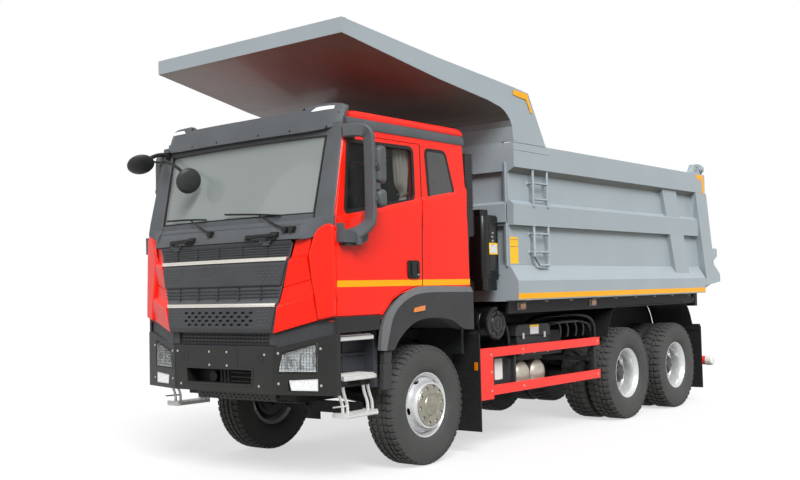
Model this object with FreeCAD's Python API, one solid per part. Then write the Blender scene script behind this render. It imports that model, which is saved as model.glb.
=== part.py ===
"""Three-axle dump truck with a tipping bed, built from separate named pieces.

Sizes are in millimetres.  The truck faces -Y, its left side is +X and +Z is up.
Every y below is counted from the front axle; the finished pieces are then moved
so that the origin is on the ground under the middle of the whole truck.
"""
import FreeCAD, Part
import math
import os

V = FreeCAD.Vector
os.makedirs("parts", exist_ok=True)

# ---------------------------------------------------------------- driving sizes
WHEELBASE = 3975          # front axle to first rear axle
BOGIE_SPACING = 1400      # between the rear axles
FRONT_REACH = 1612        # front axle forward to the foremost mirror

TYRE_R = 561
TYRE_WIDTH = 310
RIM_FLANGE_R = 302
RIM_SEAT_R = 256
RIM_BARREL_R = 228
RIM_WIDTH = 248
FRONT_TRACK_HALF = 1023   # middle of a front tyre
TWIN_OUTER_X = 1096       # middle of an outer rear tyre
TWIN_SPACING = 345        # between the middles of two twin tyres
KINGPIN_X = 850
BUMPER_Y = -1500
BUMPER_THICK = 55

CAB_HALF = 1245           # half width at the waist
CAB_FLOOR_Z = 1450
CAB_BOTTOM_Z = 1390
CAB_WAIST_Z = 2290
CAB_TOP_Z = 3050
ROOF_TOP_Z = 3228
CAB_WALL = 55
TUMBLEHOME = 33           # each side leans in this much from waist to top

RAIL_HALF = 430           # outside of a chassis rail
RAIL_WIDTH = 80
RAIL_BOTTOM_Z = 780
RAIL_TOP_Z = 1080
RAIL_FRONT_Y = -1300
SUBFRAME_TOP_Z = 1295

BED_FRONT_Y = 1290
BED_WALL_HALF = 1285      # outside of the plain side wall
BED_WALL_THICK = 57
BED_FLOOR_Z = 1500        # underside of the floor plate
BED_FLOOR_THICK = 40
BED_RAIL_TOP_Z = 3148
CANOPY_FRONT_Y = -1190
CANOPY_TOP_Z = 4009
TIP_Z = 1230
GATE_HINGE_Z = 3235

GAP = 6                   # between pieces that move past each other
PIN_CLEARANCE = 0.06      # radial, between a pin and its eye
FIT = 1                   # between neighbours on one body that do not touch

FIRST_AXLE_Y = WHEELBASE
LAST_AXLE_Y = WHEELBASE + BOGIE_SPACING
REAR_AXLES_Y = (FIRST_AXLE_Y, LAST_AXLE_Y)
TIP_Y = LAST_AXLE_Y + 605         # bed hinge
BED_END_Y = LAST_AXLE_Y + 775     # rear end of the sill
GATE_HINGE_Y = BED_END_Y + 55     # tailgate hinge
RAIL_REAR_Y = LAST_AXLE_Y + 875
SPOUT_END_Y = LAST_AXLE_Y + 1263  # tip of the bed's spout
BED_INNER_HALF = BED_WALL_HALF - BED_WALL_THICK
BED_SILL_HALF = BED_WALL_HALF + 97
BED_RAIL_HALF = BED_WALL_HALF + 87
ORIGIN_SHIFT_Y = (FRONT_REACH - SPOUT_END_Y) / 2
LEFT, RIGHT = 1, -1
SIDE_NAMES = {LEFT: "left", RIGHT: "right"}
pieces = {}


# ---------------------------------------------------------------- shape helpers
def box(x0, x1, y0, y1, z0, z1):
    return Part.makeBox(x1 - x0, y1 - y0, z1 - z0, V(x0, y0, z0))


def polygon_face(points):
    return Part.Face(Part.makePolygon([V(*p) for p in points] + [V(*points[0])]))


def prism_x(outline, x0, x1):
    """Extrude a (y, z) outline from x0 to x1."""
    return polygon_face([(x0, y, z) for y, z in outline]).extrude(V(x1 - x0, 0, 0))


def prism_y(outline, y0, y1):
    """Extrude an (x, z) outline from y0 to y1."""
    return polygon_face([(x, y0, z) for x, z in outline]).extrude(V(0, y1 - y0, 0))


def prism_z(outline, z0, z1):
    """Extrude an (x, y) outline from z0 to z1."""
    return polygon_face([(x, y, z0) for x, y in outline]).extrude(V(0, 0, z1 - z0))


def rod(start, end, radius):
    """Round bar between two points."""
    a, b = V(*start), V(*end)
    return Part.makeCylinder(radius, (b - a).Length, a, b - a)


def pipe(start, end, radius, bore):
    return rod(start, end, radius).cut(rod(start, end, bore))


def fuse(shapes):
    first = shapes[0]
    return first.multiFuse(shapes[1:]).removeSplitter() if len(shapes) > 1 else first


def flip(shape, side):
    """Left-hand shape for LEFT, its mirror image for RIGHT."""
    return shape if side == LEFT else shape.mirror(V(0, 0, 0), V(1, 0, 0))


def both_sides(shape):
    return Part.makeCompound([shape, flip(shape, RIGHT)])


def revolve_x(profile, centre_x, y, z):
    """Revolve an (x, r) outline about the line through (y, z) along X."""
    face = polygon_face([(centre_x + x, y, z + r) for x, r in profile])
    return face.revolve(V(0, y, z), V(1, 0, 0), 360)


def loft(wires):
    return Part.makeLoft(wires, True, True)


def round_edges(shape, radius, test):
    """Fillet the edges whose middle passes the test."""
    chosen = [e for e in shape.Edges if test(e.valueAt((e.FirstParameter + e.LastParameter) / 2), e)]
    return shape.makeFillet(radius, chosen) if chosen else shape


def moved(shape, x, y, z):
    copy = shape.copy()
    copy.translate(V(x, y, z))
    return copy


def between(low, high, share):
    return low + (high - low) * share


# ---------------------------------------------------------------- wheels
def tyre(centre_x, y):
    half, bead = TYRE_WIDTH / 2, RIM_WIDTH / 2 - 16
    profile = [(-bead, RIM_SEAT_R), (bead, RIM_SEAT_R), (bead, RIM_FLANGE_R + 2), (half - 8, 370),
               (half, 425),
               (half - 6, 480), (half - 20, TYRE_R - 22), (half - 42, TYRE_R - 3), (0, TYRE_R),
               (-half + 42, TYRE_R - 3), (-half + 20, TYRE_R - 22), (-half + 6, 480), (-half, 425),
               (-half + 8, 370), (-bead, RIM_FLANGE_R + 2)]
    return revolve_x(profile, centre_x, y, TYRE_R)


def rim_barrel(centre_x, y):
    half, seat = RIM_WIDTH / 2, RIM_SEAT_R - 0.5
    profile = [(-half, RIM_BARREL_R), (half, RIM_BARREL_R), (half, RIM_FLANGE_R), (half - 14, RIM_FLANGE_R),
               (half - 14, seat), (-half + 14, seat), (-half + 14, RIM_FLANGE_R), (-half, RIM_FLANGE_R)]
    return revolve_x(profile, centre_x, y, TYRE_R)


HUB_BORE_R = 45
SPINDLE_R = HUB_BORE_R - PIN_CLEARANCE
FRONT_DISC_X = FRONT_TRACK_HALF + 62
FRONT_HUB_END_X = FRONT_TRACK_HALF + 168
FRONT_HUB_INNER_X = KINGPIN_X + 72
FRONT_SPINDLE_END_X = FRONT_TRACK_HALF + 120
TWIN_INNER_X = TWIN_OUTER_X - TWIN_SPACING
TWIN_MIDDLE_X = (TWIN_OUTER_X + TWIN_INNER_X) / 2
REAR_HUB_END_X = TWIN_OUTER_X + 52
REAR_SPINDLE_END_X = REAR_HUB_END_X - 40


def front_rim():
    disc = pipe((FRONT_DISC_X - 7, 0, TYRE_R), (FRONT_DISC_X + 7, 0, TYRE_R), RIM_BARREL_R + 1, HUB_BORE_R)
    hub = rod((FRONT_HUB_INNER_X, 0, TYRE_R), (FRONT_HUB_END_X, 0, TYRE_R), 95)
    drum = pipe((FRONT_HUB_INNER_X, 0, TYRE_R), (FRONT_DISC_X, 0, TYRE_R), 205, 190)
    bore = rod((FRONT_HUB_INNER_X - 10, 0, TYRE_R), (FRONT_SPINDLE_END_X + GAP, 0, TYRE_R), HUB_BORE_R)
    return fuse([rim_barrel(FRONT_TRACK_HALF, 0), disc, hub, drum]).cut(bore)


def rear_rims(y):
    outer, inner = rim_barrel(TWIN_OUTER_X, y), rim_barrel(TWIN_INNER_X, y)
    disc = pipe((TWIN_MIDDLE_X - 52, y, TYRE_R), (TWIN_MIDDLE_X + 52, y, TYRE_R), RIM_BARREL_R + 1,
                HUB_BORE_R)
    hub = rod((TWIN_MIDDLE_X - 60, y, TYRE_R), (REAR_HUB_END_X, y, TYRE_R), 120)
    bore = rod((TWIN_MIDDLE_X - 70, y, TYRE_R), (REAR_SPINDLE_END_X + GAP, y, TYRE_R), HUB_BORE_R)
    return fuse([outer, inner, disc, hub]).cut(bore)


for side, name in SIDE_NAMES.items():
    pieces["front_tyre_" + name] = flip(tyre(FRONT_TRACK_HALF, 0), side)
    pieces["front_rim_" + name] = flip(front_rim(), side)
    for number, axle_y in enumerate(REAR_AXLES_Y, start=1):
        label = "rear_%d_%s" % (number, name)
        twins = Part.makeCompound([tyre(TWIN_OUTER_X, axle_y), tyre(TWIN_INNER_X, axle_y)])
        pieces["twin_tyres_" + label] = flip(twins, side)
        pieces["twin_rims_" + label] = flip(rear_rims(axle_y), side)


# ---------------------------------------------------------------- axles, knuckles and springs
KINGPIN_EYE_HALF = 46     # half height of the axle's kingpin eye
KINGPIN_R = 24
KINGPIN_EYE_R = KINGPIN_R + 21
BEAM_DROP_Z = 430
SPRING_X = RAIL_HALF - RAIL_WIDTH / 2
SPRING_HALF = 42
AXLE_TUBE_R = 75
DIFF_R = 205

beam_outline = [(-KINGPIN_X + 40, TYRE_R - 40), (-560, BEAM_DROP_Z), (560, BEAM_DROP_Z),
                (KINGPIN_X - 40, TYRE_R - 40), (KINGPIN_X - 40, TYRE_R + 40), (520, BEAM_DROP_Z + 110),
                (-520, BEAM_DROP_Z + 110), (-KINGPIN_X + 40, TYRE_R + 40)]
eyes = [rod((s * KINGPIN_X, 0, TYRE_R - KINGPIN_EYE_HALF), (s * KINGPIN_X, 0, TYRE_R + KINGPIN_EYE_HALF),
            KINGPIN_EYE_R)
        for s in (LEFT, RIGHT)]
eye_bores = [rod((s * KINGPIN_X, 0, 0), (s * KINGPIN_X, 0, 1000), KINGPIN_R + PIN_CLEARANCE)
             for s in (LEFT, RIGHT)]
front_spring_seats = [box(s * SPRING_X - 50, s * SPRING_X + 50, -90, 90, BEAM_DROP_Z + 60, BEAM_DROP_Z + 130)
                      for s in (LEFT, RIGHT)]
front_axle = fuse([prism_y(beam_outline, -45, 45)] + eyes + front_spring_seats)
for bore in eye_bores:
    front_axle = front_axle.cut(bore)


def steering_knuckle():
    low, high = TYRE_R - KINGPIN_EYE_HALF - 4, TYRE_R + KINGPIN_EYE_HALF + 4
    pin = rod((KINGPIN_X, 0, low - 40), (KINGPIN_X, 0, high + 40), KINGPIN_R)
    ears = [rod((KINGPIN_X, 0, z), (KINGPIN_X, 0, z + 45), KINGPIN_EYE_R - 3) for z in (low - 45, high)]
    webs = [box(KINGPIN_X, KINGPIN_X + 64, -40, 40, z, z + 45) for z in (low - 45, high)]
    plate = rod((KINGPIN_X + 52, 0, TYRE_R), (KINGPIN_X + 66, 0, TYRE_R), 170)
    spindle = rod((KINGPIN_X + 60, 0, TYRE_R), (FRONT_SPINDLE_END_X, 0, TYRE_R), SPINDLE_R)
    arm = fuse([box(KINGPIN_X - 30, KINGPIN_X + 30, 0, 190, low - 45, low - 15),
                rod((KINGPIN_X - 15, 190, low - 45), (KINGPIN_X - 15, 190, low - 15), 32)])
    return fuse([pin, plate, spindle, arm] + ears + webs)


for side, name in SIDE_NAMES.items():
    pieces["steering_knuckle_" + name] = flip(steering_knuckle(), side)


def rear_axle(y):
    tube = rod((-TWIN_MIDDLE_X + 80, y, TYRE_R), (TWIN_MIDDLE_X - 80, y, TYRE_R), AXLE_TUBE_R)
    spindle = rod((-REAR_SPINDLE_END_X, y, TYRE_R), (REAR_SPINDLE_END_X, y, TYRE_R), SPINDLE_R)
    housing = rod((-105, y, TYRE_R), (105, y, TYRE_R), DIFF_R)
    nose = rod((0, y, TYRE_R), (0, y - 320, TYRE_R), 78)
    pads = [box(s * SPRING_X - 55, s * SPRING_X + 55, y - 80, y + 80, TYRE_R + 20, TYRE_R + 100)
            for s in (LEFT, RIGHT)]
    return fuse([tube, spindle, housing, nose] + pads)


pieces["axles"] = Part.makeCompound([front_axle] + [rear_axle(y) for y in REAR_AXLES_Y])

BOGIE_MIDDLE_Y = sum(REAR_AXLES_Y) / 2
FRONT_SPRING_HALF_LENGTH = 780
front_seat_z = BEAM_DROP_Z + 130
front_spring_outline = [(-90, front_seat_z), (90, front_seat_z),
                        (FRONT_SPRING_HALF_LENGTH, RAIL_BOTTOM_Z - 45),
                        (FRONT_SPRING_HALF_LENGTH, RAIL_BOTTOM_Z),
                        (FRONT_SPRING_HALF_LENGTH - 60, RAIL_BOTTOM_Z),
                        (90, front_seat_z + 85), (-90, front_seat_z + 85),
                        (-FRONT_SPRING_HALF_LENGTH + 60, RAIL_BOTTOM_Z),
                        (-FRONT_SPRING_HALF_LENGTH, RAIL_BOTTOM_Z),
                        (-FRONT_SPRING_HALF_LENGTH, RAIL_BOTTOM_Z - 45)]
rear_pad_z = TYRE_R + 100
rear_spring_outline = [(FIRST_AXLE_Y - 80, rear_pad_z), (FIRST_AXLE_Y + 80, rear_pad_z),
                       (BOGIE_MIDDLE_Y, rear_pad_z - 20), (LAST_AXLE_Y - 80, rear_pad_z),
                       (LAST_AXLE_Y + 80, rear_pad_z), (LAST_AXLE_Y + 80, rear_pad_z + 45),
                       (BOGIE_MIDDLE_Y + 130, RAIL_BOTTOM_Z), (BOGIE_MIDDLE_Y - 130, RAIL_BOTTOM_Z),
                       (FIRST_AXLE_Y - 80, rear_pad_z + 45)]
springs = []
for side in (LEFT, RIGHT):
    springs.append(prism_x(front_spring_outline, side * SPRING_X - SPRING_HALF,
                           side * SPRING_X + SPRING_HALF))
    springs.append(prism_x(rear_spring_outline, side * SPRING_X - SPRING_HALF, side * SPRING_X + SPRING_HALF))
pieces["leaf_springs"] = Part.makeCompound(springs)

GEARBOX_REAR_Y = 1500
SHAFT_R = 45
first_nose_y = FIRST_AXLE_Y - 320
second_nose_y = LAST_AXLE_Y - 320
engine = box(-330, 330, -900, 350, 620, 1500)
gearbox = box(-200, 200, 350, GEARBOX_REAR_Y, 560, 1000)
front_shaft = rod((0, GEARBOX_REAR_Y - 50, 703), (0, first_nose_y + 50, TYRE_R - 3), SHAFT_R)
front_shaft = front_shaft.common(box(-100, 100, GEARBOX_REAR_Y, first_nose_y, 400, 900))
rear_shaft = rod((0, FIRST_AXLE_Y + DIFF_R, TYRE_R), (0, second_nose_y, TYRE_R), SHAFT_R)
pieces["driveline"] = Part.makeCompound([fuse([engine, gearbox]), front_shaft, rear_shaft])

# ---------------------------------------------------------------- chassis frame and subframe
FLANGE = 10


def rail_section(z0, z1):
    inner = RAIL_HALF - RAIL_WIDTH
    return [(inner, z0), (RAIL_HALF, z0), (RAIL_HALF, z1), (inner, z1), (inner, z1 - FLANGE),
            (RAIL_HALF - FLANGE, z1 - FLANGE), (RAIL_HALF - FLANGE, z0 + FLANGE), (inner, z0 + FLANGE)]


HOIST_PIVOT = (TIP_Y - 2480, 800)
HOIST_EYE = (TIP_Y - 780, 1380)
BARREL_R = 95
ROD_R = 60
EYE_HALF = 55
cross_x = RAIL_HALF - FLANGE
cross_members = [box(-cross_x, cross_x, y - 40, y + 40, 800, 1060)
                 for y in (RAIL_FRONT_Y + 40, BOGIE_MIDDLE_Y, RAIL_REAR_Y - 40)]
cross_members += [box(-cross_x, cross_x, y - 40, y + 40, 1010, 1070) for y in (700, 1900, 2600)]
HOIST_MEMBER_Y = HOIST_PIVOT[0] - 190
cross_members.append(box(-cross_x, cross_x, HOIST_MEMBER_Y - 60, HOIST_MEMBER_Y + 60, 790, 950))
hoist_ear_outline = [(HOIST_MEMBER_Y - 55, 950), (HOIST_MEMBER_Y - 55, 790),
                     (HOIST_PIVOT[0] - 40, HOIST_PIVOT[1] - 45),
                     (HOIST_PIVOT[0] + 45, HOIST_PIVOT[1] - 20), (HOIST_PIVOT[0] + 45, HOIST_PIVOT[1] + 30),
                     (HOIST_MEMBER_Y + 60, 950)]
HOIST_EAR_X = BARREL_R + GAP
HOIST_PIN_R = 30
hoist_ear = prism_x(hoist_ear_outline, HOIST_EAR_X, HOIST_EAR_X + 25)
hoist_pin = rod((-HOIST_EAR_X - 5, *HOIST_PIVOT), (HOIST_EAR_X + 5, *HOIST_PIVOT), HOIST_PIN_R)
rails = [flip(prism_y(rail_section(RAIL_BOTTOM_Z, RAIL_TOP_Z), RAIL_FRONT_Y, RAIL_REAR_Y), s)
         for s in (LEFT, RIGHT)]
bumper_arms = [box(s * 390 - 40, s * 390 + 40, BUMPER_Y + BUMPER_THICK, RAIL_FRONT_Y + 5, 1000, RAIL_TOP_Z)
               for s in (LEFT, RIGHT)]
frame = fuse(rails + cross_members + bumper_arms + [hoist_ear, flip(hoist_ear, RIGHT), hoist_pin])
COUPLING_Z = 930
COUPLING_BORE_R = 42
COUPLING_BOLT_R = 10.5
COUPLING_SPACING = (160, 100)
coupling_holes = [(0, 0, COUPLING_BORE_R)]
coupling_holes += [(i * COUPLING_SPACING[0] / 2, j * COUPLING_SPACING[1] / 2, COUPLING_BOLT_R)
                   for i in (-1, 1) for j in (-1, 1)]
for x, z, radius in coupling_holes:
    hole = rod((x, RAIL_REAR_Y - 100, COUPLING_Z + z), (x, RAIL_REAR_Y + 20, COUPLING_Z + z), radius)
    frame = frame.cut(hole)
pieces["chassis_frame"] = frame

subframe_outline = [(BED_FRONT_Y + 60, RAIL_TOP_Z), (TIP_Y + 20, RAIL_TOP_Z), (TIP_Y + 55, TIP_Z - 40),
                    (TIP_Y + 48, TIP_Z + 20), (TIP_Y + 5, TIP_Z + 58), (TIP_Y - 30, SUBFRAME_TOP_Z),
                    (BED_FRONT_Y + 60, SUBFRAME_TOP_Z)]
subframe_rail = prism_x(subframe_outline, RAIL_HALF - RAIL_WIDTH, RAIL_HALF)
BED_LUG_X = RAIL_HALF + 12
BED_LUG_THICK = 45
TIP_PIN_R = 34
TIP_PIN_END_X = BED_LUG_X + BED_LUG_THICK + 12
tip_pin = rod((-TIP_PIN_END_X, TIP_Y, TIP_Z), (TIP_PIN_END_X, TIP_Y, TIP_Z), TIP_PIN_R)
subframe_ties = [box(-RAIL_HALF + 40, RAIL_HALF - 40, y - 40, y + 40, RAIL_TOP_Z + 20, RAIL_TOP_Z + 120)
                 for y in (BED_FRONT_Y + 100, 2300, 3300)]
pieces["tipping_subframe"] = fuse([subframe_rail, flip(subframe_rail, RIGHT), tip_pin] + subframe_ties)


# ---------------------------------------------------------------- hoist ram
def along_ram(distance):
    dy, dz = HOIST_EYE[0] - HOIST_PIVOT[0], HOIST_EYE[1] - HOIST_PIVOT[1]
    share = distance / math.hypot(dy, dz)
    return (0, HOIST_PIVOT[0] + dy * share, HOIST_PIVOT[1] + dz * share)


RAM_LENGTH = math.hypot(HOIST_EYE[0] - HOIST_PIVOT[0], HOIST_EYE[1] - HOIST_PIVOT[1])
BARREL_LENGTH = 1500
ram_bore = rod(along_ram(160), along_ram(BARREL_LENGTH + 10), ROD_R + PIN_CLEARANCE)
barrel_eye_bore = rod((-BARREL_R - 1, *HOIST_PIVOT), (BARREL_R + 1, *HOIST_PIVOT),
                      HOIST_PIN_R + PIN_CLEARANCE)
barrel_eye = rod((-BARREL_R, *HOIST_PIVOT), (BARREL_R, *HOIST_PIVOT), HOIST_PIN_R + 32)
barrel = fuse([rod(along_ram(30), along_ram(BARREL_LENGTH), BARREL_R), barrel_eye])
pieces["hoist_barrel"] = barrel.cut(ram_bore).cut(barrel_eye_bore)
rod_eye = rod((-EYE_HALF, *HOIST_EYE), (EYE_HALF, *HOIST_EYE), 58)
rod_eye_bore = rod((-EYE_HALF - 1, *HOIST_EYE), (EYE_HALF + 1, *HOIST_EYE), 30)
pieces["hoist_rod"] = fuse([rod(along_ram(750), along_ram(RAM_LENGTH), ROD_R), rod_eye]).cut(rod_eye_bore)

# ---------------------------------------------------------------- cab
PILLAR_FRONT_Y = -1335    # front corner of the cab at the waist
PILLAR_TOP_Y = -1165      # the same corner at the top of the windscreen
SCREEN_HALF_WAIST = 1018
SCREEN_HALF_TOP = 1040
CAB_BOW = 60              # the front stands this far forward in the middle
CORNER = 28
CAB_REAR_WAIST_Y = 636
CAB_REAR_TOP_Y = 620


def cab_wire(z, inset):
    """Closed outline of the cab at height z, moved inwards by inset."""
    lean = max(0, (z - CAB_WAIST_Z) / (CAB_TOP_Z - CAB_WAIST_Z))
    half = CAB_HALF - TUMBLEHOME * lean - inset
    screen = between(SCREEN_HALF_WAIST, SCREEN_HALF_TOP, lean)
    front = between(PILLAR_FRONT_Y, PILLAR_TOP_Y, lean) + inset
    rear_slope = (CAB_REAR_TOP_Y - CAB_REAR_WAIST_Y) / (CAB_TOP_Z - CAB_WAIST_Z)
    rear = CAB_REAR_WAIST_Y + rear_slope * (z - CAB_WAIST_Z) - inset
    corners = [V(screen, front, z), V(half - CORNER, front, z), V(half, front + CORNER, z),
               V(half, rear - CORNER, z),
               V(half - CORNER, rear, z), V(-half + CORNER, rear, z), V(-half, rear - CORNER, z),
               V(-half, front + CORNER, z), V(-half + CORNER, front, z), V(-screen, front, z)]
    arc = Part.Arc(corners[-1], V(0, front - CAB_BOW, z), corners[0]).toShape()
    lines = [Part.makeLine(a, b) for a, b in zip(corners, corners[1:])]
    return Part.Wire([arc] + lines)


def cab_block(z0, z1, inset):
    levels = [z0] + ([CAB_WAIST_Z] if z0 < CAB_WAIST_Z < z1 else []) + [z1]
    return loft([cab_wire(z, inset) for z in levels])


cab_outer = cab_block(CAB_BOTTOM_Z, CAB_TOP_Z, 0)
cab_space = cab_block(CAB_FLOOR_Z, CAB_TOP_Z + 20, CAB_WALL)
cab_skin = cab_outer.cut(cab_space)

# front wheel arch and fender
FENDER_X = 1270
FENDER_INNER_X = 1192
FENDER_FRONT_Y = -792
FENDER_REAR_Y = 655
FENDER_TOP_Z = 1665
ARCH_R = 805
fender_outline = [(FENDER_FRONT_Y, 1088), (-732, 1418), (-580, 1555), (-464, 1607), (-212, 1660),
                  (49, FENDER_TOP_Z), (FENDER_REAR_Y, 1662), (FENDER_REAR_Y + 5, 1213)]
DOOR_REAR_Y = -140
door_outline = [(PILLAR_FRONT_Y + 16, 1430), (-745, 1430), (-590, 1566), (-468, 1620),
                (-215, FENDER_TOP_Z + 10),
                (DOOR_REAR_Y, FENDER_TOP_Z + 11), (DOOR_REAR_Y + 20, 2300), (DOOR_REAR_Y + 46, 3008),
                (PILLAR_TOP_Y + 18, 3008), (PILLAR_FRONT_Y + 16, CAB_WAIST_Z)]
window_outline = [(-1175, 2315), (-255, 2466), (-222, 2520), (-212, 2930), (-250, 2962), (-1085, 2952),
                  (-1120, 2920), (-1195, 2342)]
quarter_outline = [(-17, 2964), (296, 2965), (398, 2605), (-4, 2509)]


def grown(outline, amount):
    """The outline with every edge moved outwards by amount (inwards if it is negative)."""
    count = len(outline)
    area = sum(outline[i - 1][0] * outline[i][1] - outline[i][0] * outline[i - 1][1] for i in range(count))
    outward = amount if area > 0 else -amount
    result = []
    for i in range(count):
        before, here, after = outline[i - 1], outline[i], outline[(i + 1) % count]
        ux, uy = unit(before, here)
        vx, vy = unit(here, after)
        reach = outward / (1 + ux * vx + uy * vy)
        result.append((here[0] + (uy + vy) * reach, here[1] - (ux + vx) * reach))
    return result


def unit(a, b):
    length = math.hypot(b[0] - a[0], b[1] - a[1])
    return (b[0] - a[0]) / length, (b[1] - a[1]) / length


def side_cutter(outline, amount, x0=1000, x1=1400):
    return prism_x(grown(outline, amount), x0, x1)


def side_slab(thick):
    """The left side wall, thick from its outer face inwards."""
    top_half = CAB_HALF - TUMBLEHOME
    outline = [(CAB_HALF, CAB_BOTTOM_Z), (CAB_HALF, CAB_WAIST_Z), (top_half, CAB_TOP_Z),
               (top_half - thick, CAB_TOP_Z),
               (CAB_HALF - thick, CAB_WAIST_Z), (CAB_HALF - thick, CAB_BOTTOM_Z)]
    return prism_y(outline, PILLAR_FRONT_Y - 100, CAB_REAR_WAIST_Y + 100)


screen_outline = [(-SCREEN_HALF_WAIST, CAB_WAIST_Z + 22), (SCREEN_HALF_WAIST, CAB_WAIST_Z + 22),
                  (SCREEN_HALF_TOP, 3014), (-SCREEN_HALF_TOP, 3014)]
rear_window_outline = [(-620, 2420), (620, 2420), (600, 2860), (-600, 2860)]
screen_cutter = prism_y(screen_outline, -1500, -1000)
rear_window_cutter = prism_y(rear_window_outline, 400, 750)
fender_room = side_cutter(fender_outline, 3, FENDER_INNER_X - 3)

glass_band = cab_block(CAB_FLOOR_Z, CAB_TOP_Z, 14).cut(cab_block(CAB_FLOOR_Z - 5, CAB_TOP_Z + 5, 22))
DOOR_HINGE_Z = (1600, 2060)
HINGE_HEIGHT = 90
HINGE_R = 13
HINGE_PIN_R = 7
DOOR_AXIS = (CAB_HALF - 9, PILLAR_FRONT_Y + 16)


def door_axis(z):
    return (DOOR_AXIS[0], DOOR_AXIS[1], z)


cab_shell = cab_skin.cut(screen_cutter).cut(rear_window_cutter)
door_room = side_cutter(door_outline, 0).common(side_slab(CAB_WALL + GAP))
for side in (LEFT, RIGHT):
    for room in (door_room, side_cutter(quarter_outline, 0), fender_room):
        cab_shell = cab_shell.cut(flip(room, side))
TUNNEL_HALF = 400
tunnel = box(-TUNNEL_HALF, TUNNEL_HALF, -1000, 450, CAB_FLOOR_Z - 5, 1600)
tunnel_room = box(-TUNNEL_HALF + 40, TUNNEL_HALF - 40, -960, 410, CAB_BOTTOM_Z - 10, 1560)
cab_shell = cab_shell.fuse(tunnel).cut(tunnel_room)
for z0 in DOOR_HINGE_Z:
    notch = rod(door_axis(z0 - GAP), door_axis(z0 + HINGE_HEIGHT + GAP), HINGE_R + 4)
    pin = rod(door_axis(z0 - 25), door_axis(z0 + HINGE_HEIGHT + 25), HINGE_PIN_R)
    cab_shell = cab_shell.cut(both_sides(notch)).fuse(both_sides(pin))

panel = cab_outer.common(side_slab(CAB_WALL)).common(side_cutter(door_outline, -GAP))
panel = panel.cut(side_cutter(window_outline, 0))
for z0 in DOOR_HINGE_Z:
    panel = panel.cut(rod(door_axis(z0 - 30), door_axis(z0 + HINGE_HEIGHT + 30), HINGE_PIN_R + GAP))
    panel = panel.fuse(rod(door_axis(z0), door_axis(z0 + HINGE_HEIGHT), HINGE_R))
    panel = panel.cut(rod(door_axis(z0 - 1), door_axis(z0 + HINGE_HEIGHT + 1), HINGE_PIN_R + PIN_CLEARANCE))
for side, name in SIDE_NAMES.items():
    pieces["door_" + name] = flip(panel, side)
    pieces["door_window_" + name] = flip(glass_band.common(side_cutter(window_outline, 0)), side)
cab_glass = [glass_band.common(screen_cutter), glass_band.common(rear_window_cutter)]
cab_glass += [flip(glass_band.common(side_cutter(quarter_outline, 0)), s) for s in (LEFT, RIGHT)]
pieces["cab_glass"] = Part.makeCompound(cab_glass)


def roof_wire(z, inset, setback):
    """Outline of the roof at height z; its front lies back behind the visor."""
    half = CAB_HALF - TUMBLEHOME - inset
    front = PILLAR_TOP_Y + setback
    rear = CAB_REAR_TOP_Y - inset
    corners = [V(half - 60, front, z), V(half, front + 60, z), V(half, rear - CORNER, z),
               V(half - CORNER, rear, z),
               V(-half + CORNER, rear, z), V(-half, rear - CORNER, z), V(-half, front + 60, z),
               V(-half + 60, front, z)]
    arc = Part.Arc(corners[-1], V(0, front - CAB_BOW, z), corners[0]).toShape()
    lines = [Part.makeLine(a, b) for a, b in zip(corners, corners[1:])]
    return Part.Wire([arc] + lines)


roof_outer = loft([roof_wire(CAB_TOP_Z, 0, 5), roof_wire(CAB_TOP_Z + 100, 6, 95),
                   roof_wire(ROOF_TOP_Z, 90, 200)])
roof_space = loft([roof_wire(CAB_TOP_Z - 5, CAB_WALL, 60), roof_wire(CAB_TOP_Z + 85, CAB_WALL + 6, 150),
                   roof_wire(ROOF_TOP_Z - 40, 130, 240)])
pieces["cab_roof"] = roof_outer.cut(roof_space)


# sun visor: a bowed moulded band over the windscreen
def bowed_wire(z, half, end_y, bow, thick):
    front = Part.Arc(V(-half, end_y, z), V(0, end_y - bow, z), V(half, end_y, z)).toShape()
    back = Part.Arc(V(half, end_y + thick, z), V(0, end_y - bow + thick, z),
                    V(-half, end_y + thick, z)).toShape()
    ends = [Part.makeLine(V(half, end_y, z), V(half, end_y + thick, z)),
            Part.makeLine(V(-half, end_y + thick, z), V(-half, end_y, z))]
    return Part.Wire([front, ends[0], back, ends[1]])


visor = loft([bowed_wire(3046, 1150, -1212, 90, 26), bowed_wire(3296, 1172, -1085, 100, 26)])
pieces["sun_visor"] = visor

# fixed cowl under the windscreen, and the grille lid that hangs from its lower lip
COWL_BOTTOM_Z = 2098
COWL_TOP_Z = 2262
COWL_THICK = 45
COWL_BOW = 60
LID_TOP_Z = COWL_BOTTOM_Z - 24
LID_BOTTOM_Z = 1300
LID_THICK = 16
LID_BOW = 52
LID_TOP_Y = -1462
LID_EYE_R = 8
LID_PIN_R = 4
LID_AXIS = (LID_TOP_Y - LID_BOW, LID_TOP_Z + LID_EYE_R + 4)
LID_EYE_X = (560, 640)
cowl = loft([bowed_wire(COWL_BOTTOM_Z, 973, -1475, COWL_BOW, COWL_THICK),
             bowed_wire(COWL_TOP_Z, 985, -1395, COWL_BOW, COWL_THICK)])
cowl_stays = [box(s * 500 - 30, s * 500 + 30, -1450, PILLAR_FRONT_Y, COWL_BOTTOM_Z + 50, COWL_TOP_Z - 40)
              for s in (LEFT, RIGHT)]
lid_lugs = [box(x, x + 20, LID_AXIS[0] - 10, LID_AXIS[0] + 24, LID_AXIS[1] - 6, COWL_BOTTOM_Z + 2)
            for x in (LID_EYE_X[0] - 25, LID_EYE_X[1] + 5)]
lid_pin = rod((LID_EYE_X[0] - 25, *LID_AXIS), (LID_EYE_X[1] + 25, *LID_AXIS), LID_PIN_R)
lid_hinge = fuse(lid_lugs + [lid_pin])
wiper_cowl = fuse([cowl, lid_hinge, flip(lid_hinge, RIGHT)] + cowl_stays)
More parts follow.
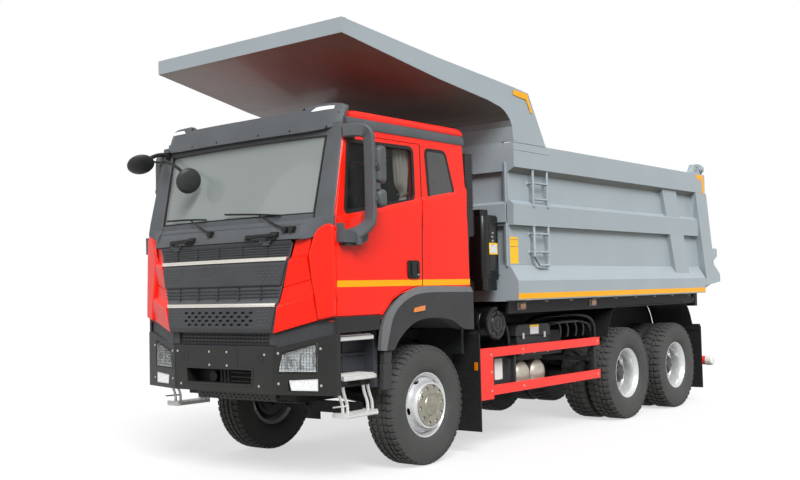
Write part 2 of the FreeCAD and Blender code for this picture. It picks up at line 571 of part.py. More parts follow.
pieces["wiper_cowl"] = wiper_cowl.cut(cab_outer)

grille = loft([bowed_wire(LID_BOTTOM_Z, 677, -1530, 15, LID_THICK),
               bowed_wire(1543, 728, -1513, 25, LID_THICK),
               bowed_wire(LID_TOP_Z, 876, LID_TOP_Y, LID_BOW, LID_THICK)])
lid_eye = fuse([rod((LID_EYE_X[0], *LID_AXIS), (LID_EYE_X[1], *LID_AXIS), LID_EYE_R),
                box(*LID_EYE_X, LID_AXIS[0], LID_AXIS[0] + 34, LID_TOP_Z - 16, LID_TOP_Z + 6)])
lid_bore = rod((LID_EYE_X[0] - 1, *LID_AXIS), (LID_EYE_X[1] + 1, *LID_AXIS), LID_PIN_R + PIN_CLEARANCE)
pieces["front_lid"] = fuse([grille, lid_eye, flip(lid_eye, RIGHT)]).cut(both_sides(lid_bore))
pieces["cab_shell"] = cab_shell


def corner_section(z, grille_x, grille_y, step_x, step_y):
    """Outline of a corner deflector at height z, from the grille's edge to the door."""
    back = PILLAR_FRONT_Y - 8
    points = [(grille_x + GAP, grille_y, z), (step_x, step_y, z), (CAB_HALF - 6, PILLAR_FRONT_Y - 4 - 30, z),
              (CAB_HALF - 2, back, z), (grille_x + GAP, back, z)]
    return Part.makePolygon([V(*p) for p in points + points[:1]])


corner_panel = loft([corner_section(1300, 677, -1520, 800, -1490),
                     corner_section(1543, 728, -1505, 900, -1470),
                     corner_section(2090, 885, -1450, 985, -1440)])
pieces["corner_deflectors"] = both_sides(corner_panel.cut(cab_block(CAB_BOTTOM_Z - 200, CAB_TOP_Z, -FIT)))

# bumper with lamp openings
BUMPER_FOLD_X = 670
BUMPER_END_Y = -1290
BUMPER_Z = (770, 1290)
bumper_back_y = BUMPER_Y + BUMPER_THICK
bumper_plan = [(0, BUMPER_Y), (BUMPER_FOLD_X, BUMPER_Y), (CAB_HALF, -1345), (CAB_HALF, BUMPER_END_Y),
               (CAB_HALF - 50, BUMPER_END_Y), (CAB_HALF - 50, -1308), (BUMPER_FOLD_X - 8, bumper_back_y),
               (0, bumper_back_y)]
bumper_plan += [(-x, y) for x, y in reversed(bumper_plan[1:-1])]
bumper = prism_z(bumper_plan, *BUMPER_Z)
trim_outline = [(-CAB_HALF - 5, 1294), (-702, 1177), (702, 1177), (CAB_HALF + 5, 1294), (CAB_HALF + 5, 1400),
                (-CAB_HALF - 5, 1400)]
tow_opening = box(-495, 440, -1600, -1400, 830, 990)
bumper = bumper.cut(prism_y(trim_outline, -1600, -1200)).cut(tow_opening)
lamp_outline = [(690, 957), (1072, 960), (1072, 1214), (737, 1128)]
fog_outline = [(795, 806), (1075, 806), (1075, 912), (795, 896)]
lamps = []
for side in (LEFT, RIGHT):
    for outline in (lamp_outline, fog_outline):
        opening = flip(prism_y(outline, -1600, -1200), side)
        lamps.append(moved(bumper.common(opening), 0, 4, 0))
        bumper = bumper.cut(opening)
PLATE_HOLE_R = 3.5
PLATE_HOLE_SPACING = 210
PLATE_HOLE_Z = 1080
for x in (-PLATE_HOLE_SPACING / 2, PLATE_HOLE_SPACING / 2):
    bumper = bumper.cut(rod((x, BUMPER_Y - 20, PLATE_HOLE_Z), (x, bumper_back_y + 20, PLATE_HOLE_Z),
                            PLATE_HOLE_R))
pieces["front_bumper"] = bumper

# fenders
liner = pipe((905, 0, TYRE_R), (FENDER_INNER_X + 5, 0, TYRE_R), ARCH_R + 14, ARCH_R)
liner = liner.common(box(800, 1300, FENDER_FRONT_Y + 30, 690, 1090, 1500))
arch = rod((1000, 0, TYRE_R), (1400, 0, TYRE_R), ARCH_R)
fender = fuse([prism_x(fender_outline, FENDER_INNER_X, FENDER_X).cut(arch), liner])
pieces["front_fenders"] = both_sides(fender)


# steps under each door
STEP_Y = (-1236, -805)


def cab_steps():
    back = box(905, 935, STEP_Y[0], STEP_Y[1], 876, CAB_BOTTOM_Z)
    treads = [box(930, 1200, *STEP_Y, 1220, 1280), box(930, 1205, *STEP_Y, 876, 938)]
    low_step = box(1010, 1215, *STEP_Y, 558, 590)
    hangers = [box(1100, 1115, y, y + 40, 585, 880) for y in (STEP_Y[0] + 20, STEP_Y[1] - 60)]
    return fuse([back, low_step] + treads + hangers)


pieces["cab_steps"] = both_sides(cab_steps())


# door mirrors on a moulded arm
def door_mirror():
    arm_path = [(1250, -1290, 2130), (1400, -1110, 2190), (1425, -1060, 2300), (1425, -1050, 2860),
                (1400, -1060, 2960), (1240, -1150, 2990)]
    bars = [rod(a, b, 28) for a, b in zip(arm_path, arm_path[1:])]
    joints = [Part.makeSphere(29, V(*p)) for p in arm_path[1:-1]]
    heads = [box(1300, 1510, -1035, -940, 2556, 2892), box(1310, 1505, -1035, -940, 2350, 2512)]
    foot = prism_z([(1240, -1298), (1275, -1298), (1275, -1225), (1240, -1225)], 2056, 2208)
    return fuse(bars + joints + heads + [foot]).cut(cab_block(CAB_BOTTOM_Z, CAB_TOP_Z, 0))


for side, name in SIDE_NAMES.items():
    pieces["door_mirror_" + name] = flip(door_mirror(), side)


def disc(centre, normal, radius, thick):
    return Part.makeCylinder(radius, thick, V(*centre), V(*normal))


kerb_mirror = disc((-1170, -1478, 2925), (-0.56, 0.23, 0.80), 132, 40)
front_mirror = disc((-486, -1450, 2713), (-0.9, 0.3, 0.3), 122, 40)
mirror_arm = [rod((-1130, -1235, 3040), (-1150, -1420, 2985), 24),
              rod((-1130, -1235, 3040), (-640, -1420, 2850), 20),
              rod((-640, -1420, 2850), (-520, -1440, 2740), 16)]
pieces["corner_mirrors"] = fuse([kerb_mirror, front_mirror] + mirror_arm)


# ---------------------------------------------------------------- cab inside
def seat(x):
    cushion = box(x - 250, x + 250, -640, -150, 1760, 1890)
    back = prism_x([(-170, 1880), (-40, 1880), (60, 2480), (-30, 2490)], x - 240, x + 240)
    base = box(x - 190, x + 190, -600, -190, CAB_FLOOR_Z, 1760)
    return fuse([cushion, back, base])


SEAT_X = 620
pieces["seats"] = Part.makeCompound([seat(SEAT_X), seat(-SEAT_X)])
dash_outline = [(-1200, CAB_FLOOR_Z + 350), (-1235, 2240), (-1000, 2260), (-860, 2150), (-900, 1900),
                (-1000, CAB_FLOOR_Z + 350)]
WHEEL_CENTRE = V(SEAT_X, -790, 2200)
WHEEL_TILT = 33           # degrees between the steering shaft and the vertical
WHEEL_AXIS = V(0, math.sin(math.radians(WHEEL_TILT)), math.cos(math.radians(WHEEL_TILT)))
WHEEL_SHAFT_R = 14
column_top = WHEEL_CENTRE - WHEEL_AXIS * 36
column = Part.makeCylinder(45, 260, column_top, -WHEEL_AXIS)
column_bore = Part.makeCylinder(WHEEL_SHAFT_R + PIN_CLEARANCE, 130, column_top + WHEEL_AXIS, -WHEEL_AXIS)
pieces["dashboard"] = fuse([prism_x(dash_outline, -1150, 1150), column]).cut(column_bore)
steering_wheel = Part.makeTorus(215, 17, WHEEL_CENTRE, WHEEL_AXIS)
hub_disc = Part.makeCylinder(60, 40, WHEEL_CENTRE - WHEEL_AXIS * 30, WHEEL_AXIS)
spokes = []
for angle in (0, 180, 270):
    across, along = math.cos(math.radians(angle)), math.sin(math.radians(angle))
    ray = V(across, along * WHEEL_AXIS.z, -along * WHEEL_AXIS.y)
    spokes.append(Part.makeCylinder(12, 205, WHEEL_CENTRE, ray))
wheel_shaft = Part.makeCylinder(WHEEL_SHAFT_R, 150, WHEEL_CENTRE, -WHEEL_AXIS)
pieces["steering_wheel"] = fuse([steering_wheel, hub_disc, wheel_shaft] + spokes)

# ---------------------------------------------------------------- equipment on the frame
TOWER = (1030, 1200, 950, 1258, 1714, 2392)
tower = round_edges(box(*TOWER), 40, lambda p, e: abs(p.x - TOWER[1]) < 1 or abs(p.z - TOWER[5]) < 1)
tower_neck = box(1040, 1185, 960, 1200, 1560, 1714)
filter_drum = rod((700, 1310, 1270), (1100, 1310, 1270), 182)
filter_bracket = box(RAIL_HALF, 800, 1200, 1420, 1010, 1200)
pieces["air_intake"] = Part.makeCompound([fuse([tower, tower_neck]), fuse([filter_drum, filter_bracket])])

BOX_REAR_Y = 2371
BOX_TOP_Z = 1240
battery_outline = [(1718, 895), (1650, 1190), (1680, BOX_TOP_Z), (2330, BOX_TOP_Z), (BOX_REAR_Y, 1213),
                   (BOX_REAR_Y, 895)]
battery_box = prism_x(battery_outline, RAIL_HALF, 1100)
fluid_tank = box(RAIL_HALF + 40, 1100, 1130, 1590, 540, 1005)
valve_box = box(RAIL_HALF, 900, 2450, 2950, 860, 1150)
pieces["equipment_boxes"] = Part.makeCompound([battery_box, fluid_tank, valve_box])
air_tank = [rod((480, y, 700), (1085, y, 700), 142) for y in (1855, 2175)]
tank_hanger = box(RAIL_HALF, 1000, 1720, 2330, 820, 894)
fuel_tank = round_edges(box(-1140, -560, 1665, 3105, 480, 1010), 90, lambda p, e: abs(p.y - 2385) < 1)
fuel_straps = [box(-570, -RAIL_HALF, y, y + 100, 800, 1000) for y in (1760, 2850)]
pieces["tanks"] = Part.makeCompound([fuse(air_tank + [tank_hanger]), fuse([fuel_tank] + fuel_straps)])

GUARD_X = 1205
GUARD_REAR_Y = FIRST_AXLE_Y - 663
GUARD_POSTS_Y = (1596, GUARD_REAR_Y - 92)
GUARD_THICK = 30


def side_guard():
    plate = box(GUARD_X - GUARD_THICK, GUARD_X, 800, 1060, 517, 1035)
    rails = [box(GUARD_X - GUARD_THICK, GUARD_X, 1050, GUARD_REAR_Y, z0, z1)
             for z0, z1 in ((940, 1035), (555, 655))]
    posts = [box(GUARD_X - GUARD_THICK - 40, GUARD_X - GUARD_THICK + 1, y, y + 60, 555, 1035)
             for y in GUARD_POSTS_Y]
    arms = [box(RAIL_HALF, GUARD_X - GUARD_THICK - 20, y, y + 60, 955, 1005) for y in GUARD_POSTS_Y]
    return fuse([plate] + rails + posts + arms)


pieces["side_guards"] = both_sides(side_guard())

FLAP_Y = 740
front_flap = box(925, 1262, FLAP_Y - 8, FLAP_Y + 8, 225, 1190)
REAR_FLAP_Y = LAST_AXLE_Y + 825
REAR_FLAP_X = (640, 1240)
rear_flap = box(*REAR_FLAP_X, REAR_FLAP_Y - 8, REAR_FLAP_Y + 8, 190, 1045)


def mudguard():
    """A bent sheet over both twin wheels, hung from the frame by two flat stays."""
    front_y, rear_y = FIRST_AXLE_Y - 415, LAST_AXLE_Y + 655
    outer = [(front_y, 1060), (front_y + 240, 1345), (rear_y - 200, 1345), (rear_y, 1040)]
    inner = [(rear_y - 12, 1040), (rear_y - 208, 1332), (front_y + 248, 1332), (front_y + 14, 1060)]
    sheet = prism_x(outer + inner, *REAR_FLAP_X)
    stays = [box(RAIL_HALF, REAR_FLAP_X[0] + 5, y - 30, y + 30, 1334, 1344)
             for y in (FIRST_AXLE_Y - 75, LAST_AXLE_Y + 325)]
    return fuse([sheet] + stays)


pieces["mudguards"] = Part.makeCompound([both_sides(mudguard()), both_sides(front_flap),
                                         both_sides(rear_flap)])
BAR_Y = SPOUT_END_Y - 38
bar = rod((-1231, BAR_Y, 538), (1231, BAR_Y, 538), 62)
bar_arm_outline = [(BAR_Y - 20, 500), (BAR_Y - 20, 580), (RAIL_REAR_Y - 40, 1000), (RAIL_REAR_Y - 220, 1000),
                   (RAIL_REAR_Y - 220, 900)]
bar_arm = prism_x(bar_arm_outline, RAIL_HALF, RAIL_HALF + 30)
pieces["underrun_bar"] = fuse([bar, bar_arm, flip(bar_arm, RIGHT)])
tail_lamps = [box(s * 900 - 200, s * 900 + 200, RAIL_REAR_Y + 80, RAIL_REAR_Y + 150, 820, 940)
              for s in (LEFT, RIGHT)]
pieces["lamps"] = Part.makeCompound(lamps + tail_lamps)

# ---------------------------------------------------------------- bed
SIDE_LEAN = 0.185         # the rear edge of the side leans back going down
BED_BEAM_Z = 1300
BED_JOIST_Z = 1380
BED_JOIST_HALF = 30
FRONT_PANEL_Y = (BED_FRONT_Y + 55, BED_FRONT_Y + 100)
BED_FLOOR_TOP_Z = BED_FLOOR_Z + BED_FLOOR_THICK
floor_plate = box(-BED_INNER_HALF, BED_INNER_HALF, FRONT_PANEL_Y[1], BED_END_Y, BED_FLOOR_Z, BED_FLOOR_TOP_Z)
spout_outline = [(BED_END_Y - 20, BED_FLOOR_Z), (SPOUT_END_Y, 1662), (SPOUT_END_Y, 1702),
                 (BED_END_Y - 20, BED_FLOOR_TOP_Z)]
pieces["bed_floor"] = fuse([floor_plate, prism_x(spout_outline, -BED_INNER_HALF, BED_INNER_HALF)])

JOIST_X = BED_INNER_HALF - 28
JOIST_PITCH = 510
bed_beam = box(RAIL_HALF - RAIL_WIDTH, RAIL_HALF, BED_FRONT_Y + 60, TIP_Y + 100, BED_BEAM_Z, BED_FLOOR_Z)
bed_skirt = box(JOIST_X - 20, JOIST_X + 15, BED_FRONT_Y + 60, TIP_Y + 60, BED_JOIST_Z - 10, BED_FLOOR_Z)
underframe = [bed_beam, flip(bed_beam, RIGHT), bed_skirt, flip(bed_skirt, RIGHT)]
for y in range(BED_FRONT_Y + 280, TIP_Y - 300, JOIST_PITCH):
    inner_x = RAIL_HALF - 10 if y > HOIST_EYE[0] - 2 * JOIST_PITCH + 100 else -JOIST_X
    joist = box(inner_x, JOIST_X, y - BED_JOIST_HALF, y + BED_JOIST_HALF, BED_JOIST_Z, BED_FLOOR_Z)
    underframe += [joist, flip(joist, RIGHT)] if inner_x > 0 else [joist]
underframe.append(box(-BED_INNER_HALF + 3, BED_INNER_HALF - 3, TIP_Y + 80, TIP_Y + 160, 1330, BED_FLOOR_Z))
lug_x = (BED_LUG_X, BED_LUG_X + BED_LUG_THICK)
lug_outline = [(TIP_Y - 90, BED_FLOOR_Z), (TIP_Y - 55, TIP_Z), (TIP_Y + 55, TIP_Z), (TIP_Y + 90, BED_FLOOR_Z)]
lug = fuse([prism_x(lug_outline, *lug_x), rod((lug_x[0], TIP_Y, TIP_Z), (lug_x[1], TIP_Y, TIP_Z), 62)])
HOIST_PAD_Y = (HOIST_EYE[0] - 110, HOIST_EYE[0] + 110)
hoist_cheek = box(EYE_HALF + 20, EYE_HALF + 45, *HOIST_PAD_Y, HOIST_EYE[1] - 60, BED_FLOOR_Z)
underframe += [lug, flip(lug, RIGHT), hoist_cheek, flip(hoist_cheek, RIGHT)]
lug_bore = rod((-700, TIP_Y, TIP_Z), (700, TIP_Y, TIP_Z), TIP_PIN_R + PIN_CLEARANCE)
hoist_pad = box(-RAIL_HALF + 10, RAIL_HALF - 10, *HOIST_PAD_Y, BED_FLOOR_Z - 25, BED_FLOOR_Z)
pieces["bed_underframe"] = fuse(underframe + [hoist_pad]).cut(lug_bore)


def rear_edge(z):
    """y of the side's rear edge at height z."""
    return GATE_HINGE_Y + (BED_RAIL_TOP_Z - z) * SIDE_LEAN


def from_end(outline):
    """An outline whose y is counted back from the end of the sill."""
    return [(BED_END_Y + y, z) for y, z in outline]


side_outline = [(BED_FRONT_Y, 1512), (BED_END_Y - 110, 1512), (SPOUT_END_Y, 1655), (SPOUT_END_Y, 1765),
                (rear_edge(1897), 1897), (rear_edge(BED_RAIL_TOP_Z), BED_RAIL_TOP_Z),
                (BED_FRONT_Y, BED_RAIL_TOP_Z)]
sill_section = [(BED_INNER_HALF, 1510), (BED_SILL_HALF, 1510), (BED_SILL_HALF + 4, 1711),
                (BED_WALL_HALF, 1881),
                (BED_INNER_HALF, 1881)]
mid_rail_section = [(BED_INNER_HALF, 2290), (BED_WALL_HALF + 60, 2290), (BED_WALL_HALF + 67, 2510),
                    (BED_WALL_HALF, 2560), (BED_INNER_HALF, 2560)]
top_rail_section = [(BED_INNER_HALF, 2838), (BED_WALL_HALF, 2838), (BED_RAIL_HALF, 2890),
                    (BED_RAIL_HALF, BED_RAIL_TOP_Z), (BED_INNER_HALF, BED_RAIL_TOP_Z)]
rear_post_outline = [(BED_END_Y - 272, 2890), (BED_END_Y + 95, 2890), (rear_edge(1897), 1897),
                     (SPOUT_END_Y, 1765),
                     (SPOUT_END_Y, 1660), (BED_END_Y - 74, 1600), (BED_END_Y + 6, 1706)]
upper_stiffener_outline = from_end([(-1270, 2890), (-844, 2890), (-730, 2480), (-1145, 2480)])
lower_stiffener_outline = from_end([(-1091, 2312), (-658, 2312), (-495, 1730), (-915, 1730)])
bracket_outline = from_end([(-380, BED_RAIL_TOP_Z - 1), (0, BED_RAIL_TOP_Z - 1), (35, 3190), (100, 3200),
                            (100, 3275),
                            (30, 3300), (-160, 3290), (-250, 3190)])
GATE_PIN_R = 20
web = prism_x(side_outline, BED_INNER_HALF, BED_WALL_HALF)
sill = prism_y(sill_section, BED_FRONT_Y, BED_END_Y - 74)
mid_rail = prism_y(mid_rail_section, BED_FRONT_Y, BED_END_Y - 160)
top_rail = prism_y(top_rail_section, BED_FRONT_Y, BED_END_Y + 50)
rear_post = prism_x(rear_post_outline, BED_WALL_HALF - 1, BED_SILL_HALF - 12)
upper_stiffener = prism_x(upper_stiffener_outline, BED_WALL_HALF - 1, BED_WALL_HALF + 55)
lower_stiffener = prism_x(lower_stiffener_outline, BED_WALL_HALF - 1, BED_WALL_HALF + 60)
bracket = prism_x(bracket_outline, BED_INNER_HALF + 22, BED_WALL_HALF + 35)
gate_pin_bore = rod((BED_INNER_HALF - 28, GATE_HINGE_Y, GATE_HINGE_Z),
                    (BED_WALL_HALF + 115, GATE_HINGE_Y, GATE_HINGE_Z),
                    GATE_PIN_R + PIN_CLEARANCE)
side_parts = [web, sill, mid_rail, top_rail, rear_post, upper_stiffener, lower_stiffener, bracket]
bed_side = fuse(side_parts).cut(gate_pin_bore)
pieces["bed_sides"] = both_sides(bed_side)

front_panel = box(-BED_INNER_HALF, BED_INNER_HALF, *FRONT_PANEL_Y, BED_FLOOR_Z, BED_RAIL_TOP_Z)
front_lower = box(-BED_INNER_HALF, BED_INNER_HALF, BED_FRONT_Y, BED_FRONT_Y + 55, BED_FLOOR_Z, 1880)
front_bands = [box(-BED_INNER_HALF, BED_INNER_HALF, BED_FRONT_Y, BED_FRONT_Y + 60, z0, z1)
               for z0, z1 in ((2290, 2540), (2855, BED_RAIL_TOP_Z))]
front_wall = [front_panel, front_lower] + front_bands

# canopy over the cab
CANOPY_THICK = 40
canopy_under = [(BED_FRONT_Y - 1, 3160), (1271, 3307), (1242, 3367), (1195, 3415), (1141, 3456), (1076, 3485),
                (1000, 3503), (858, 3534), (100, 3643), (CANOPY_FRONT_Y, 3872)]
canopy_upper = [(CANOPY_FRONT_Y, 3872 + CANOPY_THICK), (110, 3684), (870, 3574), (1020, 3542), (1096, 3522),
                (1168, 3488), (1226, 3443), (1277, 3388), (1310, 3316), (BED_FRONT_Y + 40, 3160)]
canopy_sheet = prism_x(canopy_under + canopy_upper, -BED_SILL_HALF, BED_SILL_HALF)
canopy_foot = box(-BED_INNER_HALF, BED_INNER_HALF, BED_FRONT_Y, BED_FRONT_Y + 40, BED_RAIL_TOP_Z - 8, 3170)
CANOPY_FRONT_HALF = 1246
CANOPY_REAR_HALF = BED_RAIL_HALF + 4
CANOPY_EDGE_THICK = 40
LIP_DEPTH = 60
lip_outline = [(CANOPY_FRONT_Y, 3872), (CANOPY_FRONT_Y, CANOPY_TOP_Z),
               (CANOPY_FRONT_Y + LIP_DEPTH, CANOPY_TOP_Z),
               (CANOPY_FRONT_Y + LIP_DEPTH, 3860)]
lip = prism_x(lip_outline, -BED_SILL_HALF, BED_SILL_HALF)


def canopy_half(y):
    """Half width of the canopy, which widens from its front edge to the bed."""
    share = (y - CANOPY_FRONT_Y) / (BED_FRONT_Y - CANOPY_FRONT_Y)
    return between(CANOPY_FRONT_HALF, CANOPY_REAR_HALF, min(1, share))


CHEEK_END_Y = 2000
plan_stations = (CANOPY_FRONT_Y, BED_FRONT_Y, CHEEK_END_Y)
inside_plan = [(canopy_half(y) - 1, y) for y in plan_stations]
inside_plan += [(-x, y) for x, y in reversed(inside_plan)]
canopy_inside = prism_z(inside_plan, 3000, 4100)
cheek_outline = canopy_under + [(CANOPY_FRONT_Y, CANOPY_TOP_Z), (109, 3846), (1600, 3690),
                                (1930, BED_RAIL_TOP_Z),
                                (BED_FRONT_Y, BED_RAIL_TOP_Z)]
cheek_plan = [(canopy_half(y) - CANOPY_EDGE_THICK, y) for y in plan_stations]
cheek_plan += [(canopy_half(y), y) for y in reversed(plan_stations)]
cheek = prism_x(cheek_outline, BED_INNER_HALF - 200, BED_SILL_HALF).common(prism_z(cheek_plan, 3000, 4100))
rib_outline = [(BED_FRONT_Y - 100, 3540), (120, 3680), (CANOPY_FRONT_Y + 40, 3900),
               (CANOPY_FRONT_Y + 40, 3960),
               (130, 3760), (BED_FRONT_Y - 60, 3600)]
ribs = [prism_x(rib_outline, x - 20, x + 20) for x in (-600, 0, 600)]
canopy = [canopy_sheet.common(canopy_inside), canopy_foot, lip.common(canopy_inside), cheek,
          flip(cheek, RIGHT)] + ribs
pieces["bed_front_wall_and_canopy"] = fuse(front_wall + canopy)

# two short ladders on the left of the bed, one under each rail
LADDER_X = BED_WALL_HALF + 65
LADDER_R = 14
RUNG_R = 12
ladder_y = (1680, 1970)
LADDER_LOOP_Z = 1872
UPPER_RUNGS = (2575, 2745)
LOWER_RUNGS = (2012, 2205)
upper_ladder = [rod((LADDER_X, y, 2500), (LADDER_X, y, 2900), LADDER_R) for y in ladder_y]
upper_ladder += [rod((LADDER_X, ladder_y[0], z), (LADDER_X, ladder_y[1], z), RUNG_R) for z in UPPER_RUNGS]
upper_ladder += [rod((BED_WALL_HALF, y, UPPER_RUNGS[1]), (LADDER_X, y, UPPER_RUNGS[1]), RUNG_R)
                 for y in ladder_y]
loop_path = [(ladder_y[0], 1970), (ladder_y[0] + 100, LADDER_LOOP_Z), (ladder_y[1] - 10, LADDER_LOOP_Z),
             (ladder_y[1], 1970)]
lower_ladder = [rod((LADDER_X, y, 1965), (LADDER_X, y, 2290), LADDER_R) for y in ladder_y]
lower_ladder += [rod((LADDER_X, *a), (LADDER_X, *b), LADDER_R) for a, b in zip(loop_path, loop_path[1:])]
lower_ladder += [Part.makeSphere(LADDER_R + 1, V(LADDER_X, *point)) for point in loop_path]
lower_ladder += [rod((LADDER_X, ladder_y[0], z), (LADDER_X, ladder_y[1], z), RUNG_R) for z in LOWER_RUNGS]
lower_ladder += [rod((BED_WALL_HALF, y, z), (LADDER_X, y, z), RUNG_R) for y in ladder_y for z in LOWER_RUNGS]
pieces["bed_ladder"] = Part.makeCompound([fuse(upper_ladder).cut(bed_side), fuse(lower_ladder).cut(bed_side)])

# tailgate
GATE_THICK = 70
GATE_TOP_Z = 3120
gate_x = BED_INNER_HALF - 10


def gate_face(z, depth=0):
    """y of the tailgate's outer face at height z, or of a plane depth inside it."""
    return rear_edge(z) - 4 - depth


gate_outline = [(gate_face(GATE_TOP_Z), GATE_TOP_Z), (gate_face(1700), 1700),
                (gate_face(1700, GATE_THICK), 1690),
                (gate_face(GATE_TOP_Z, GATE_THICK), GATE_TOP_Z)]
gate_panel = prism_x(gate_outline, -gate_x, gate_x)
gate_arm_outline = [(gate_face(GATE_TOP_Z, GATE_THICK), 3100), (GATE_HINGE_Y - 45, GATE_HINGE_Z),
                    (GATE_HINGE_Y - 20, GATE_HINGE_Z + 45), (GATE_HINGE_Y + 40, GATE_HINGE_Z + 20),
                    (gate_face(GATE_TOP_Z), 3100)]
gate_arm = prism_x(gate_arm_outline, gate_x - 40, gate_x)
gate_pin = rod((gate_x - 10, GATE_HINGE_Y, GATE_HINGE_Z), (BED_WALL_HALF + 50, GATE_HINGE_Y, GATE_HINGE_Z),
               GATE_PIN_R)
gate_hinges = [gate_arm, flip(gate_arm, RIGHT), gate_pin, flip(gate_pin, RIGHT)]
gate_ribs = [prism_x([(rear_edge(z1) - 30, z1), (rear_edge(z1) + 46, z1 - 30), (rear_edge(z0) + 46, z0 + 30),
                      (rear_edge(z0) - 30, z0)], -gate_x + 30, gate_x - 30)
             for z0, z1 in ((1720, 1900), (2280, 2480), (2880, 3080))]
pieces["tailgate"] = fuse([gate_panel] + gate_hinges + gate_ribs)

# ---------------------------------------------------------------- write the pieces
for node, shape in pieces.items():
    shape = moved(shape, 0, ORIGIN_SHIFT_Y, 0)
    shape.exportStep("parts/%s.step" % node)
    state = "ok" if shape.isValid() else "INVALID"
    print("%-26s solids %2d  litres %8.1f  %s" % (node, len(shape.Solids), shape.Volume / 1e6, state))
print("pieces", len(pieces), "shift", ORIGIN_SHIFT_Y)
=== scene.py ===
# %% [markdown]
# # A three-axle dump truck
#
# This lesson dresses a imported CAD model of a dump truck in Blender.  The CAD model already has the
# right sizes and joints, so it is loaded as a fixed frame and never moved.  Where its plain solids
# are too simple, such as tyres, seats and lamps, finer pieces are built in code and ride on the same
# moving bodies.  The truck faces -Y, its left side is +X, Z is up, and every length is in metres.

# %% Load the frame
from math import atan2, copysign, cos, exp, radians, sin, tan, tau

import bmesh
import bpy
from mathutils import Matrix, Vector


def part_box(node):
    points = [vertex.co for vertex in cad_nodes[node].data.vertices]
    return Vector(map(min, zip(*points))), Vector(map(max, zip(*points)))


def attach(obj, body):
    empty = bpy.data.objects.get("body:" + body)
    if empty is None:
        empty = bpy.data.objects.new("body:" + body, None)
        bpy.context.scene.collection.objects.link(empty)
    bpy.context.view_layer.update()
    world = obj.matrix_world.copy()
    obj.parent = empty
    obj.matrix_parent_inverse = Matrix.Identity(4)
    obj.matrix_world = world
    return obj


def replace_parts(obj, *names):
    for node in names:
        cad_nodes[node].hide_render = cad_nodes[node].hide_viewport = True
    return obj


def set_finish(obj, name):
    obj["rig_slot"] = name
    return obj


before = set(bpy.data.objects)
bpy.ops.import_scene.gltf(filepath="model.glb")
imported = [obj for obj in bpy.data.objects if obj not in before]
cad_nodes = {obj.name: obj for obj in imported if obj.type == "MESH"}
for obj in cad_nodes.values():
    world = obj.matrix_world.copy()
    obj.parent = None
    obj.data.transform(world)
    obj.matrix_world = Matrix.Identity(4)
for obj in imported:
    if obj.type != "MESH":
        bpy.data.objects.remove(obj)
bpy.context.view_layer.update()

# %% [markdown]
# Lengths along the truck are easiest to read when they are counted from the front axle, as on a
# chassis drawing.  The axle's place comes from the box of the front tyre, so nothing has to be
# fitted by eye.  `at` turns such a drawing position into a point of the scene.

# %% Measure from the front axle
tyre_low, tyre_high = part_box("front_tyre_left")
AXLE_Y = (tyre_low.y + tyre_high.y) / 2
TYRE_R = (tyre_high.z - tyre_low.z) / 2
REAR_AXLES = []
for number in (1, 2):
    low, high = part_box("twin_rims_rear_%d_left" % number)
    REAR_AXLES.append((low.y + high.y) / 2 - AXLE_Y)
LEFT, RIGHT = 1, -1
SIDES = {LEFT: "left", RIGHT: "right"}


def at(x, y, z):
    """A point of the scene, with y counted from the front axle."""
    return Vector((x, AXLE_Y + y, z))


print("front axle y", round(AXLE_Y, 3), "rear axles", [round(y, 3) for y in REAR_AXLES])

# %% [markdown]
# ## A small workshop for meshes
#
# Real truck parts are folded, turned, extruded and cast, so the helpers below do the same four
# jobs: push an outline along an axis, turn a profile round an axle, sweep a tube along a bent
# path, and skin a row of sections.  They all add to one `Workpiece`, and `finish` rounds its edges
# with a Bevel modifier, because no real edge is perfectly sharp and a rounded one catches light.

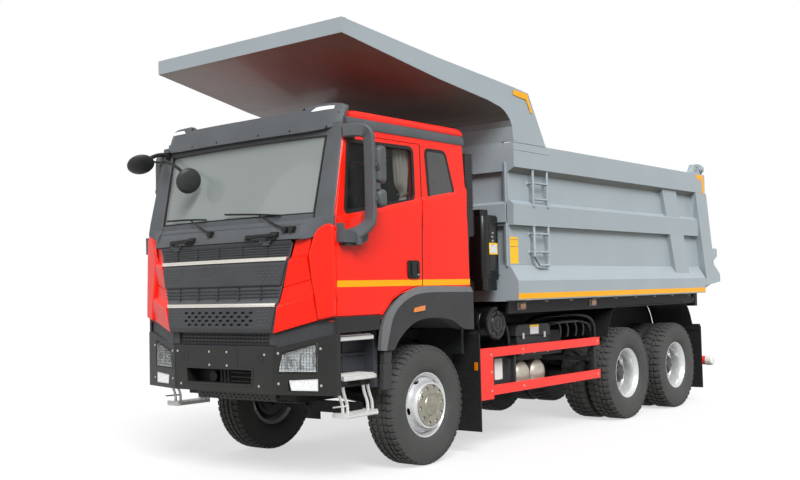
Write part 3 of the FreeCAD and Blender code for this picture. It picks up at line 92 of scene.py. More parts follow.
# %% The workpiece
class Workpiece:
    """Collects faces in a bmesh, in drawing positions, and turns them into one riding piece."""

    def __init__(self, name):
        self.name = name
        self.mesh = bmesh.new()

    def skin(self, rings, closed=True, caps=True):
        """Faces between rings of points; closed rings wrap round, and caps fill both ends."""
        rows = [[self.mesh.verts.new(at(*p)) for p in ring] for ring in rings]
        count = len(rows[0])
        for row, after in zip(rows, rows[1:]):
            for i in range(count if closed else count - 1):
                j = (i + 1) % count
                self.mesh.faces.new((row[i], row[j], after[j], after[i]))
        if caps and closed:
            self.mesh.faces.new(rows[0])
            self.mesh.faces.new(rows[-1])
        return self

    def slab(self, outline, place, low, high):
        """An outline pushed from low to high; place turns (u, v, depth) into a drawing position."""
        return self.skin([[place(u, v, d) for u, v in outline] for d in (low, high)])

    def along_x(self, outline, x0, x1):
        return self.slab(outline, lambda y, z, x: (x, y, z), *sorted((x0, x1)))

    def along_y(self, outline, y0, y1):
        return self.slab(outline, lambda x, z, y: (x, y, z), y0, y1)

    def along_z(self, outline, z0, z1):
        return self.slab(outline, lambda x, y, z: (x, y, z), z0, z1)

    def block(self, x0, x1, y0, y1, z0, z1):
        return self.along_z(rect(*sorted((x0, x1)), y0, y1), z0, z1)

    def boxes(self, side, table):
        """Blocks on one side from a table in millimetres: x0 x1 y0 y1 z0 z1 of each."""
        for x0, x1, *rest in mm(table):
            self.block(side * x0, side * x1, *rest)
        return self

    def turned(self, profile, centre, steps=64, axis="x"):
        """A profile of (along, radius) turned round an axle through centre."""
        x, y, z = centre
        rows = []
        for i in range(steps):
            row = []
            for along, radius in profile:
                c, s = cos(tau * i / steps) * radius, sin(tau * i / steps) * radius
                spot = {"x": (x + along, y + s, z + c), "y": (x + s, y + along, z + c),
                        "z": (x + c, y + s, z + along)}[axis]
                row.append(self.mesh.verts.new(at(*spot)))
            rows.append(row)
        for row, after in zip(rows, rows[1:] + rows[:1]):
            for j in range(len(profile) - 1):
                self.mesh.faces.new((row[j], row[j + 1], after[j + 1], after[j]))
        return self

    def tube(self, path, radius, sides=12, rounds=4):
        """A round bar along a path, its corners eased by a smooth curve through the points."""
        points = [Vector(p) for p in (eased(path, rounds) if rounds else path)]
        rings, across = [], None
        for i, point in enumerate(points):
            ahead = points[min(i + 1, len(points) - 1)] - points[max(i - 1, 0)]
            ahead.normalize()
            if across is None:
                across = ahead.orthogonal().normalized()
            across = (across - ahead * across.dot(ahead)).normalized()
            up = ahead.cross(across)
            rings.append([point + p for p in circle(across, up, radius, sides)])
        return self.skin(rings)

    def bolts(self, places, normal, radius, height):
        """Hexagon heads on a surface, each with a washer."""
        out, across, up = square_to(normal)
        for place in places:
            foot = Vector(place)
            for r, h0, h1, n in ((radius * 1.5, 0, height * 0.3, 16), (radius, height * 0.3, height, 6)):
                ring = circle(across, up, r, n)
                self.skin([[foot + p + out * h0 for p in ring], [foot + p + out * h1 for p in ring]])
        return self

    def finish(self, body, finish, slot, bevel=0.0, smooth=35, segments=2):
        """Makes the object: clean normals, rounded edges, its material and the body it rides on."""
        bmesh.ops.recalc_face_normals(self.mesh, faces=self.mesh.faces)
        data = bpy.data.meshes.new(self.name)
        self.mesh.to_mesh(data)
        self.mesh.free()
        piece = bpy.data.objects.new(self.name, data)
        bpy.context.scene.collection.objects.link(piece)
        data.materials.append(finish)
        if bevel:
            soften(piece, bevel, segments)
        data.shade_smooth()
        data.set_sharp_from_angle(angle=radians(smooth))
        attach(piece, body)
        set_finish(piece, slot)
        return piece


def soften(piece, width, segments, angle=32):
    """Rounds an object's sharp edges without changing its mesh."""
    bevel = piece.modifiers.new("Rounded edges", "BEVEL")
    bevel.width, bevel.segments = width, segments
    bevel.limit_method, bevel.angle_limit = "ANGLE", radians(angle)
    bevel.harden_normals = True
    bevel.use_clamp_overlap = True


def eased(path, rounds):
    """Corner-cutting: each round replaces a corner by two points nearer its middle."""
    points = [Vector(p) for p in path]
    for _ in range(rounds if len(points) > 2 else 0):
        cut = [points[0]]
        for a, b in zip(points, points[1:]):
            cut += [a.lerp(b, 0.25), a.lerp(b, 0.75)]
        points = cut + [points[-1]]
    return points


def grown(outline, amount):
    """A closed outline with every edge moved outwards by amount."""
    count = len(outline)
    turn = sum(outline[i - 1][0] * outline[i][1] - outline[i][0] * outline[i - 1][1] for i in range(count))
    out = amount if turn > 0 else -amount
    result = []
    for i in range(count):
        before, here, after = (Vector(outline[k % count]) for k in (i - 1, i, i + 1))
        u, v = (here - before).normalized(), (after - here).normalized()
        reach = out / (1 + u.dot(v))
        result.append((here.x + (u.y + v.y) * reach, here.y - (u.x + v.x) * reach))
    return result


def square_to(direction):
    """A direction of length one and two more at right angles to it."""
    out = Vector(direction).normalized()
    across = out.orthogonal().normalized()
    return out, across, out.cross(across)


def circle(across, up, radius, count):
    """Offsets round a circle in the plane of two directions."""
    return [(across * cos(tau * k / count) + up * sin(tau * k / count)) * radius for k in range(count)]


def rect(u0, u1, v0, v1):
    """A rectangular outline."""
    return [(u0, v0), (u1, v0), (u1, v1), (u0, v1)]


def mm(points):
    """Points written in millimetres, as on a drawing, and given back in metres."""
    return [tuple(float(number) / 1000 for number in point.split()) for point in points.split(",")]


def sided(side, points):
    """Points in millimetres whose x is counted from the truck's middle to one side."""
    return [(side * x, y, z) for x, y, z in mm(points)]


def beside(side, x):
    """Places (y, z, height) on an upright plane at a distance x from the truck's middle."""
    return lambda y, z, height: (side * (x + height), y, z)


def flat_piece(name, body, finish, slot, outline, place, low, high, bevel=0.0):
    """A piece that is one flat plate, such as a label, a stripe or a lens."""
    return Workpiece(name).slab(outline, place, low, high).finish(body, finish, slot, bevel)


def both(build):
    """Calls build for the left and the right side."""
    return [build(side, name) for side, name in SIDES.items()]


print("workshop ready")

# %% [markdown]
# Two more workshop jobs: cutting one shape out of another, and making the same part again for the
# other side or the next axle.  A cut uses Blender's Boolean modifier once and keeps the result, so
# that no helper object has to follow the part when it moves.

# %% Cutting and repeating
def carve(work, cutter):
    """Cuts the solid of one workpiece out of another."""
    holders = []
    for source in (work, cutter):
        bmesh.ops.recalc_face_normals(source.mesh, faces=source.mesh.faces)
        data = bpy.data.meshes.new("carving")
        source.mesh.to_mesh(data)
        holders.append(bpy.data.objects.new("carving", data))
        bpy.context.scene.collection.objects.link(holders[-1])
    cut = holders[0].modifiers.new("Cut", "BOOLEAN")
    cut.operation, cut.solver, cut.object = "DIFFERENCE", "EXACT", holders[1]
    bpy.context.view_layer.update()
    result = bpy.data.meshes.new_from_object(holders[0].evaluated_get(bpy.context.evaluated_depsgraph_get()))
    work.mesh.clear()
    work.mesh.from_mesh(result)
    for holder in holders:
        bpy.data.objects.remove(holder)
    cutter.mesh.free()
    return work


def repeat(piece, name, body, shift=(0, 0, 0), mirror=False):
    """The same part again, shifted or as its mirror image across the truck's middle."""
    data = piece.data.copy()
    place = Matrix.Translation(shift)
    if mirror:
        place = Matrix.Diagonal((-1, 1, 1, 1)) @ place
    data.transform(place)
    if mirror:
        data.flip_normals()
    copy = bpy.data.objects.new(name, data)
    bpy.context.scene.collection.objects.link(copy)
    for source in piece.modifiers:
        added = copy.modifiers.new(source.name, source.type)
        for key in ("levels", "render_levels", "width", "segments", "limit_method", "angle_limit",
                    "harden_normals"):
            if hasattr(source, key):
                setattr(added, key, getattr(source, key))
    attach(copy, body)
    if "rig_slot" in piece:
        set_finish(copy, piece["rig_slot"])
    return copy


print("cutting and repeating ready")

# %% [markdown]
# Sheet metal and rubber need three more: a flat bar bent along a path, a rounded corner, and a
# frame of rubber or plastic laid round an outline.

# %% Bending, rounding and framing
def strap(work, path, width, depth, flat=(0, 1, 0), rounds=3, corner=0.3):
    """A flat bar along a path: width across it, depth along the direction called flat."""
    points = [Vector(p) for p in (eased(path, rounds) if rounds else path)]
    cut = corner * min(width, depth)
    w, d = width / 2, depth / 2
    section = [(w - cut, -d), (w, -d + cut), (w, d - cut), (w - cut, d), (-w + cut, d), (-w, d - cut),
               (-w, -d + cut), (-w + cut, -d)]
    rings = []
    for i, point in enumerate(points):
        ahead = (points[min(i + 1, len(points) - 1)] - points[max(i - 1, 0)]).normalized()
        deep = Vector(flat)
        deep = (deep - ahead * ahead.dot(deep)).normalized()
        across = ahead.cross(deep)
        rings.append([point + across * a + deep * b for a, b in section])
    return work.skin(rings)


ARC_STEPS = 5


def rounded(outline, radius):
    """A closed outline with its corners replaced by arcs."""
    count, result = len(outline), []
    for i in range(count):
        before, here, after = (Vector(outline[k % count]) for k in (i - 1, i, i + 1))
        reach = min(radius, 0.45 * (here - before).length, 0.45 * (after - here).length)
        a, b = here + (before - here).normalized() * reach, here + (after - here).normalized() * reach
        for t in stations(0, 1, ARC_STEPS + 1):
            point = a * (1 - t) ** 2 + here * 2 * t * (1 - t) + b * t ** 2
            result.append((point.x, point.y))
    return result


def gasket(work, outline, inner, outer, place, low, high):
    """A frame round a closed outline, from inner to outer beyond it and from low to high."""
    rings = []
    for (iu, iv), (ou, ov) in zip(grown(outline, inner), grown(outline, outer)):
        rings.append([place(ou, ov, low), place(ou, ov, high), place(iu, iv, high), place(iu, iv, low)])
    return work.skin(rings + rings[:1], caps=False)


def curve(x, points):
    """The height at x of a line through the points."""
    points = sorted(points)
    if x <= points[0][0]:
        return points[0][1]
    for (x0, y0), (x1, y1) in zip(points, points[1:]):
        if x <= x1:
            return y0 + (y1 - y0) * (x - x0) / (x1 - x0)
    return points[-1][1]


def stations(start, end, count):
    return [start + (end - start) * i / (count - 1) for i in range(count)]


print("bending ready")

# %% [markdown]
# ## Finishes
#
# A finish is a small tree of shader nodes.  Writing such trees by hand hides the idea behind
# wiring, so two short classes help.  `Value` wraps one socket, and plain arithmetic on it adds Math
# nodes.  `Finish` makes any other node from its type, its settings and its inputs, and ends in one
# Principled shader.  Every pattern is worked out from object coordinates, which are metres on the
# truck, so a speck of dust has the same size on every piece.

# %% The value and finish classes
class Value:
    """A shader socket that + - * / and powers work on."""

    def __init__(self, finish, socket):
        self.finish, self.socket = finish, socket

    def _math(self, operation, first, second):
        return self.finish.node("Math", {"operation": operation}, {0: first, 1: second})

    def __add__(self, other):
        return self._math("ADD", self, other)

    def __sub__(self, other):
        return self._math("SUBTRACT", self, other)

    def __rsub__(self, other):
        return self._math("SUBTRACT", other, self)

    def __mul__(self, other):
        return self._math("MULTIPLY", self, other)

    def most(self, other):
        return self._math("MAXIMUM", self, other)

    def least(self, other):
        return self._math("MINIMUM", self, other)

    def above(self, level, soft=0.01):
        """0 below the level and 1 above it, with a soft step between."""
        return self.finish.node("MapRange", {"interpolation_type": "SMOOTHSTEP"},
                                {"Value": self, "From Min": level - soft, "From Max": level + soft})

    __radd__, __rmul__ = __add__, __mul__


class Tree:
    """A node tree that grows by one method."""

    def __init__(self, owner):
        owner.use_nodes = True
        self.tree = owner.node_tree

    def node(self, kind, settings=None, inputs=None, out=0):
        """Makes a node: its settings first, then the values or links of its sockets."""
        made = self.tree.nodes.new("ShaderNode" + kind)
        for key, value in (settings or {}).items():
            if key == "stops":
                ramp = made.color_ramp
                while len(ramp.elements) < len(value):
                    ramp.elements.new(1.0)
                for element, (position, colour) in zip(ramp.elements, value):
                    element.position, element.color = position, colour
            else:
                setattr(made, key, value)
        for key, value in (inputs or {}).items():
            if isinstance(value, Value):
                self.tree.links.new(value.socket, made.inputs[key])
            else:
                made.inputs[key].default_value = value
        return Value(self, made.outputs[out])


class Finish(Tree):
    """A material built round one Principled shader."""

    def __init__(self, name, **constants):
        self.material = bpy.data.materials.new(name)
        super().__init__(self.material)
        self.shader = self.tree.nodes["Principled BSDF"]
        self.output = self.tree.nodes["Material Output"]
        for key, value in constants.items():
            self.shader.inputs[key.replace("_", " ")].default_value = value
        self.place = self.node("TexCoord", out="Object")

    def noise(self, scale, detail=3.0, roughness=0.55, stretch=(1, 1, 1)):
        """Soft random spots, about 1 / scale metres across, from 0 to 1."""
        place = self.node("VectorMath", {"operation": "MULTIPLY"}, {0: self.place, 1: stretch}, "Vector")
        return self.node("TexNoise", {}, {"Vector": place, "Scale": scale, "Detail": detail,
                                          "Roughness": roughness}, "Fac")

    def cells(self, scale):
        """Rounded cells, about 1 / scale metres across: the distance from the nearest middle."""
        place = self.node("VectorMath", {"operation": "MULTIPLY"}, {0: self.place, 1: (1, 1, 1)}, "Vector")
        return self.node("TexVoronoi", {"feature": "F1"}, {"Vector": place, "Scale": scale}, "Distance")

    def axis(self, letter):
        """The object coordinate along x, y or z, in metres."""
        return self.node("SeparateXYZ", {}, {0: self.place}, letter.upper())

    def blend(self, share, first, second):
        """Colour first where share is 0 and second where it is 1."""
        return self.node("Mix", {"data_type": "RGBA"}, {0: share, 6: first, 7: second}, 2)

    def bump(self, height, strength=0.3, distance=0.002):
        value = self.node("Bump", {}, {"Height": height, "Strength": strength, "Distance": distance})
        return self.set(Normal=value)

    def set(self, **sockets):
        for key, value in sockets.items():
            self.tree.links.new(value.socket, self.shader.inputs[key.replace("_", " ")])
        return self


def rgb(red, green, blue):
    """A colour as a screen shows it, from 0 to 255, turned into the linear light that shaders use."""
    return tuple((c / 255 / 12.92 if c <= 10 else ((c / 255 + 0.055) / 1.055) ** 2.4)
                 for c in (red, green, blue)) + (1.0,)


print("finish classes ready")

# %% [markdown]
# ### Paint
#
# The cab wears a glossy orange red and the bed a satin grey.  Sprayed paint is never one flat
# colour: it has a faint orange-peel ripple, cloudy thin places, and dust that settles low down.
# One recipe gives all the paints, with its own colour, gloss and amount of dust.

# %% Paint
DUST = rgb(150, 142, 130)


def painted(name, colour, shade, roughness=0.35, coat=0.0, dust=0.1, peel=0.05, dust_top=1.2, underside=None):
    paint = Finish(name, Coat_Weight=coat, Coat_Roughness=0.08, Specular_IOR_Level=0.3)
    clouds = paint.noise(1.7, 4.0)
    grit = paint.noise(38.0, 6.0, 0.65)
    low = 1.0 - paint.axis("z").above(dust_top * 0.5, dust_top * 0.5)
    settled = (low * 0.8 + 0.2) * grit.above(0.52, 0.14) * dust
    tone = paint.blend(clouds.above(0.5, 0.25) * 0.6, colour, shade)
    # Faces that point down blend towards the underside colour: painted shade under the canopy, sills and
    # ledges.
    if underside:
        facing = paint.node("SeparateXYZ", {}, {0: paint.node("TexCoord", out="Normal")}, "Z")
        tone = paint.blend((0.0 - facing).above(0.55, 0.3) * (clouds * 0.4 + 0.7).least(1.0), tone, underside)
    ripple = paint.noise(220.0, 2.0) + paint.noise(14.0, 2.0) * 0.6
    paint.set(Base_Color=paint.blend(settled, tone, DUST),
              Roughness=settled * 0.5 + grit * 0.08 + (roughness - 0.04))
    return paint.bump(ripple, peel, 0.001).material


cab_red = painted("cab_red_gloss", rgb(255, 34, 8), rgb(248, 28, 7), 0.36, 0.1, 0.03, 0.03)
guard_red = painted("guard_red_gloss", rgb(255, 54, 44), rgb(246, 46, 38), 0.38, 0.1, 0.06, 0.05)
# The bed's grey gets a darker brownish grey on faces that point down, as painted shade.
bed_grey = painted("bed_grey_satin", rgb(161, 172, 178), rgb(153, 164, 171), 0.42, 0.12, 0.08, 0.1, 2.4,
                   rgb(100, 98, 88))
frame_black = painted("frame_black_satin", rgb(20, 21, 23), rgb(15, 16, 18), 0.5, 0.0, 0.22, 0.12)
box_black = painted("box_black_gloss", rgb(10, 12, 11), rgb(7, 8, 8), 0.3, 0.12, 0.04, 0.05)
hub_black = painted("hub_black_oiled", rgb(58, 60, 62), rgb(46, 48, 50), 0.42, 0.05, 0.1, 0.12)
# Near-black: the real black of the wheel-housing liners, and painted shade on the bed's underframe.
liner_black_and_underbed_shade = painted("underbody_black", rgb(26, 31, 29), rgb(19, 23, 22), 0.6, 0.0, 0.1, 0.12)
bumper_black = painted("bumper_black_satin", rgb(27, 28, 27), rgb(23, 24, 24), 0.48, 0.06, 0.06, 0.1)
white_paint = painted("white_paint", rgb(236, 236, 232), rgb(222, 222, 218), 0.4, 0.2, 0.12, 0.06)
print("paints", [m.name for m in bpy.data.materials])

# %% [markdown]
# ### Moulded plastic, rubber and cast iron
#
# The visor, pillars, cowl and fenders are grained grey plastic.  A real mould is etched with tiny
# dimples, so Voronoi cells a millimetre or two across make the bump.  Tyre rubber is duller, with
# fine mould lines round it and a bloom of dry dust, and castings are coarse and pitted.

# %% Plastic, rubber and castings
def moulded(name, colour, shade, roughness=0.55, grain=700.0, depth=0.18, dust=0.06):
    plastic = Finish(name, Specular_IOR_Level=0.3)
    dimples = plastic.cells(grain)
    clouds = plastic.noise(3.0, 5.0)
    grit = plastic.noise(60.0, 5.0)
    settled = grit.above(0.55, 0.15) * dust
    tone = plastic.blend(clouds.above(0.5, 0.2), colour, shade)
    plastic.set(Base_Color=plastic.blend(settled, tone, DUST), Roughness=clouds * 0.12 + (roughness - 0.06))
    return plastic.bump(dimples, depth, 0.0006).material


trim_grey = moulded("trim_grey_grained", rgb(84, 88, 92), rgb(78, 82, 86), 0.52, dust=0.04)
ledge_grey = moulded("ledge_grey_grained", rgb(52, 55, 59), rgb(47, 50, 54), 0.52, dust=0.04)
fender_grey = moulded("fender_grey_grained", rgb(54, 55, 57), rgb(49, 50, 52), 0.56, dust=0.04)
grille_black = moulded("grille_black", rgb(60, 62, 66), rgb(54, 56, 60), 0.48, 500.0, 0.08, 0.05)
seal_rubber = moulded("seal_rubber", rgb(20, 21, 22), rgb(15, 16, 17), 0.62, 300.0, 0.08, 0.05)
dash_plastic = moulded("dash_plastic", rgb(58, 58, 60), rgb(48, 48, 50), 0.6, 450.0, 0.25, 0.05)
flap_rubber = moulded("flap_rubber", rgb(20, 21, 23), rgb(16, 17, 18), 0.66, 160.0, 0.2, 0.05)
# A lighter copy of the fender grey: a painted highlight for the fender's upward-facing chamfer.
rim_grey = moulded("fender_rim_grey", rgb(104, 106, 109), rgb(96, 98, 101), 0.5, dust=0.05)
step_black = moulded("step_recess_black", rgb(44, 45, 48), rgb(38, 39, 42), 0.55, dust=0.04)
recess_grey = moulded("step_recess_grey", rgb(66, 68, 74), rgb(60, 62, 68), 0.55, dust=0.04)
mirror_shell = moulded("mirror_shell_grey", rgb(84, 87, 90), rgb(76, 79, 82), 0.42, dust=0.05)
lamp_base = moulded("lamp_base_grey", rgb(140, 144, 146), rgb(130, 134, 136), 0.42, dust=0.05)
mirror_shell_dark = moulded("round_mirror_black", rgb(52, 54, 56), rgb(44, 46, 48), 0.4, dust=0.05)
cast_black = moulded("cast_iron_black", rgb(26, 26, 27), rgb(20, 20, 21), 0.6, 120.0, 0.5, 0.12)


def tyre_finish():
    rubber = Finish("tyre_rubber", Specular_IOR_Level=0.35)
    grit = rubber.noise(45.0, 6.0, 0.7)
    bloom = rubber.noise(4.5, 4.0)
    pores = rubber.cells(260.0)
    worn = grit.above(0.5, 0.2) * 0.22 + bloom.above(0.45, 0.3) * 0.25
    rubber.set(Base_Color=rubber.blend(worn, rgb(60, 61, 62), rgb(90, 89, 86)), Roughness=grit * 0.2 + 0.62)
    return rubber.bump(pores + grit * 2.0, 0.25, 0.0008).material


tyre_rubber = tyre_finish()
print("plastics and rubber", len(bpy.data.materials))

# %% [markdown]
# ### Metal, glass and cloth
#
# Wheels are silver lacquer over pressed steel, the grille strips are polished, and the steps and
# air tanks are brushed aluminium, whose fine lines come from noise stretched along one axis.
# Automotive glass lets light through but mirrors the sky, so a dark shader is mixed with a clear
# one, and the windscreen's shader is light grey as a painted reflection of the sky.  Seat cloth has a
# woven bump made of two crossed waves.

# %% Metal
def metal(name, colour, shade, roughness=0.3, metallic=1.0, grain=(1, 1, 1), lines=60.0, depth=0.1,
          grime=0.1):
    steel = Finish(name)
    brushed = steel.noise(lines, 4.0, 0.6, grain)
    spots = steel.noise(16.0, 5.0)
    dirt = spots.above(0.56, 0.12) * grime
    steel.set(Base_Color=steel.blend(dirt, steel.blend(brushed, colour, shade), rgb(96, 90, 80)),
              Roughness=brushed * 0.12 + dirt + (roughness - 0.06), Metallic=(1.0 - dirt) * metallic)
    return steel.bump(brushed, depth, 0.0006).material


wheel_silver = metal("wheel_silver_lacquer", rgb(216, 218, 219), rgb(204, 206, 207), 0.28, 0.5, lines=240.0,
                     depth=0.012, grime=0.03)
hub_metal = metal("machined_hub", rgb(164, 161, 148), rgb(140, 138, 126), 0.3, 0.85, (1, 14, 14), 60.0, 0.1,
                  0.3)
lamp_chrome = metal("lamp_reflector", rgb(246, 248, 250), rgb(236, 238, 241), 0.22, 0.2, lines=6.0,
                    depth=0.01, grime=0.0)
polished = metal("polished_trim", rgb(226, 222, 214), rgb(210, 206, 198), 0.14, 1.0, (1, 40, 40), 20.0, 0.03,
                 0.04)
aluminium = metal("brushed_aluminium", rgb(226, 227, 226), rgb(206, 207, 206), 0.38, 0.35, (1, 30, 30), 24.0,
                  0.1, 0.08)
tank_metal = metal("tank_aluminium_satin", rgb(196, 190, 178), rgb(176, 170, 158), 0.38, 0.6, lines=90.0,
                   depth=0.06, grime=0.12)
ram_steel = metal("hard_chromed_ram", rgb(190, 192, 196), rgb(170, 172, 176), 0.16, 1.0, (30, 1, 1), 30.0,
                  0.05, 0.15)
bolt_steel = metal("zinc_bolts", rgb(206, 205, 198), rgb(176, 174, 166), 0.34, 0.7, lines=300.0, depth=0.06,
                   grime=0.12)
mirror_face = metal("mirror_face", rgb(196, 202, 206), rgb(190, 196, 200), 0.06, 1.0, lines=4.0, depth=0.0,
                    grime=0.03)


# %% Glass, lenses and reflectors
def glazing(name, tint, clear_share, roughness=0.02, dust=0.06, gloss=1.0):
    """Clear where light passes, tinted and mirror-like where it does not; the windscreen's light grey tint is
    a painted reflection of the sky.
    """
    pane = Finish(name, Specular_IOR_Level=0.8 * gloss, Coat_Weight=gloss, Coat_Roughness=0.02)
    haze = pane.noise(7.0, 4.0)
    pane.set(Base_Color=pane.blend(haze.above(0.55, 0.2) * dust, tint, DUST),
             Roughness=haze * 0.05 + roughness)
    clear = pane.node("BsdfTransparent", {}, {"Color": tuple(0.75 + 0.25 * c for c in tint[:3]) + (1.0,)})
    edge = pane.node("LayerWeight", {}, {"Blend": 0.35}, "Facing")
    solid = (edge * (1.0 - clear_share) + (1.0 - clear_share)).least(1.0)
    mix = pane.node("MixShader", {}, {0: solid, 1: clear, 2: Value(pane, pane.shader.outputs[0])})
    pane.tree.links.new(mix.socket, pane.output.inputs["Surface"])
    return pane.material


# The windscreen's light grey colour is a painted reflection of the sky.
screen_glass_painted_sky = glazing("windscreen_glass", rgb(146, 154, 153), 0.34, 0.12, 0.03, 0.25)
side_glass = glazing("side_glass", rgb(70, 76, 76), 0.9, 0.02, 0.03, 0.5)
dark_glass = glazing("privacy_glass", rgb(60, 62, 62), 0.1, 0.03, 0.05, 0.35)
lamp_glass = glazing("lamp_lens", rgb(235, 240, 242), 0.8, 0.03, 0.1)


def lens(name, colour, glow=0.0):
    """Coloured plastic with moulded prisms behind it."""
    plastic = Finish(name, Coat_Weight=0.8, Coat_Roughness=0.05, Emission_Strength=glow)
    prisms = plastic.cells(150.0)
    tone = plastic.blend(prisms, colour, tuple(0.45 * c for c in colour[:3]) + (1.0,))
    plastic.set(Base_Color=tone, Emission_Color=tone, Roughness=prisms * 0.2 + 0.12)
    return plastic.bump(prisms, 0.4, 0.001).material


amber_lens = lens("amber_lens", rgb(255, 140, 0), 0.05)
red_lens = lens("red_lens", rgb(190, 20, 14), 0.05)
white_lens = lens("white_lens", rgb(246, 248, 250), 0.35)
amber_tape = painted("amber_tape", rgb(255, 178, 0), rgb(250, 172, 0), 0.4, 0.0, 0.02, 0.02)
yellow_label = painted("yellow_label", rgb(250, 200, 30), rgb(244, 192, 26), 0.4, 0.05, 0.03, 0.02)
pale_label = painted("pale_label", rgb(222, 224, 228), rgb(212, 214, 218), 0.4, 0.05, 0.03, 0.02)


# %% Cloth
def woven(name, colour, shade, threads=900.0, depth=0.5):
    cloth = Finish(name, Sheen_Weight=0.3, Sheen_Roughness=0.5, Specular_IOR_Level=0.2)
    warp = cloth.node("TexWave", {"bands_direction": "X"},
                      {"Vector": cloth.place, "Scale": threads, "Distortion": 0.6}, "Fac")
    weft = cloth.node("TexWave", {"bands_direction": "Z"},
                      {"Vector": cloth.place, "Scale": threads, "Distortion": 0.6}, "Fac")
    fade = cloth.noise(5.0, 4.0)
    cloth.set(Base_Color=cloth.blend(fade.above(0.5, 0.25) * 0.7 + warp * weft * 0.3, colour, shade),
              Roughness=fade * 0.1 + 0.8)
    return cloth.bump(warp * weft, depth, 0.0008).material


seat_cloth = woven("seat_cloth", rgb(70, 70, 74), rgb(50, 50, 54), 160.0)
curtain_cloth = woven("curtain_cloth", rgb(238, 236, 226), rgb(216, 214, 204), 260.0, 0.25)
lining_felt = woven("lining_felt", rgb(120, 116, 108), rgb(100, 97, 92), 90.0)
print("finishes made", len(bpy.data.materials))

# %% [markdown]
# ## Tyres
#
# A truck tyre is a smooth turned carcass with separate rubber blocks standing on it.  A texture
# could fake the blocks, but their silhouette shows against the ground, so each one is real: a small
# outline wrapped round the carcass, with a chamfered top.  The steering tyres carry ribs with
# slotted shoulders, and the driven tyres carry deep, angular lugs.

# %% Tyre shapes
TYRE_HALF = 0.155
TREAD_DEPTH = 0.016
side_profile = mm("60 260, 98 290.5, 117 305.5, 131 322, 137 335, 139.5 337, 141.5 343, 142.5 352, "
                  "145.5 354, 149 370, 153.5 400, 155 430, 154.2 462, 151.8 476, 152.8 479, 150.5 488, "
                  "149 497, 147 512, 142 530, 134 541")
carcass = side_profile + [(x, TYRE_R - TREAD_DEPTH) for x in (0.11, 0.06, 0, -0.06, -0.11)]
carcass += [(-x, r) for x, r in reversed(side_profile)]


def crown(x):
    """Outer radius of the tread at a distance x from its middle."""
    return TYRE_R - 0.0005 - 0.34 * max(0.0, abs(x) - 0.06) ** 2 - (6.0 * max(0.0, abs(x) - 0.128) ** 1.5)


def tread_blocks(tyre, centre, count, outlines):
    """Blocks round the tyre; an outline is (x, share of the pitch) pairs."""
    pitch = tau / count
    for i in range(count):
        for outline in outlines:
            middle_x = sum(x for x, _ in outline) / len(outline)
            middle_s = sum(s for _, s in outline) / len(outline)
            rings = []
            for sink, shrink in ((TREAD_DEPTH + 0.004, 1.0), (0.0025, 0.97), (0.0, 0.9)):
                ring = []
                for x, s in outline:
                    x, s = middle_x + (x - middle_x) * shrink, middle_s + (s - middle_s) * shrink
                    angle, radius = (i + s) * pitch, crown(x) - sink
                    ring.append((centre[0] + x, centre[1] + sin(angle) * radius,
                                 centre[2] + cos(angle) * radius))
                rings.append(ring)
            tyre.skin(rings)


def flipped(outlines):
    return [[(-x, s + 0.5) for x, s in outline] for outline in outlines]


steer_shoulder = [[(0.098, 0.06), (0.122, 0.02), (0.15, 0.04), (0.15, 0.7), (0.124, 0.74), (0.098, 0.88),
                   (0.091, 0.47)]]
steer_ribs = [[(0.048, 0.04), (0.08, 0.1), (0.086, 0.5), (0.08, 0.93), (0.048, 0.9), (0.042, 0.48)],
              [(-0.02, 0.03), (0.024, 0.03), (0.032, 0.48), (0.026, 0.94), (-0.018, 0.94), (-0.01, 0.48)],
              [(-0.086, 0.05), (-0.052, 0.0), (-0.044, 0.48), (-0.052, 0.86), (-0.084, 0.92), (-0.08, 0.46)]]
drive_shoulder = [[(0.072, 0.1), (0.1, 0.02), (0.151, 0.06), (0.151, 0.6), (0.108, 0.66), (0.092, 0.8),
                   (0.062, 0.72)]]
drive_blocks = [[(0.008, 0.1), (0.048, -0.06), (0.056, 0.3), (0.048, 0.66), (0.03, 0.78), (0.008, 0.74),
                 (0.016, 0.44)],
                [(-0.05, 0.42), (-0.012, 0.3), (0.0, 0.6), (-0.006, 1.0), (-0.04, 1.16), (-0.056, 0.86)]]


def carve_tyre(name, centres, count, shoulder, middle, body):
    tyre = Workpiece(name)
    for centre in centres:
        tyre.turned(carcass, centre, 96)
        tread_blocks(tyre, centre, count, shoulder + flipped(shoulder) + middle)
    return tyre.finish(body, tyre_rubber, "tyre_rubber", smooth=28)


FRONT_X = sum(v.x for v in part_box("front_tyre_left")) / 2
low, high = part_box("twin_tyres_rear_1_left")
TWIN_OUTER_X, TWIN_INNER_X = high.x - TYRE_HALF, low.x + TYRE_HALF
steer_tyre = carve_tyre("steer_tyre_left", [(FRONT_X, 0, TYRE_R)], 52, steer_shoulder, steer_ribs,
                        "front_wheel_left")
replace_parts(steer_tyre, "front_tyre_left")
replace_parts(repeat(steer_tyre, "steer_tyre_right", "front_wheel_right", mirror=True), "front_tyre_right")
twins = [(x, REAR_AXLES[0], TYRE_R) for x in (TWIN_OUTER_X, TWIN_INNER_X)]
drive_tyres = carve_tyre("drive_tyres_1_left", twins, 42, drive_shoulder, drive_blocks, "rear_wheels_1_left")
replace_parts(drive_tyres, "twin_tyres_rear_1_left")
BOGIE = REAR_AXLES[1] - REAR_AXLES[0]
OTHER_TWINS = (("1_right", 0, True), ("2_left", BOGIE, False), ("2_right", BOGIE, True))
for label, shift, mirror in OTHER_TWINS:
    copy = repeat(drive_tyres, "drive_tyres_" + label, "rear_wheels_" + label, (0, shift, 0), mirror)
    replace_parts(copy, "twin_tyres_rear_" + label)
print("tyre faces", len(steer_tyre.data.polygons), len(drive_tyres.data.polygons))

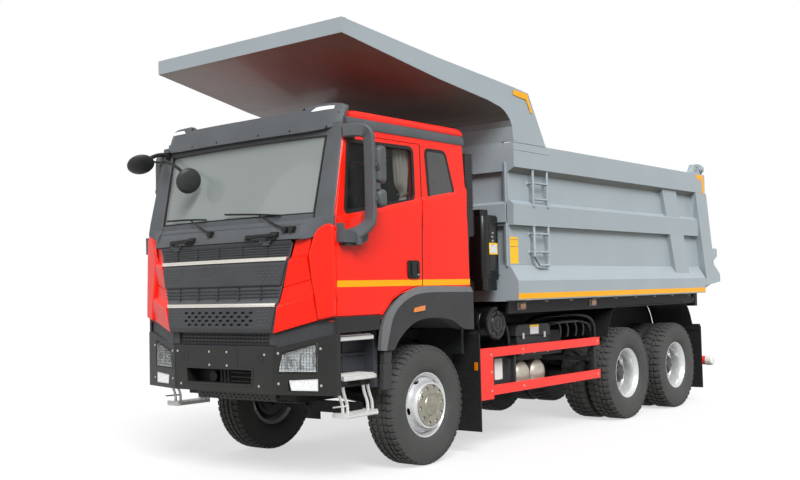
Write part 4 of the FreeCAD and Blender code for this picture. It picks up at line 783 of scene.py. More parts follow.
# %% [markdown]
# ## Wheels
#
# The front wheels are pressed discs turned face out, so the hub plate stands proud of the tyre with
# its ten nuts in deep cups.  The rear outer wheels are the same disc turned face in, which makes the
# deep bright bowl with the black hub at its bottom.  The barrel and disc are turned profiles, and
# the hand holes and nut cups are cut out of them.

# %% Front wheels
NUT_CIRCLE = 0.1675


def ring_places(centre, x, radius, count, turn):
    return [(centre[0] + x, centre[1] + sin(turn + tau * i / count) * radius,
             centre[2] + cos(turn + tau * i / count) * radius) for i in range(count)]


def drums(places, x0, x1, radius):
    """Short round plugs along x, used as cutters."""
    plugs = Workpiece("plugs")
    for x, y, z in places:
        ring = [(y + sin(tau * k / 20) * radius, z + cos(tau * k / 20) * radius) for k in range(20)]
        plugs.along_x(ring, x + x0, x + x1)
    return plugs


def hand_holes(centre, angles, radii, along, across):
    """Oval plugs that point outward from a wheel's centre, used as cutters."""
    plugs = Workpiece("plugs")
    x, y, z = centre
    for s, c in ((sin(angle), cos(angle)) for angle in angles):
        plugs.skin([[(x + cos(tau * k / 16) * along, y + s * radius + c * sin(tau * k / 16) * across,
                      z + c * radius - s * sin(tau * k / 16) * across) for k in range(16)]
                    for radius in radii])
    return plugs


def rim_ring(outer):
    """The rim barrel as one closed turned section; outer is the side the lip shows on."""
    return [(outer * x, r) for x, r in mm("118 304, 123.5 303, 124.5 298, 120 291, 108 285, 100 272, 80 262, "
        "40 251, -20 246, -80 250, -112 266, -124 300, -118 303, -106 275, -70 255.5, 40 256.5, 104 290, "
        "118 304")]


front_centre = (FRONT_X, 0, TYRE_R)
barrel = Workpiece("front_rim_barrel_left").turned(rim_ring(1), front_centre, 96)
front_barrel = barrel.finish("front_wheel_left", wheel_silver, "wheel_silver", smooth=40)
disc_profile = mm("60 262, 78 262.5, 90 257, 112 244, 145 229, 166 221, 175 214, 175 90, 160 90, 160 206, "
    "140 217, 105 231, 80 244, 60 250, 60 262")
disc = Workpiece("front_disc_left").turned(disc_profile, front_centre, 96)
carve(disc, hand_holes((FRONT_X + 0.1, 0, TYRE_R), [radians(-28 + 72 * i) for i in range(5)], (0.2, 0.29),
                       0.019, 0.036))
carve(disc, drums(ring_places(front_centre, 0, NUT_CIRCLE, 10, 0.2), 0.15, 0.19, 0.021))
front_disc = disc.finish("front_wheel_left", wheel_silver, "wheel_silver", bevel=0.002)
plate = Workpiece("front_hub_left").turned(mm("150 198, 181 198, 186 194, 186 112, 183 108, 183 100, 192 94, "
    "195 86, 195 0"), front_centre, 72)
carve(plate, drums(ring_places(front_centre, 0, NUT_CIRCLE, 10, 0.2), 0.13, 0.2, 0.0215))
front_hub = plate.finish("front_wheel_left", hub_metal, "wheel_silver", bevel=0.0015)
nuts = Workpiece("front_nuts_left")
nuts.bolts(ring_places(front_centre, 0.15, NUT_CIRCLE, 10, 0.2), (1, 0, 0), 0.0155, 0.026)
front_nuts = nuts.finish("front_wheel_left", bolt_steel, "wheel_silver", bevel=0.001)
drum_back = Workpiece("front_brake_drum_left").turned(mm("-95 0, -95 190, -88 205, 30 205, 36 190, 36 100, "
    "148 98, 148 0"), front_centre, 48)
drum_back.turned(mm("148 208, 151 208, 151 100, 148 100, 148 208"), front_centre, 48)
front_drum = drum_back.finish("front_wheel_left", cast_black, "cast_black", smooth=30)
front_parts = [front_barrel, front_disc, front_hub, front_nuts, front_drum]
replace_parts(front_barrel, "front_rim_left")
for part in front_parts:
    twin = repeat(part, part.name.replace("left", "right"), "front_wheel_right", mirror=True)
    if part is front_barrel:
        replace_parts(twin, "front_rim_right")
print("front wheel parts", len(front_parts))

# %% Rear wheels
rear_centre = (TWIN_OUTER_X, REAR_AXLES[0], TYRE_R)
inner_centre = (TWIN_INNER_X, REAR_AXLES[0], TYRE_R)
rear_barrel = Workpiece("rear_rim_barrels_1_left").turned(rim_ring(1), rear_centre, 96)
rear_barrel.turned(rim_ring(-1), inner_centre, 72)
rear_barrel = rear_barrel.finish("rear_wheels_1_left", wheel_silver, "wheel_silver", smooth=40)
bowl = Workpiece("rear_discs_1_left")
bowl_profile = mm("-30 252, -44 250, -60 240, -100 226, -150 214, -162 206, -162 100, -172 100, -172 214, "
    "-150 226, -90 240, -44 256, -30 252")
bowl.turned(bowl_profile, rear_centre, 96)
eighths = [tau * (i + 0.3) / 8 for i in range(8)]
carve(bowl, hand_holes((TWIN_OUTER_X - 0.104, REAR_AXLES[0], TYRE_R), eighths, (0.2, 0.27), 0.02, 0.026))
rear_disc = bowl.finish("rear_wheels_1_left", wheel_silver, "wheel_silver", bevel=0.002)
hub_profile = mm("-200 0, -200 150, -150 150, -138 142, -120 125, -10 118, 14 112, 20 100, 20 80, "
                 "34 74, 40 62, 40 0")
hub = Workpiece("rear_hub_1_left").turned(hub_profile, rear_centre, 64)
hub.bolts(ring_places(rear_centre, 0.019, 0.091, 8, 0.1), (1, 0, 0), 0.009, 0.01)
rear_hub = hub.finish("rear_wheels_1_left", hub_black, "cast_black", bevel=0.002)
studs = Workpiece("rear_nuts_1_left").bolts(ring_places(rear_centre, -0.162, NUT_CIRCLE, 10, 0.1), (1, 0, 0),
                                            0.019, 0.03)
for x, y, z in ring_places(rear_centre, -0.14, NUT_CIRCLE, 10, 0.1):
    studs.tube([(x, y, z), (x + 0.034, y, z)], 0.01, 10, 0)
rear_nuts = studs.finish("rear_wheels_1_left", bolt_steel, "wheel_silver", bevel=0.001)
stem = [Vector(rear_centre) + Vector(p) for p in mm("-60 -170 -170, 20 -178 -175, 70 -150 -150")]
valve = Workpiece("rear_valve_1_left").tube(stem, 0.005, 8, 2)
rear_valve = valve.finish("rear_wheels_1_left", bolt_steel, "wheel_silver")
drum = Workpiece("rear_brake_drum_1_left").turned(mm("-360 0, -360 180, -350 200, -190 200, -180 190, -180 0"),
                                                  rear_centre, 48)
rear_drum = drum.finish("rear_wheels_1_left", cast_black, "cast_black", smooth=30)
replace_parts(rear_barrel, "twin_rims_rear_1_left")
rear_parts = [rear_barrel, rear_disc, rear_hub, rear_nuts, rear_valve, rear_drum]
for label, shift, mirror in OTHER_TWINS:
    for part in rear_parts:
        twin = repeat(part, part.name.replace("1_left", label), "rear_wheels_" + label, (0, shift, 0), mirror)
        if part is rear_barrel:
            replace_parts(twin, "twin_rims_rear_" + label)
print("rear wheel parts", 4 * len(rear_parts))

# %% [markdown]
# ## The cab
#
# The cab's front leans back above the waist and is bowed in the middle, and its sides lean in, so
# trim that lies on it needs to know where the skin is.  Two functions answer that, and all the
# strips, seals and covers below are laid on them.

# %% Where the cab's skin is
WAIST_Z, CAB_TOP_Z = 2.29, 3.05
CAB_HALF, CAB_TOP_HALF = 1.245, 1.212
FRONT_WAIST_Y, FRONT_TOP_Y = -1.335, -1.165
SCREEN_HALF, SCREEN_TOP_HALF = 1.018, 1.04
FRONT_BOW = 0.06


def lean(z):
    return min(1.0, max(0.0, (z - WAIST_Z) / (CAB_TOP_Z - WAIST_Z)))


def side_x(z):
    return CAB_HALF + (CAB_TOP_HALF - CAB_HALF) * lean(z)


def pillar_y(z):
    return FRONT_WAIST_Y + (FRONT_TOP_Y - FRONT_WAIST_Y) * lean(z)


def front_y(x, z):
    half = SCREEN_HALF + (SCREEN_TOP_HALF - SCREEN_HALF) * lean(z)
    return pillar_y(z) - FRONT_BOW * max(0.0, 1 - (x / half) ** 2)


def on_side(side):
    """Places (y, z, height) on the cab's side."""
    return lambda y, z, height: (side * (side_x(z) + height), y, z)


def front_strip(name, half, z0, z1, rise, finish, slot):
    strip = Workpiece(name)
    rings = []
    for x in stations(-half, half, 25):
        rings.append([(x, front_y(x, z0) + 0.004, z0), (x, front_y(x, z0) - rise, z0),
                      (x, front_y(x, z1) - rise, z1 - rise), (x, front_y(x, z1) + 0.004, z1)])
    return strip.skin(rings).finish("chassis", finish, slot, 0.002)


print("cab half width at the top", round(side_x(CAB_TOP_Z), 3))

# %% [markdown]
# Grey trim covers the front pillars and the strips above and below the windscreen.  A black panel
# closes the cab's front behind the grille, so that no red shows when the lid is up.

# %% Pillars, screen surround and the black front
front_strip("screen_base", 1.02, 2.24, 2.322, 0.012, trim_grey, "trim_grey")
front_strip("screen_header", 1.1, 3.004, 3.12, 0.01, trim_grey, "trim_grey")
front_strip("screen_seal_bottom", 1.0, 2.318, 2.33, 0.006, seal_rubber, "dash_plastic")
front_strip("front_bulkhead", 1.235, 1.4, 2.255, 0.003, frame_black, "chassis_black")
PILLAR_LEVELS = stations(2.268, 3.11, 10)
for side in (LEFT, RIGHT):
    cover = Workpiece("pillar_cover_" + SIDES[side])
    rings = []
    for z in PILLAR_LEVELS:
        f, h = pillar_y(z), side_x(z)
        s = SCREEN_HALF + (SCREEN_TOP_HALF - SCREEN_HALF) * lean(z)
        ring = [(s + 0.002, f - 0.002), (s + 0.014, f - 0.014), (h - 0.03, f - 0.014), (h - 0.01, f - 0.004),
                (h - 0.004, f + 0.007), (h - 0.02, f + 0.009), (h - 0.034, f + 0.006), (s + 0.002, f + 0.006)]
        rings.append([(side * x, y, z) for x, y in ring])
    cover.skin(rings).finish("chassis", trim_grey, "trim_grey", 0.003)
    seal = Workpiece("pillar_seal_" + SIDES[side])
    edge = []
    for z in PILLAR_LEVELS:
        s = SCREEN_HALF + (SCREEN_TOP_HALF - SCREEN_HALF) * lean(z) - 0.006
        edge.append((side * s, front_y(s, z) - 0.003, z))
    seal.tube(edge, 0.01, 8, 0).finish("chassis", seal_rubber, "dash_plastic")
    wing = Workpiece("cowl_wing_" + SIDES[side])
    WING = mm("955 -1401 2266 -1474 2092, 1030 -1384 2275 -1412 2100, 1100 -1362 2284 -1372 2130, "
        "1170 -1348 2292 -1352 2160, 1215 -1342 2297 -1343 2170, 1238 -1326 2298 -1330 2175")
    rings = [[(side * x, y1, z1), (side * x, (y0 + y1) / 2 - 0.012, (z0 + z1) / 2 + 0.02), (side * x, y0, z0),
              (side * x, -1.31, z0),
              (side * x, -1.31, z1)] for x, y0, z0, y1, z1 in WING]
    wing.skin(rings).finish("chassis", trim_grey, "trim_grey", 0.004)
print("front trim laid")

# %% [markdown]
# The amber stripe, the raised shoulder that rises along the side, the window seals and the recessed
# handle ride on the door, and stop at its gap.  The parts behind the gap ride on the chassis.

# %% Side trim
DOOR_FRONT_Y = -1.313
SHOULDER = mm("-1320 2232, -731 2344, -109 2460, 411 2545, 600 2600")
STRIPE_Z = (1.68, 1.735)
WINDOW = mm("-1175 2315, -255 2466, -222 2520, -212 2930, -250 2962, -1085 2952, -1120 2920, -1195 2342")
CAB_REAR_Y = 0.628
QUARTER_PANE = mm("-20 2968, 296 2969, 412 2566, 0 2476")


def door_line(z):
    """y of the door's rear gap at height z."""
    return curve(z, mm("1300 -140, 1676 -140, 2300 -120, 3008 -94"))


def shoulder(side, name, y0, y1, body):
    ridge = Workpiece(name)
    rings = []
    for y in stations(y0, y1, 12):
        crest = curve(y, SHOULDER)
        profile = [(crest + 0.046, 0.0005), (crest + 0.042, 0.003), (crest + 0.004, 0.022),
                   (crest - 0.006, 0.022),
                   (crest - 0.22, 0.006), (crest - 0.34, 0.0005), (crest - 0.34, -0.004),
                   (crest + 0.046, -0.004)]
        rings.append([(side * (side_x(z) + out), y, z) for z, out in profile])
    ridge.skin(rings).finish(body, cab_red, "cab_red", 0.0015)


for side, name in SIDES.items():
    door, place = "door_" + name, on_side(side)
    for label, body, y0, y1 in (("door_stripe_", door, DOOR_FRONT_Y, -0.146),
                                ("rear_stripe_", "chassis", -0.134, CAB_REAR_Y - 0.004)):
        flat_piece(label + name, body, amber_tape, "cab_red", rect(y0, y1, STRIPE_Z[0], STRIPE_Z[1]), place,
                   -0.001, 0.0012)
    shoulder(side, "door_shoulder_" + name, DOOR_FRONT_Y + 0.01, -0.135, door)
    shoulder(side, "rear_shoulder_" + name, -0.116, 0.6, "chassis")
    for label, body, outline, radius in (("window_seal_", door, WINDOW, 0.05),
                                         ("quarter_seal_", "chassis", QUARTER_PANE, 0.06)):
        seal = Workpiece(label + name)
        gasket(seal, rounded(outline, radius), -0.022, 0.012, place, -0.012, 0.005)
        seal.finish(body, seal_rubber, "dash_plastic", 0.003)
    flat_piece("quarter_tint_" + name, "chassis", dark_glass, "tinted_glass",
               grown(rounded(QUARTER_PANE, 0.06), 0.004), place, -0.004, 0.0035)
    handle = Workpiece("door_handle_" + name)
    frame_line = rounded(rect(-0.362, -0.192, 1.748, 1.913), 0.03)
    gasket(handle, frame_line, -0.03, 0.0, place, -0.002, 0.014)
    handle.slab(grown(frame_line, -0.028), place, -0.001, 0.003)
    handle.slab(rounded(rect(-0.318, -0.248, 1.756, 1.905), 0.02), place, 0.004, 0.024)
    handle.finish(door, seal_rubber, "dash_plastic", 0.003)
    lock = Workpiece("door_lock_" + name)
    lock.turned(mm("0 0, 27 0, 27 8, 0 10"), (side * 1.2445, -0.224, 1.78) if side > 0
                else (-1.2715, -0.224, 1.78), 20)
    lock.finish(door, bolt_steel, "ram_steel")
    hinges = Workpiece("door_seam_" + name)
    hinges.skin([[(side * (side_x(z) + 0.0008), door_line(z) - 0.002, z),
                  (side * (side_x(z) + 0.0008), door_line(z) + 0.006, z),
                  (side * (side_x(z) - 0.004), door_line(z) + 0.006, z),
                  (side * (side_x(z) - 0.004), door_line(z) - 0.002, z)]
                 for z in (1.68, 2.3, 3.0)])
    hinges.finish("chassis", seal_rubber, "dash_plastic")
print("side trim laid")

# %% [markdown]
# ### Roof edge and sun visor
#
# A grey band runs along the roof's edge below a red gutter rail.  The visor is one bowed moulding:
# low in the middle, with raised ends that carry a white marker lamp each.

# %% Roof edge
for side, name in SIDES.items():
    band = Workpiece("roof_band_" + name)
    rings = []
    for y, low, high in mm("-1100 3061 3160, -300 3060 3156, 605 3058 3148, 622 3066 3140"):
        out = 1.217
        rings.append([(side * x, y, z) for x,
                      z in ((1.18, low), (out, low), (out + 0.004, low + 0.012), (out - 0.004, high - 0.012),
                                                   (out - 0.01, high), (1.18, high))])
    band.skin(rings).finish("chassis", trim_grey, "trim_grey", 0.004)
    rail = Workpiece("gutter_rail_" + name)
    rings = []
    for y, drop in mm("-1060 14, -980 0, 510 0, 590 12, 612 30"):
        rings.append([(side * x, y, z) for x,
                      z in ((1.13, 3.16), (1.209, 3.154), (1.214, 3.168), (1.212, 3.198 - drop),
                                                   (1.198, 3.219 - drop), (1.172, 3.226 - drop),
                            (1.13, 3.222 - drop))])
    rail.skin(rings).finish("chassis", cab_red, "cab_red", 0.006)

# %% Sun visor
VISOR_HALF = 1.172
VISOR_TOP = ((0.0, 3.252), (0.7, 3.256), (0.725, 3.262), (0.785, 3.29), (0.82, 3.297), (1.05, 3.297),
             (1.14, 3.285), (VISOR_HALF, 3.262))
VISOR_LOW = ((0.0, 3.04), (0.85, 3.044), (1.02, 3.052), (1.11, 3.068), (VISOR_HALF, 3.09))


def visor_y(x, z):
    """Outer face of the visor: bowed, leaning back, and drawn round at its ends."""
    share = abs(x) / VISOR_HALF
    base = -1.29 + 0.085 * share ** 2 + 0.055 * max(0.0, (share - 0.86) / 0.14) ** 2
    return base + (z - 3.05) * 0.42


def visor_point(x, z, lift):
    return (x, visor_y(x, z) - lift, z)


visor = Workpiece("moulded_visor")
rings = []
VISOR_STATIONS = sorted({round(s * x, 4) for s in (-1, 1) for x in
                         stations(0, 0.69, 8) + [0.705, 0.725, 0.745, 0.765, 0.785, 0.8, 0.82, 0.87, 0.95,
                                                 1.02, 1.06, 1.1, 1.13, 1.155, VISOR_HALF]})
for x in VISOR_STATIONS:
    low, high = curve(abs(x), VISOR_LOW), curve(abs(x), VISOR_TOP)
    step = low + 0.03
    groove = high - 0.03
    ring = [visor_point(x, low, -0.02), visor_point(x, low, 0.0), visor_point(x, step, 0.006),
            visor_point(x, groove, 0.006),
            visor_point(x, groove + 0.004, 0.0), visor_point(x, high - 0.006, 0.0),
            visor_point(x, high, -0.012), visor_point(x, high, -0.035),
            visor_point(x, low + 0.01, -0.035)]
    rings.append(ring)
visor.skin(rings)
visor_piece = visor.finish("chassis", trim_grey, "trim_grey", 0.003, smooth=30)
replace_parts(visor_piece, "sun_visor")
screws = Workpiece("visor_screws")
for x in (0.28, 0.66, 1.06):
    for s in (LEFT, RIGHT):
        screws.bolts([visor_point(s * x, 3.072, 0.004)], (0, -1, 0.35), 0.008, 0.005)
for s in (LEFT, RIGHT):
    screws.bolts([visor_point(s * 0.76, 3.262, 0.004), visor_point(s * 1.125, 3.2, 0.0)], (0, -1, 0.35),
                 0.008, 0.005)
screws.finish("chassis", seal_rubber, "dash_plastic")
for side, name in SIDES.items():
    marker = Workpiece("visor_marker_" + name)
    rings = []
    for x, z0, z1 in mm("855 3230 3233, 900 3230 3266, 960 3231 3268, 1030 3233 3268, 1085 3236 3266"):
        rings.append([visor_point(side * x, z, lift)
                      for z, lift in ((z0, 0.002), (z0, 0.012), (z1, 0.012), (z1, 0.002))])
    marker.skin(rings).finish("chassis", white_lens, "lamp_glass", 0.003)
# A dark strip behind the top of the windscreen is a painted reflection of the dark visor and canopy above.
strip = Workpiece("tinted_screen_strip")
rings = []
for x in stations(-0.985, 0.985, 21):
    low = 2.905 + 0.06 * (abs(x) / 0.985) ** 6
    rings.append([(x, front_y(x, z) + 0.03 + t, z)
                  for z, t in ((low, 0.0), (3.03, 0.0), (3.03, 0.006), (low, 0.006))])
strip.skin(rings).finish("chassis", seal_rubber, "dash_plastic")
print("visor from", VISOR_LOW[0][1], "to", VISOR_TOP[0][1])

# %% [markdown]
# ## Mirrors, steps and fenders
#
# A broad flat arm carries two mirror heads on each door.  Its foot is a moulded block on the
# shoulder line, and its top end is held by a small bracket at the roof's edge.

# %% Door mirrors
def shell(work, outline, y0, y1):
    """A mirror head: a crowned back towards the front and an open rim towards the rear."""
    rings = []
    for inset, share in ((0.06, 0.0), (0.034, 0.05), (0.012, 0.3), (0.002, 0.55), (0.0, 0.8), (0.003, 1.0),
                         (0.01, 1.0), (0.012, 0.93)):
        rings.append([(x, y0 + (y1 - y0) * share, z) for x, z in grown(outline, -inset)])
    return work.skin(rings)


def door_mirror(side, name):
    door, place = "door_" + name, on_side(side)
    arm = Workpiece("mirror_arm_" + name)
    path = mm("1250 -1175 2118, 1330 -1135 2130, 1412 -1062 2215, 1414 -1050 2300, 1414 -1050 2620, "
        "1414 -1050 2900, 1404 -1058 3010, 1330 -1120 3026, 1225 -1175 3020")
    strap(arm, [(side * x, y, z) for x, y, z in path], 0.116, 0.046, (0, 1, 0), 3, 0.25)
    arm_piece = arm.finish(door, trim_grey, "mirror_black", 0.004)
    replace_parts(arm_piece, "door_mirror_" + name)
    foot = Workpiece("mirror_foot_" + name)
    foot.slab(mm("-1308 2222, -1292 2170, -1200 2146, -1100 2150, -1004 2150, -986 2120, -1010 2070, "
        "-1060 2052, -1306 2056"), place, -0.004, 0.086)
    foot.slab(rect(-1.255, -1.09, 2.03, 2.06), place, 0.002, 0.06)
    foot.turned(mm("0 0, 0 30, 90 34, 95 28, 95 0"), (side * 1.335, -1.13, 2.035), 24, axis="z")
    foot.finish(door, trim_grey, "mirror_black", 0.01, segments=3)
    top = Workpiece("mirror_top_bracket_" + name)
    top.slab(rounded(rect(-1.152, -1.068, 2.95, 3.04), 0.012), place, -0.002, 0.05)
    top.turned(mm("0 0, 0 24, 55 24, 55 0"), (side * 1.25, -1.11, 2.99), 20, axis="z")
    top.finish(door, seal_rubber, "mirror_black", 0.004)
    heads, faces, bosses = (Workpiece(label + name)
                            for label in ("mirror_heads_", "mirror_glass_", "mirror_bosses_"))
    for z0, z1 in mm("2556 2890, 2352 2512"):
        x0, x1 = sorted((side * 1.33, side * 1.506))
        outline = rounded(rect(x0, x1, z0, z1), 0.05)
        shell(heads, outline, -1.03, -0.942)
        faces.skin([[(x, y, z) for x, z in grown(outline, -0.013)] for y in (-0.955, -0.95)])
        middle = (z0 + z1) / 2 - 0.01
        for r, y in mm("42 -1030, 26 -1044"):
            bosses.turned([(0.0, 0.0), (0.0, r), (0.016, r - 0.004), (0.016, 0.0)],
                          (side * 1.47, y - 0.012, middle), 24, axis="y")
        bosses.block(side * 1.38, side * 1.48, -1.032, -1.018, middle - 0.016, middle + 0.016)
    bosses.block(side * 1.395, side * 1.47, -1.03, -0.98, 2.505, 2.565)
    heads.finish(door, mirror_shell, "mirror_black", 0.0, smooth=50)
    faces.finish(door, mirror_face, "mirror_black")
    bosses.finish(door, trim_grey, "mirror_black", 0.003)


both(door_mirror)
print("door mirrors on both doors")


# %% Kerb and front mirrors
def dish(work, centre, normal, profile):
    """A profile of (along, radius) turned round a slanted axis."""
    out, across, up = square_to(normal)
    return work.skin([[Vector(centre) + out * along + p for p in circle(across, up, radius, 40)]
                      for along, radius in profile])


ROUND_MIRRORS = (((-1.17, -1.478, 2.925), (-0.56, 0.23, 0.8), 0.132),
                 ((-0.486, -1.45, 2.713), (-0.9, 0.3, 0.3), 0.122))
rounds = Workpiece("round_mirror_shells")
for centre, normal, r in ROUND_MIRRORS:
    dish(rounds, centre, normal, [(0.02, r - 0.014), (0.022, r - 0.004), (0.014, r), (0.004, r),
                                  (-0.008, r * 0.93), (-0.018, r * 0.72),
                                  (-0.024, r * 0.4), (-0.026, 0.004)])
rounds_piece = rounds.finish("chassis", mirror_shell_dark, "mirror_black", 0.0, smooth=50)
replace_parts(rounds_piece, "corner_mirrors")
round_glass = Workpiece("round_mirror_glass")
for centre, normal, r in ROUND_MIRRORS:
    dish(round_glass, centre, normal, [(0.012, r - 0.012), (0.017, r - 0.013), (0.024, r * 0.6),
                                       (0.027, 0.004)])
round_glass.finish("chassis", mirror_face, "mirror_black", 0.0, smooth=60)
arms = Workpiece("round_mirror_arms")
arms.tube(mm("-1110 -1205 3045, -1135 -1300 3040, -1155 -1410 2985, -1160 -1455 2945"), 0.02, 12, 3)
arms.tube(mm("-1110 -1215 3020, -1000 -1330 2965, -760 -1420 2900, -620 -1432 2830, -520 -1438 2730"), 0.0165,
          12, 3)
arms.block(-1.15, -1.07, -1.235, -1.185, 2.985, 3.06)
arms.tube(mm("-1150 -1405 2975, -1060 -1370 2950, -980 -1345 2945"), 0.011, 10, 2)
arms.finish("chassis", seal_rubber, "mirror_black", 0.004)
print("round mirrors", len(ROUND_MIRRORS))

# %% [markdown]
# ### Steps
#
# Two ribbed aluminium treads stand in a dark recess below the door.  The lowest step is a bar that
# hangs on springy S-shaped straps, so that it gives way when it scrapes the ground.

# %% Cab steps
HANGER = mm("0 845, 2 800, 22 735, 52 675, 58 615, 50 565")


def cab_steps(side, name):
    treads = Workpiece("step_treads_" + name)
    for top, y0, y1 in mm("1276 -1236 -806, 934 -1206 -778"):
        section = [(0.935, top - 0.012), (1.195, top - 0.016), (1.205, top - 0.024), (1.205, top - 0.052),
                   (1.198, top - 0.058),
                   (1.17, top - 0.05), (0.935, top - 0.04)]
        treads.along_y([(side * x, z) for x, z in section], y0, y1)
        for i in range(7):
            x = 0.975 + 0.034 * i
            treads.along_y([(side * (x - 0.006), top - 0.014), (side * (x - 0.004), top - 0.004),
                            (side * (x + 0.004), top - 0.005),
                            (side * (x + 0.006), top - 0.016)], y0 + 0.012, y1 - 0.012)
    treads_piece = treads.finish("chassis", aluminium, "step_aluminium", 0.003)
    if side == LEFT:
        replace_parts(treads_piece, "cab_steps")
    hangers = Workpiece("hanging_step_" + name)
    for y0 in (-1.19, -0.862):
        for shift in (0.0, 0.062):
            strap(hangers, [(side * 1.115, y0 + shift + dy, z) for dy, z in HANGER], 0.02, 0.03, (1, 0, 0), 2)
    hangers.along_y([(side * x, z) for x, z in mm("1015 560, 1205 560, 1213 568, 1213 586, 1200 590, "
        "1015 590")],
                    -1.16, -0.775)
    for y in (-1.168, -0.775):
        hangers.block(side * 1.03, side * 1.2, y, y + 0.01, 0.556, 0.604)
    for i in range(10):
        y = -1.135 + 0.038 * i
        hangers.block(side * 1.03, side * 1.195, y, y + 0.01, 0.588, 0.5945)
    hangers.tube(sided(side, "1115 -1255 660, 1115 -1060 655"), 0.008, 8, 0)
    hangers.finish("chassis", aluminium, "step_aluminium", 0.0025)
    recess = Workpiece("step_recess_" + name)
    recess.boxes(side, "880 985 -1290 -640 800 1420, 980 1005 -1285 -660 1070 1100, "
        "980 996 -990 -962 830 1400")
    recess.along_x(mm("-1300 770, -1245 770, -1225 1010, -1300 1010"), side * 1.1, side * 1.19)
    recess.boxes(side, "935 1100 -690 -640 780 1330, 935 1160 -1300 -1275 780 1330, "
        "900 1175 -1280 -700 1392 1420")
    recess.finish("chassis", recess_grey, "chassis_black", 0.006)
    plate = Workpiece("hanger_plates_" + name)
    plate.boxes(side, "1000 1130 -900 -780 822 876, 1000 1130 -1215 -1095 822 876")
    plate.bolts(sided(side, "986 -1060 1020, 986 -1060 840"), (side, 0, 0), 0.011, 0.01)
    plate.finish("chassis", frame_black, "chassis_black", 0.003)
    flat_piece("door_sill_cover_" + name, "chassis", box_black, "chassis_black",
               mm("-1335 1290, -780 1300, -760 1380, -720 1429.5, -1335 1429.5"), beside(side, CAB_HALF),
               -0.03, 0.0035, 0.004)


both(cab_steps)
print("steps on both sides")

# %% [markdown]
# ### Front fenders
#
# The fender is a thick grey moulding: a flat flank, a chamfer with a painted highlight along its
# outer edge, and a lip round the wheel.  It is one skin between the wheel arch and the outer edge,
# with an amber marker on its flank and a separate lower leg in front of the wheel.

# %% Fenders, markers and legs
FLANK_X, EDGE_X, LIP_X = 1.272, 1.243, 1.15
FLANK_EDGE = mm("-712 1108, -690 1180, -664 1260, -627 1370, -575 1450, -496 1512, -366 1574, -230 1606, "
    "-60 1614, 240 1614, 640 1606")
CHAMFER_EDGE = mm("-756 1114, -746 1230, -722 1330, -668 1432, -550 1536, -401 1624, -250 1670, -60 1678, "
    "240 1674, 640 1662")
ARCH_EDGE = mm("-597 1111, -555 1175, -485 1239, -400 1296, -299 1344, -180 1370, -53 1378, 100 1374, "
    "242 1353, 341 1319, 464 1248, 640 1240")


def along_curve(points, count):
    """Evenly shared points along an eased line."""
    line = eased([(0, y, z) for y, z in points], 2)
    lengths = [0.0]
    for a, b in zip(line, line[1:]):
        lengths.append(lengths[-1] + (b - a).length)
    result = []
    for goal in stations(0.0, lengths[-1], count):
        i = max(0, min(len(line) - 2, next((k for k, l in enumerate(lengths) if l >= goal),
                                           len(line) - 1) - 1))
        share = (goal - lengths[i]) / max(1e-9, lengths[i + 1] - lengths[i])
        result.append(line[i].lerp(line[i + 1], min(1.0, share)))
    return result


def fender(side, name):
    count = 44
    arch, flank, chamfer = (along_curve(line, count) for line in (ARCH_EDGE, FLANK_EDGE, CHAMFER_EDGE))
    body = Workpiece("fender_body_" + name)
    body.skin([[(side * LIP_X, a.y, a.z), (side * FLANK_X, a.y, a.z), (side * FLANK_X, b.y, b.z),
                (side * EDGE_X, b.y, b.z), (side * LIP_X, b.y, b.z)]
               for a, b in zip(arch, flank)])
    body_piece = body.finish("chassis", fender_grey, "trim_grey", 0.004, smooth=30)
    if side == LEFT:
        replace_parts(body_piece, "front_fenders")
    rim = Workpiece("fender_rim_" + name)
    rim.skin([[(side * (FLANK_X - 0.01), b.y, b.z), (side * (FLANK_X + 0.0015), b.y, b.z),
               (side * (EDGE_X + 0.002), c.y, c.z),
               (side * (EDGE_X - 0.04), c.y, c.z)] for b, c in zip(flank, chamfer)])
    # The chamfer's lighter grey is a painted highlight where it faces up.
    rim.finish("chassis", rim_grey, "trim_grey", 0.003, smooth=30)
    marker = Workpiece("fender_marker_" + name)
    amber = mm("-322 1436, -304 1478, -152 1498, -156 1450")
    marker.slab(rounded(amber, 0.012), beside(side, FLANK_X), -0.004, 0.012)
    marker.finish("chassis", amber_lens, "lamp_glass", 0.004, segments=3)
    leg = Workpiece("fender_leg_" + name)
    leg.slab(mm("-716 1105, -610 1105, -626 990, -722 995"), beside(side, 1.244), -0.05, 0.006)
    leg.slab(mm("-742 998, -626 994, -648 765, -752 770"), beside(side, 1.248), -0.04, 0.012)
    leg.finish("chassis", fender_grey, "trim_grey", 0.006)
    liner = Workpiece("wheel_housing_" + name)
    liner.skin([[(side * 0.6, a.y, a.z + 0.012), (side * 1.2, a.y, a.z + 0.012),
                 (side * 1.2, a.y, a.z + 0.022), (side * 0.6, a.y, a.z + 0.022)]
                for a in arch])
    liner.block(side * 0.6, side * 1.14, 0.6, 0.64, 1.0, 1.26)
    liner.finish("chassis", liner_black_and_underbed_shade, "chassis_black")


both(fender)
print("fenders on both sides")

# %% [markdown]
# ## The front
#
# The grille is one lid.  It keeps the CAD panel as its back and gets slats, two polished strips and
# a pierced lower panel, all laid on a bowed face.  `lid_y` gives that face at any height.

# %% The grille's face
LID_FACE = mm("1300 677 -1530 15, 1543 728 -1513 25, 2074 876 -1462 52")


def lid_half(z):
    return curve(z, [(row[0], row[1]) for row in LID_FACE])


def lid_y(x, z, lift):
    end = curve(z, [(row[0], row[2]) for row in LID_FACE])
    bow = curve(z, [(row[0], row[3]) for row in LID_FACE])
    return end - bow * max(0.0, 1 - (x / lid_half(z)) ** 2) - lift


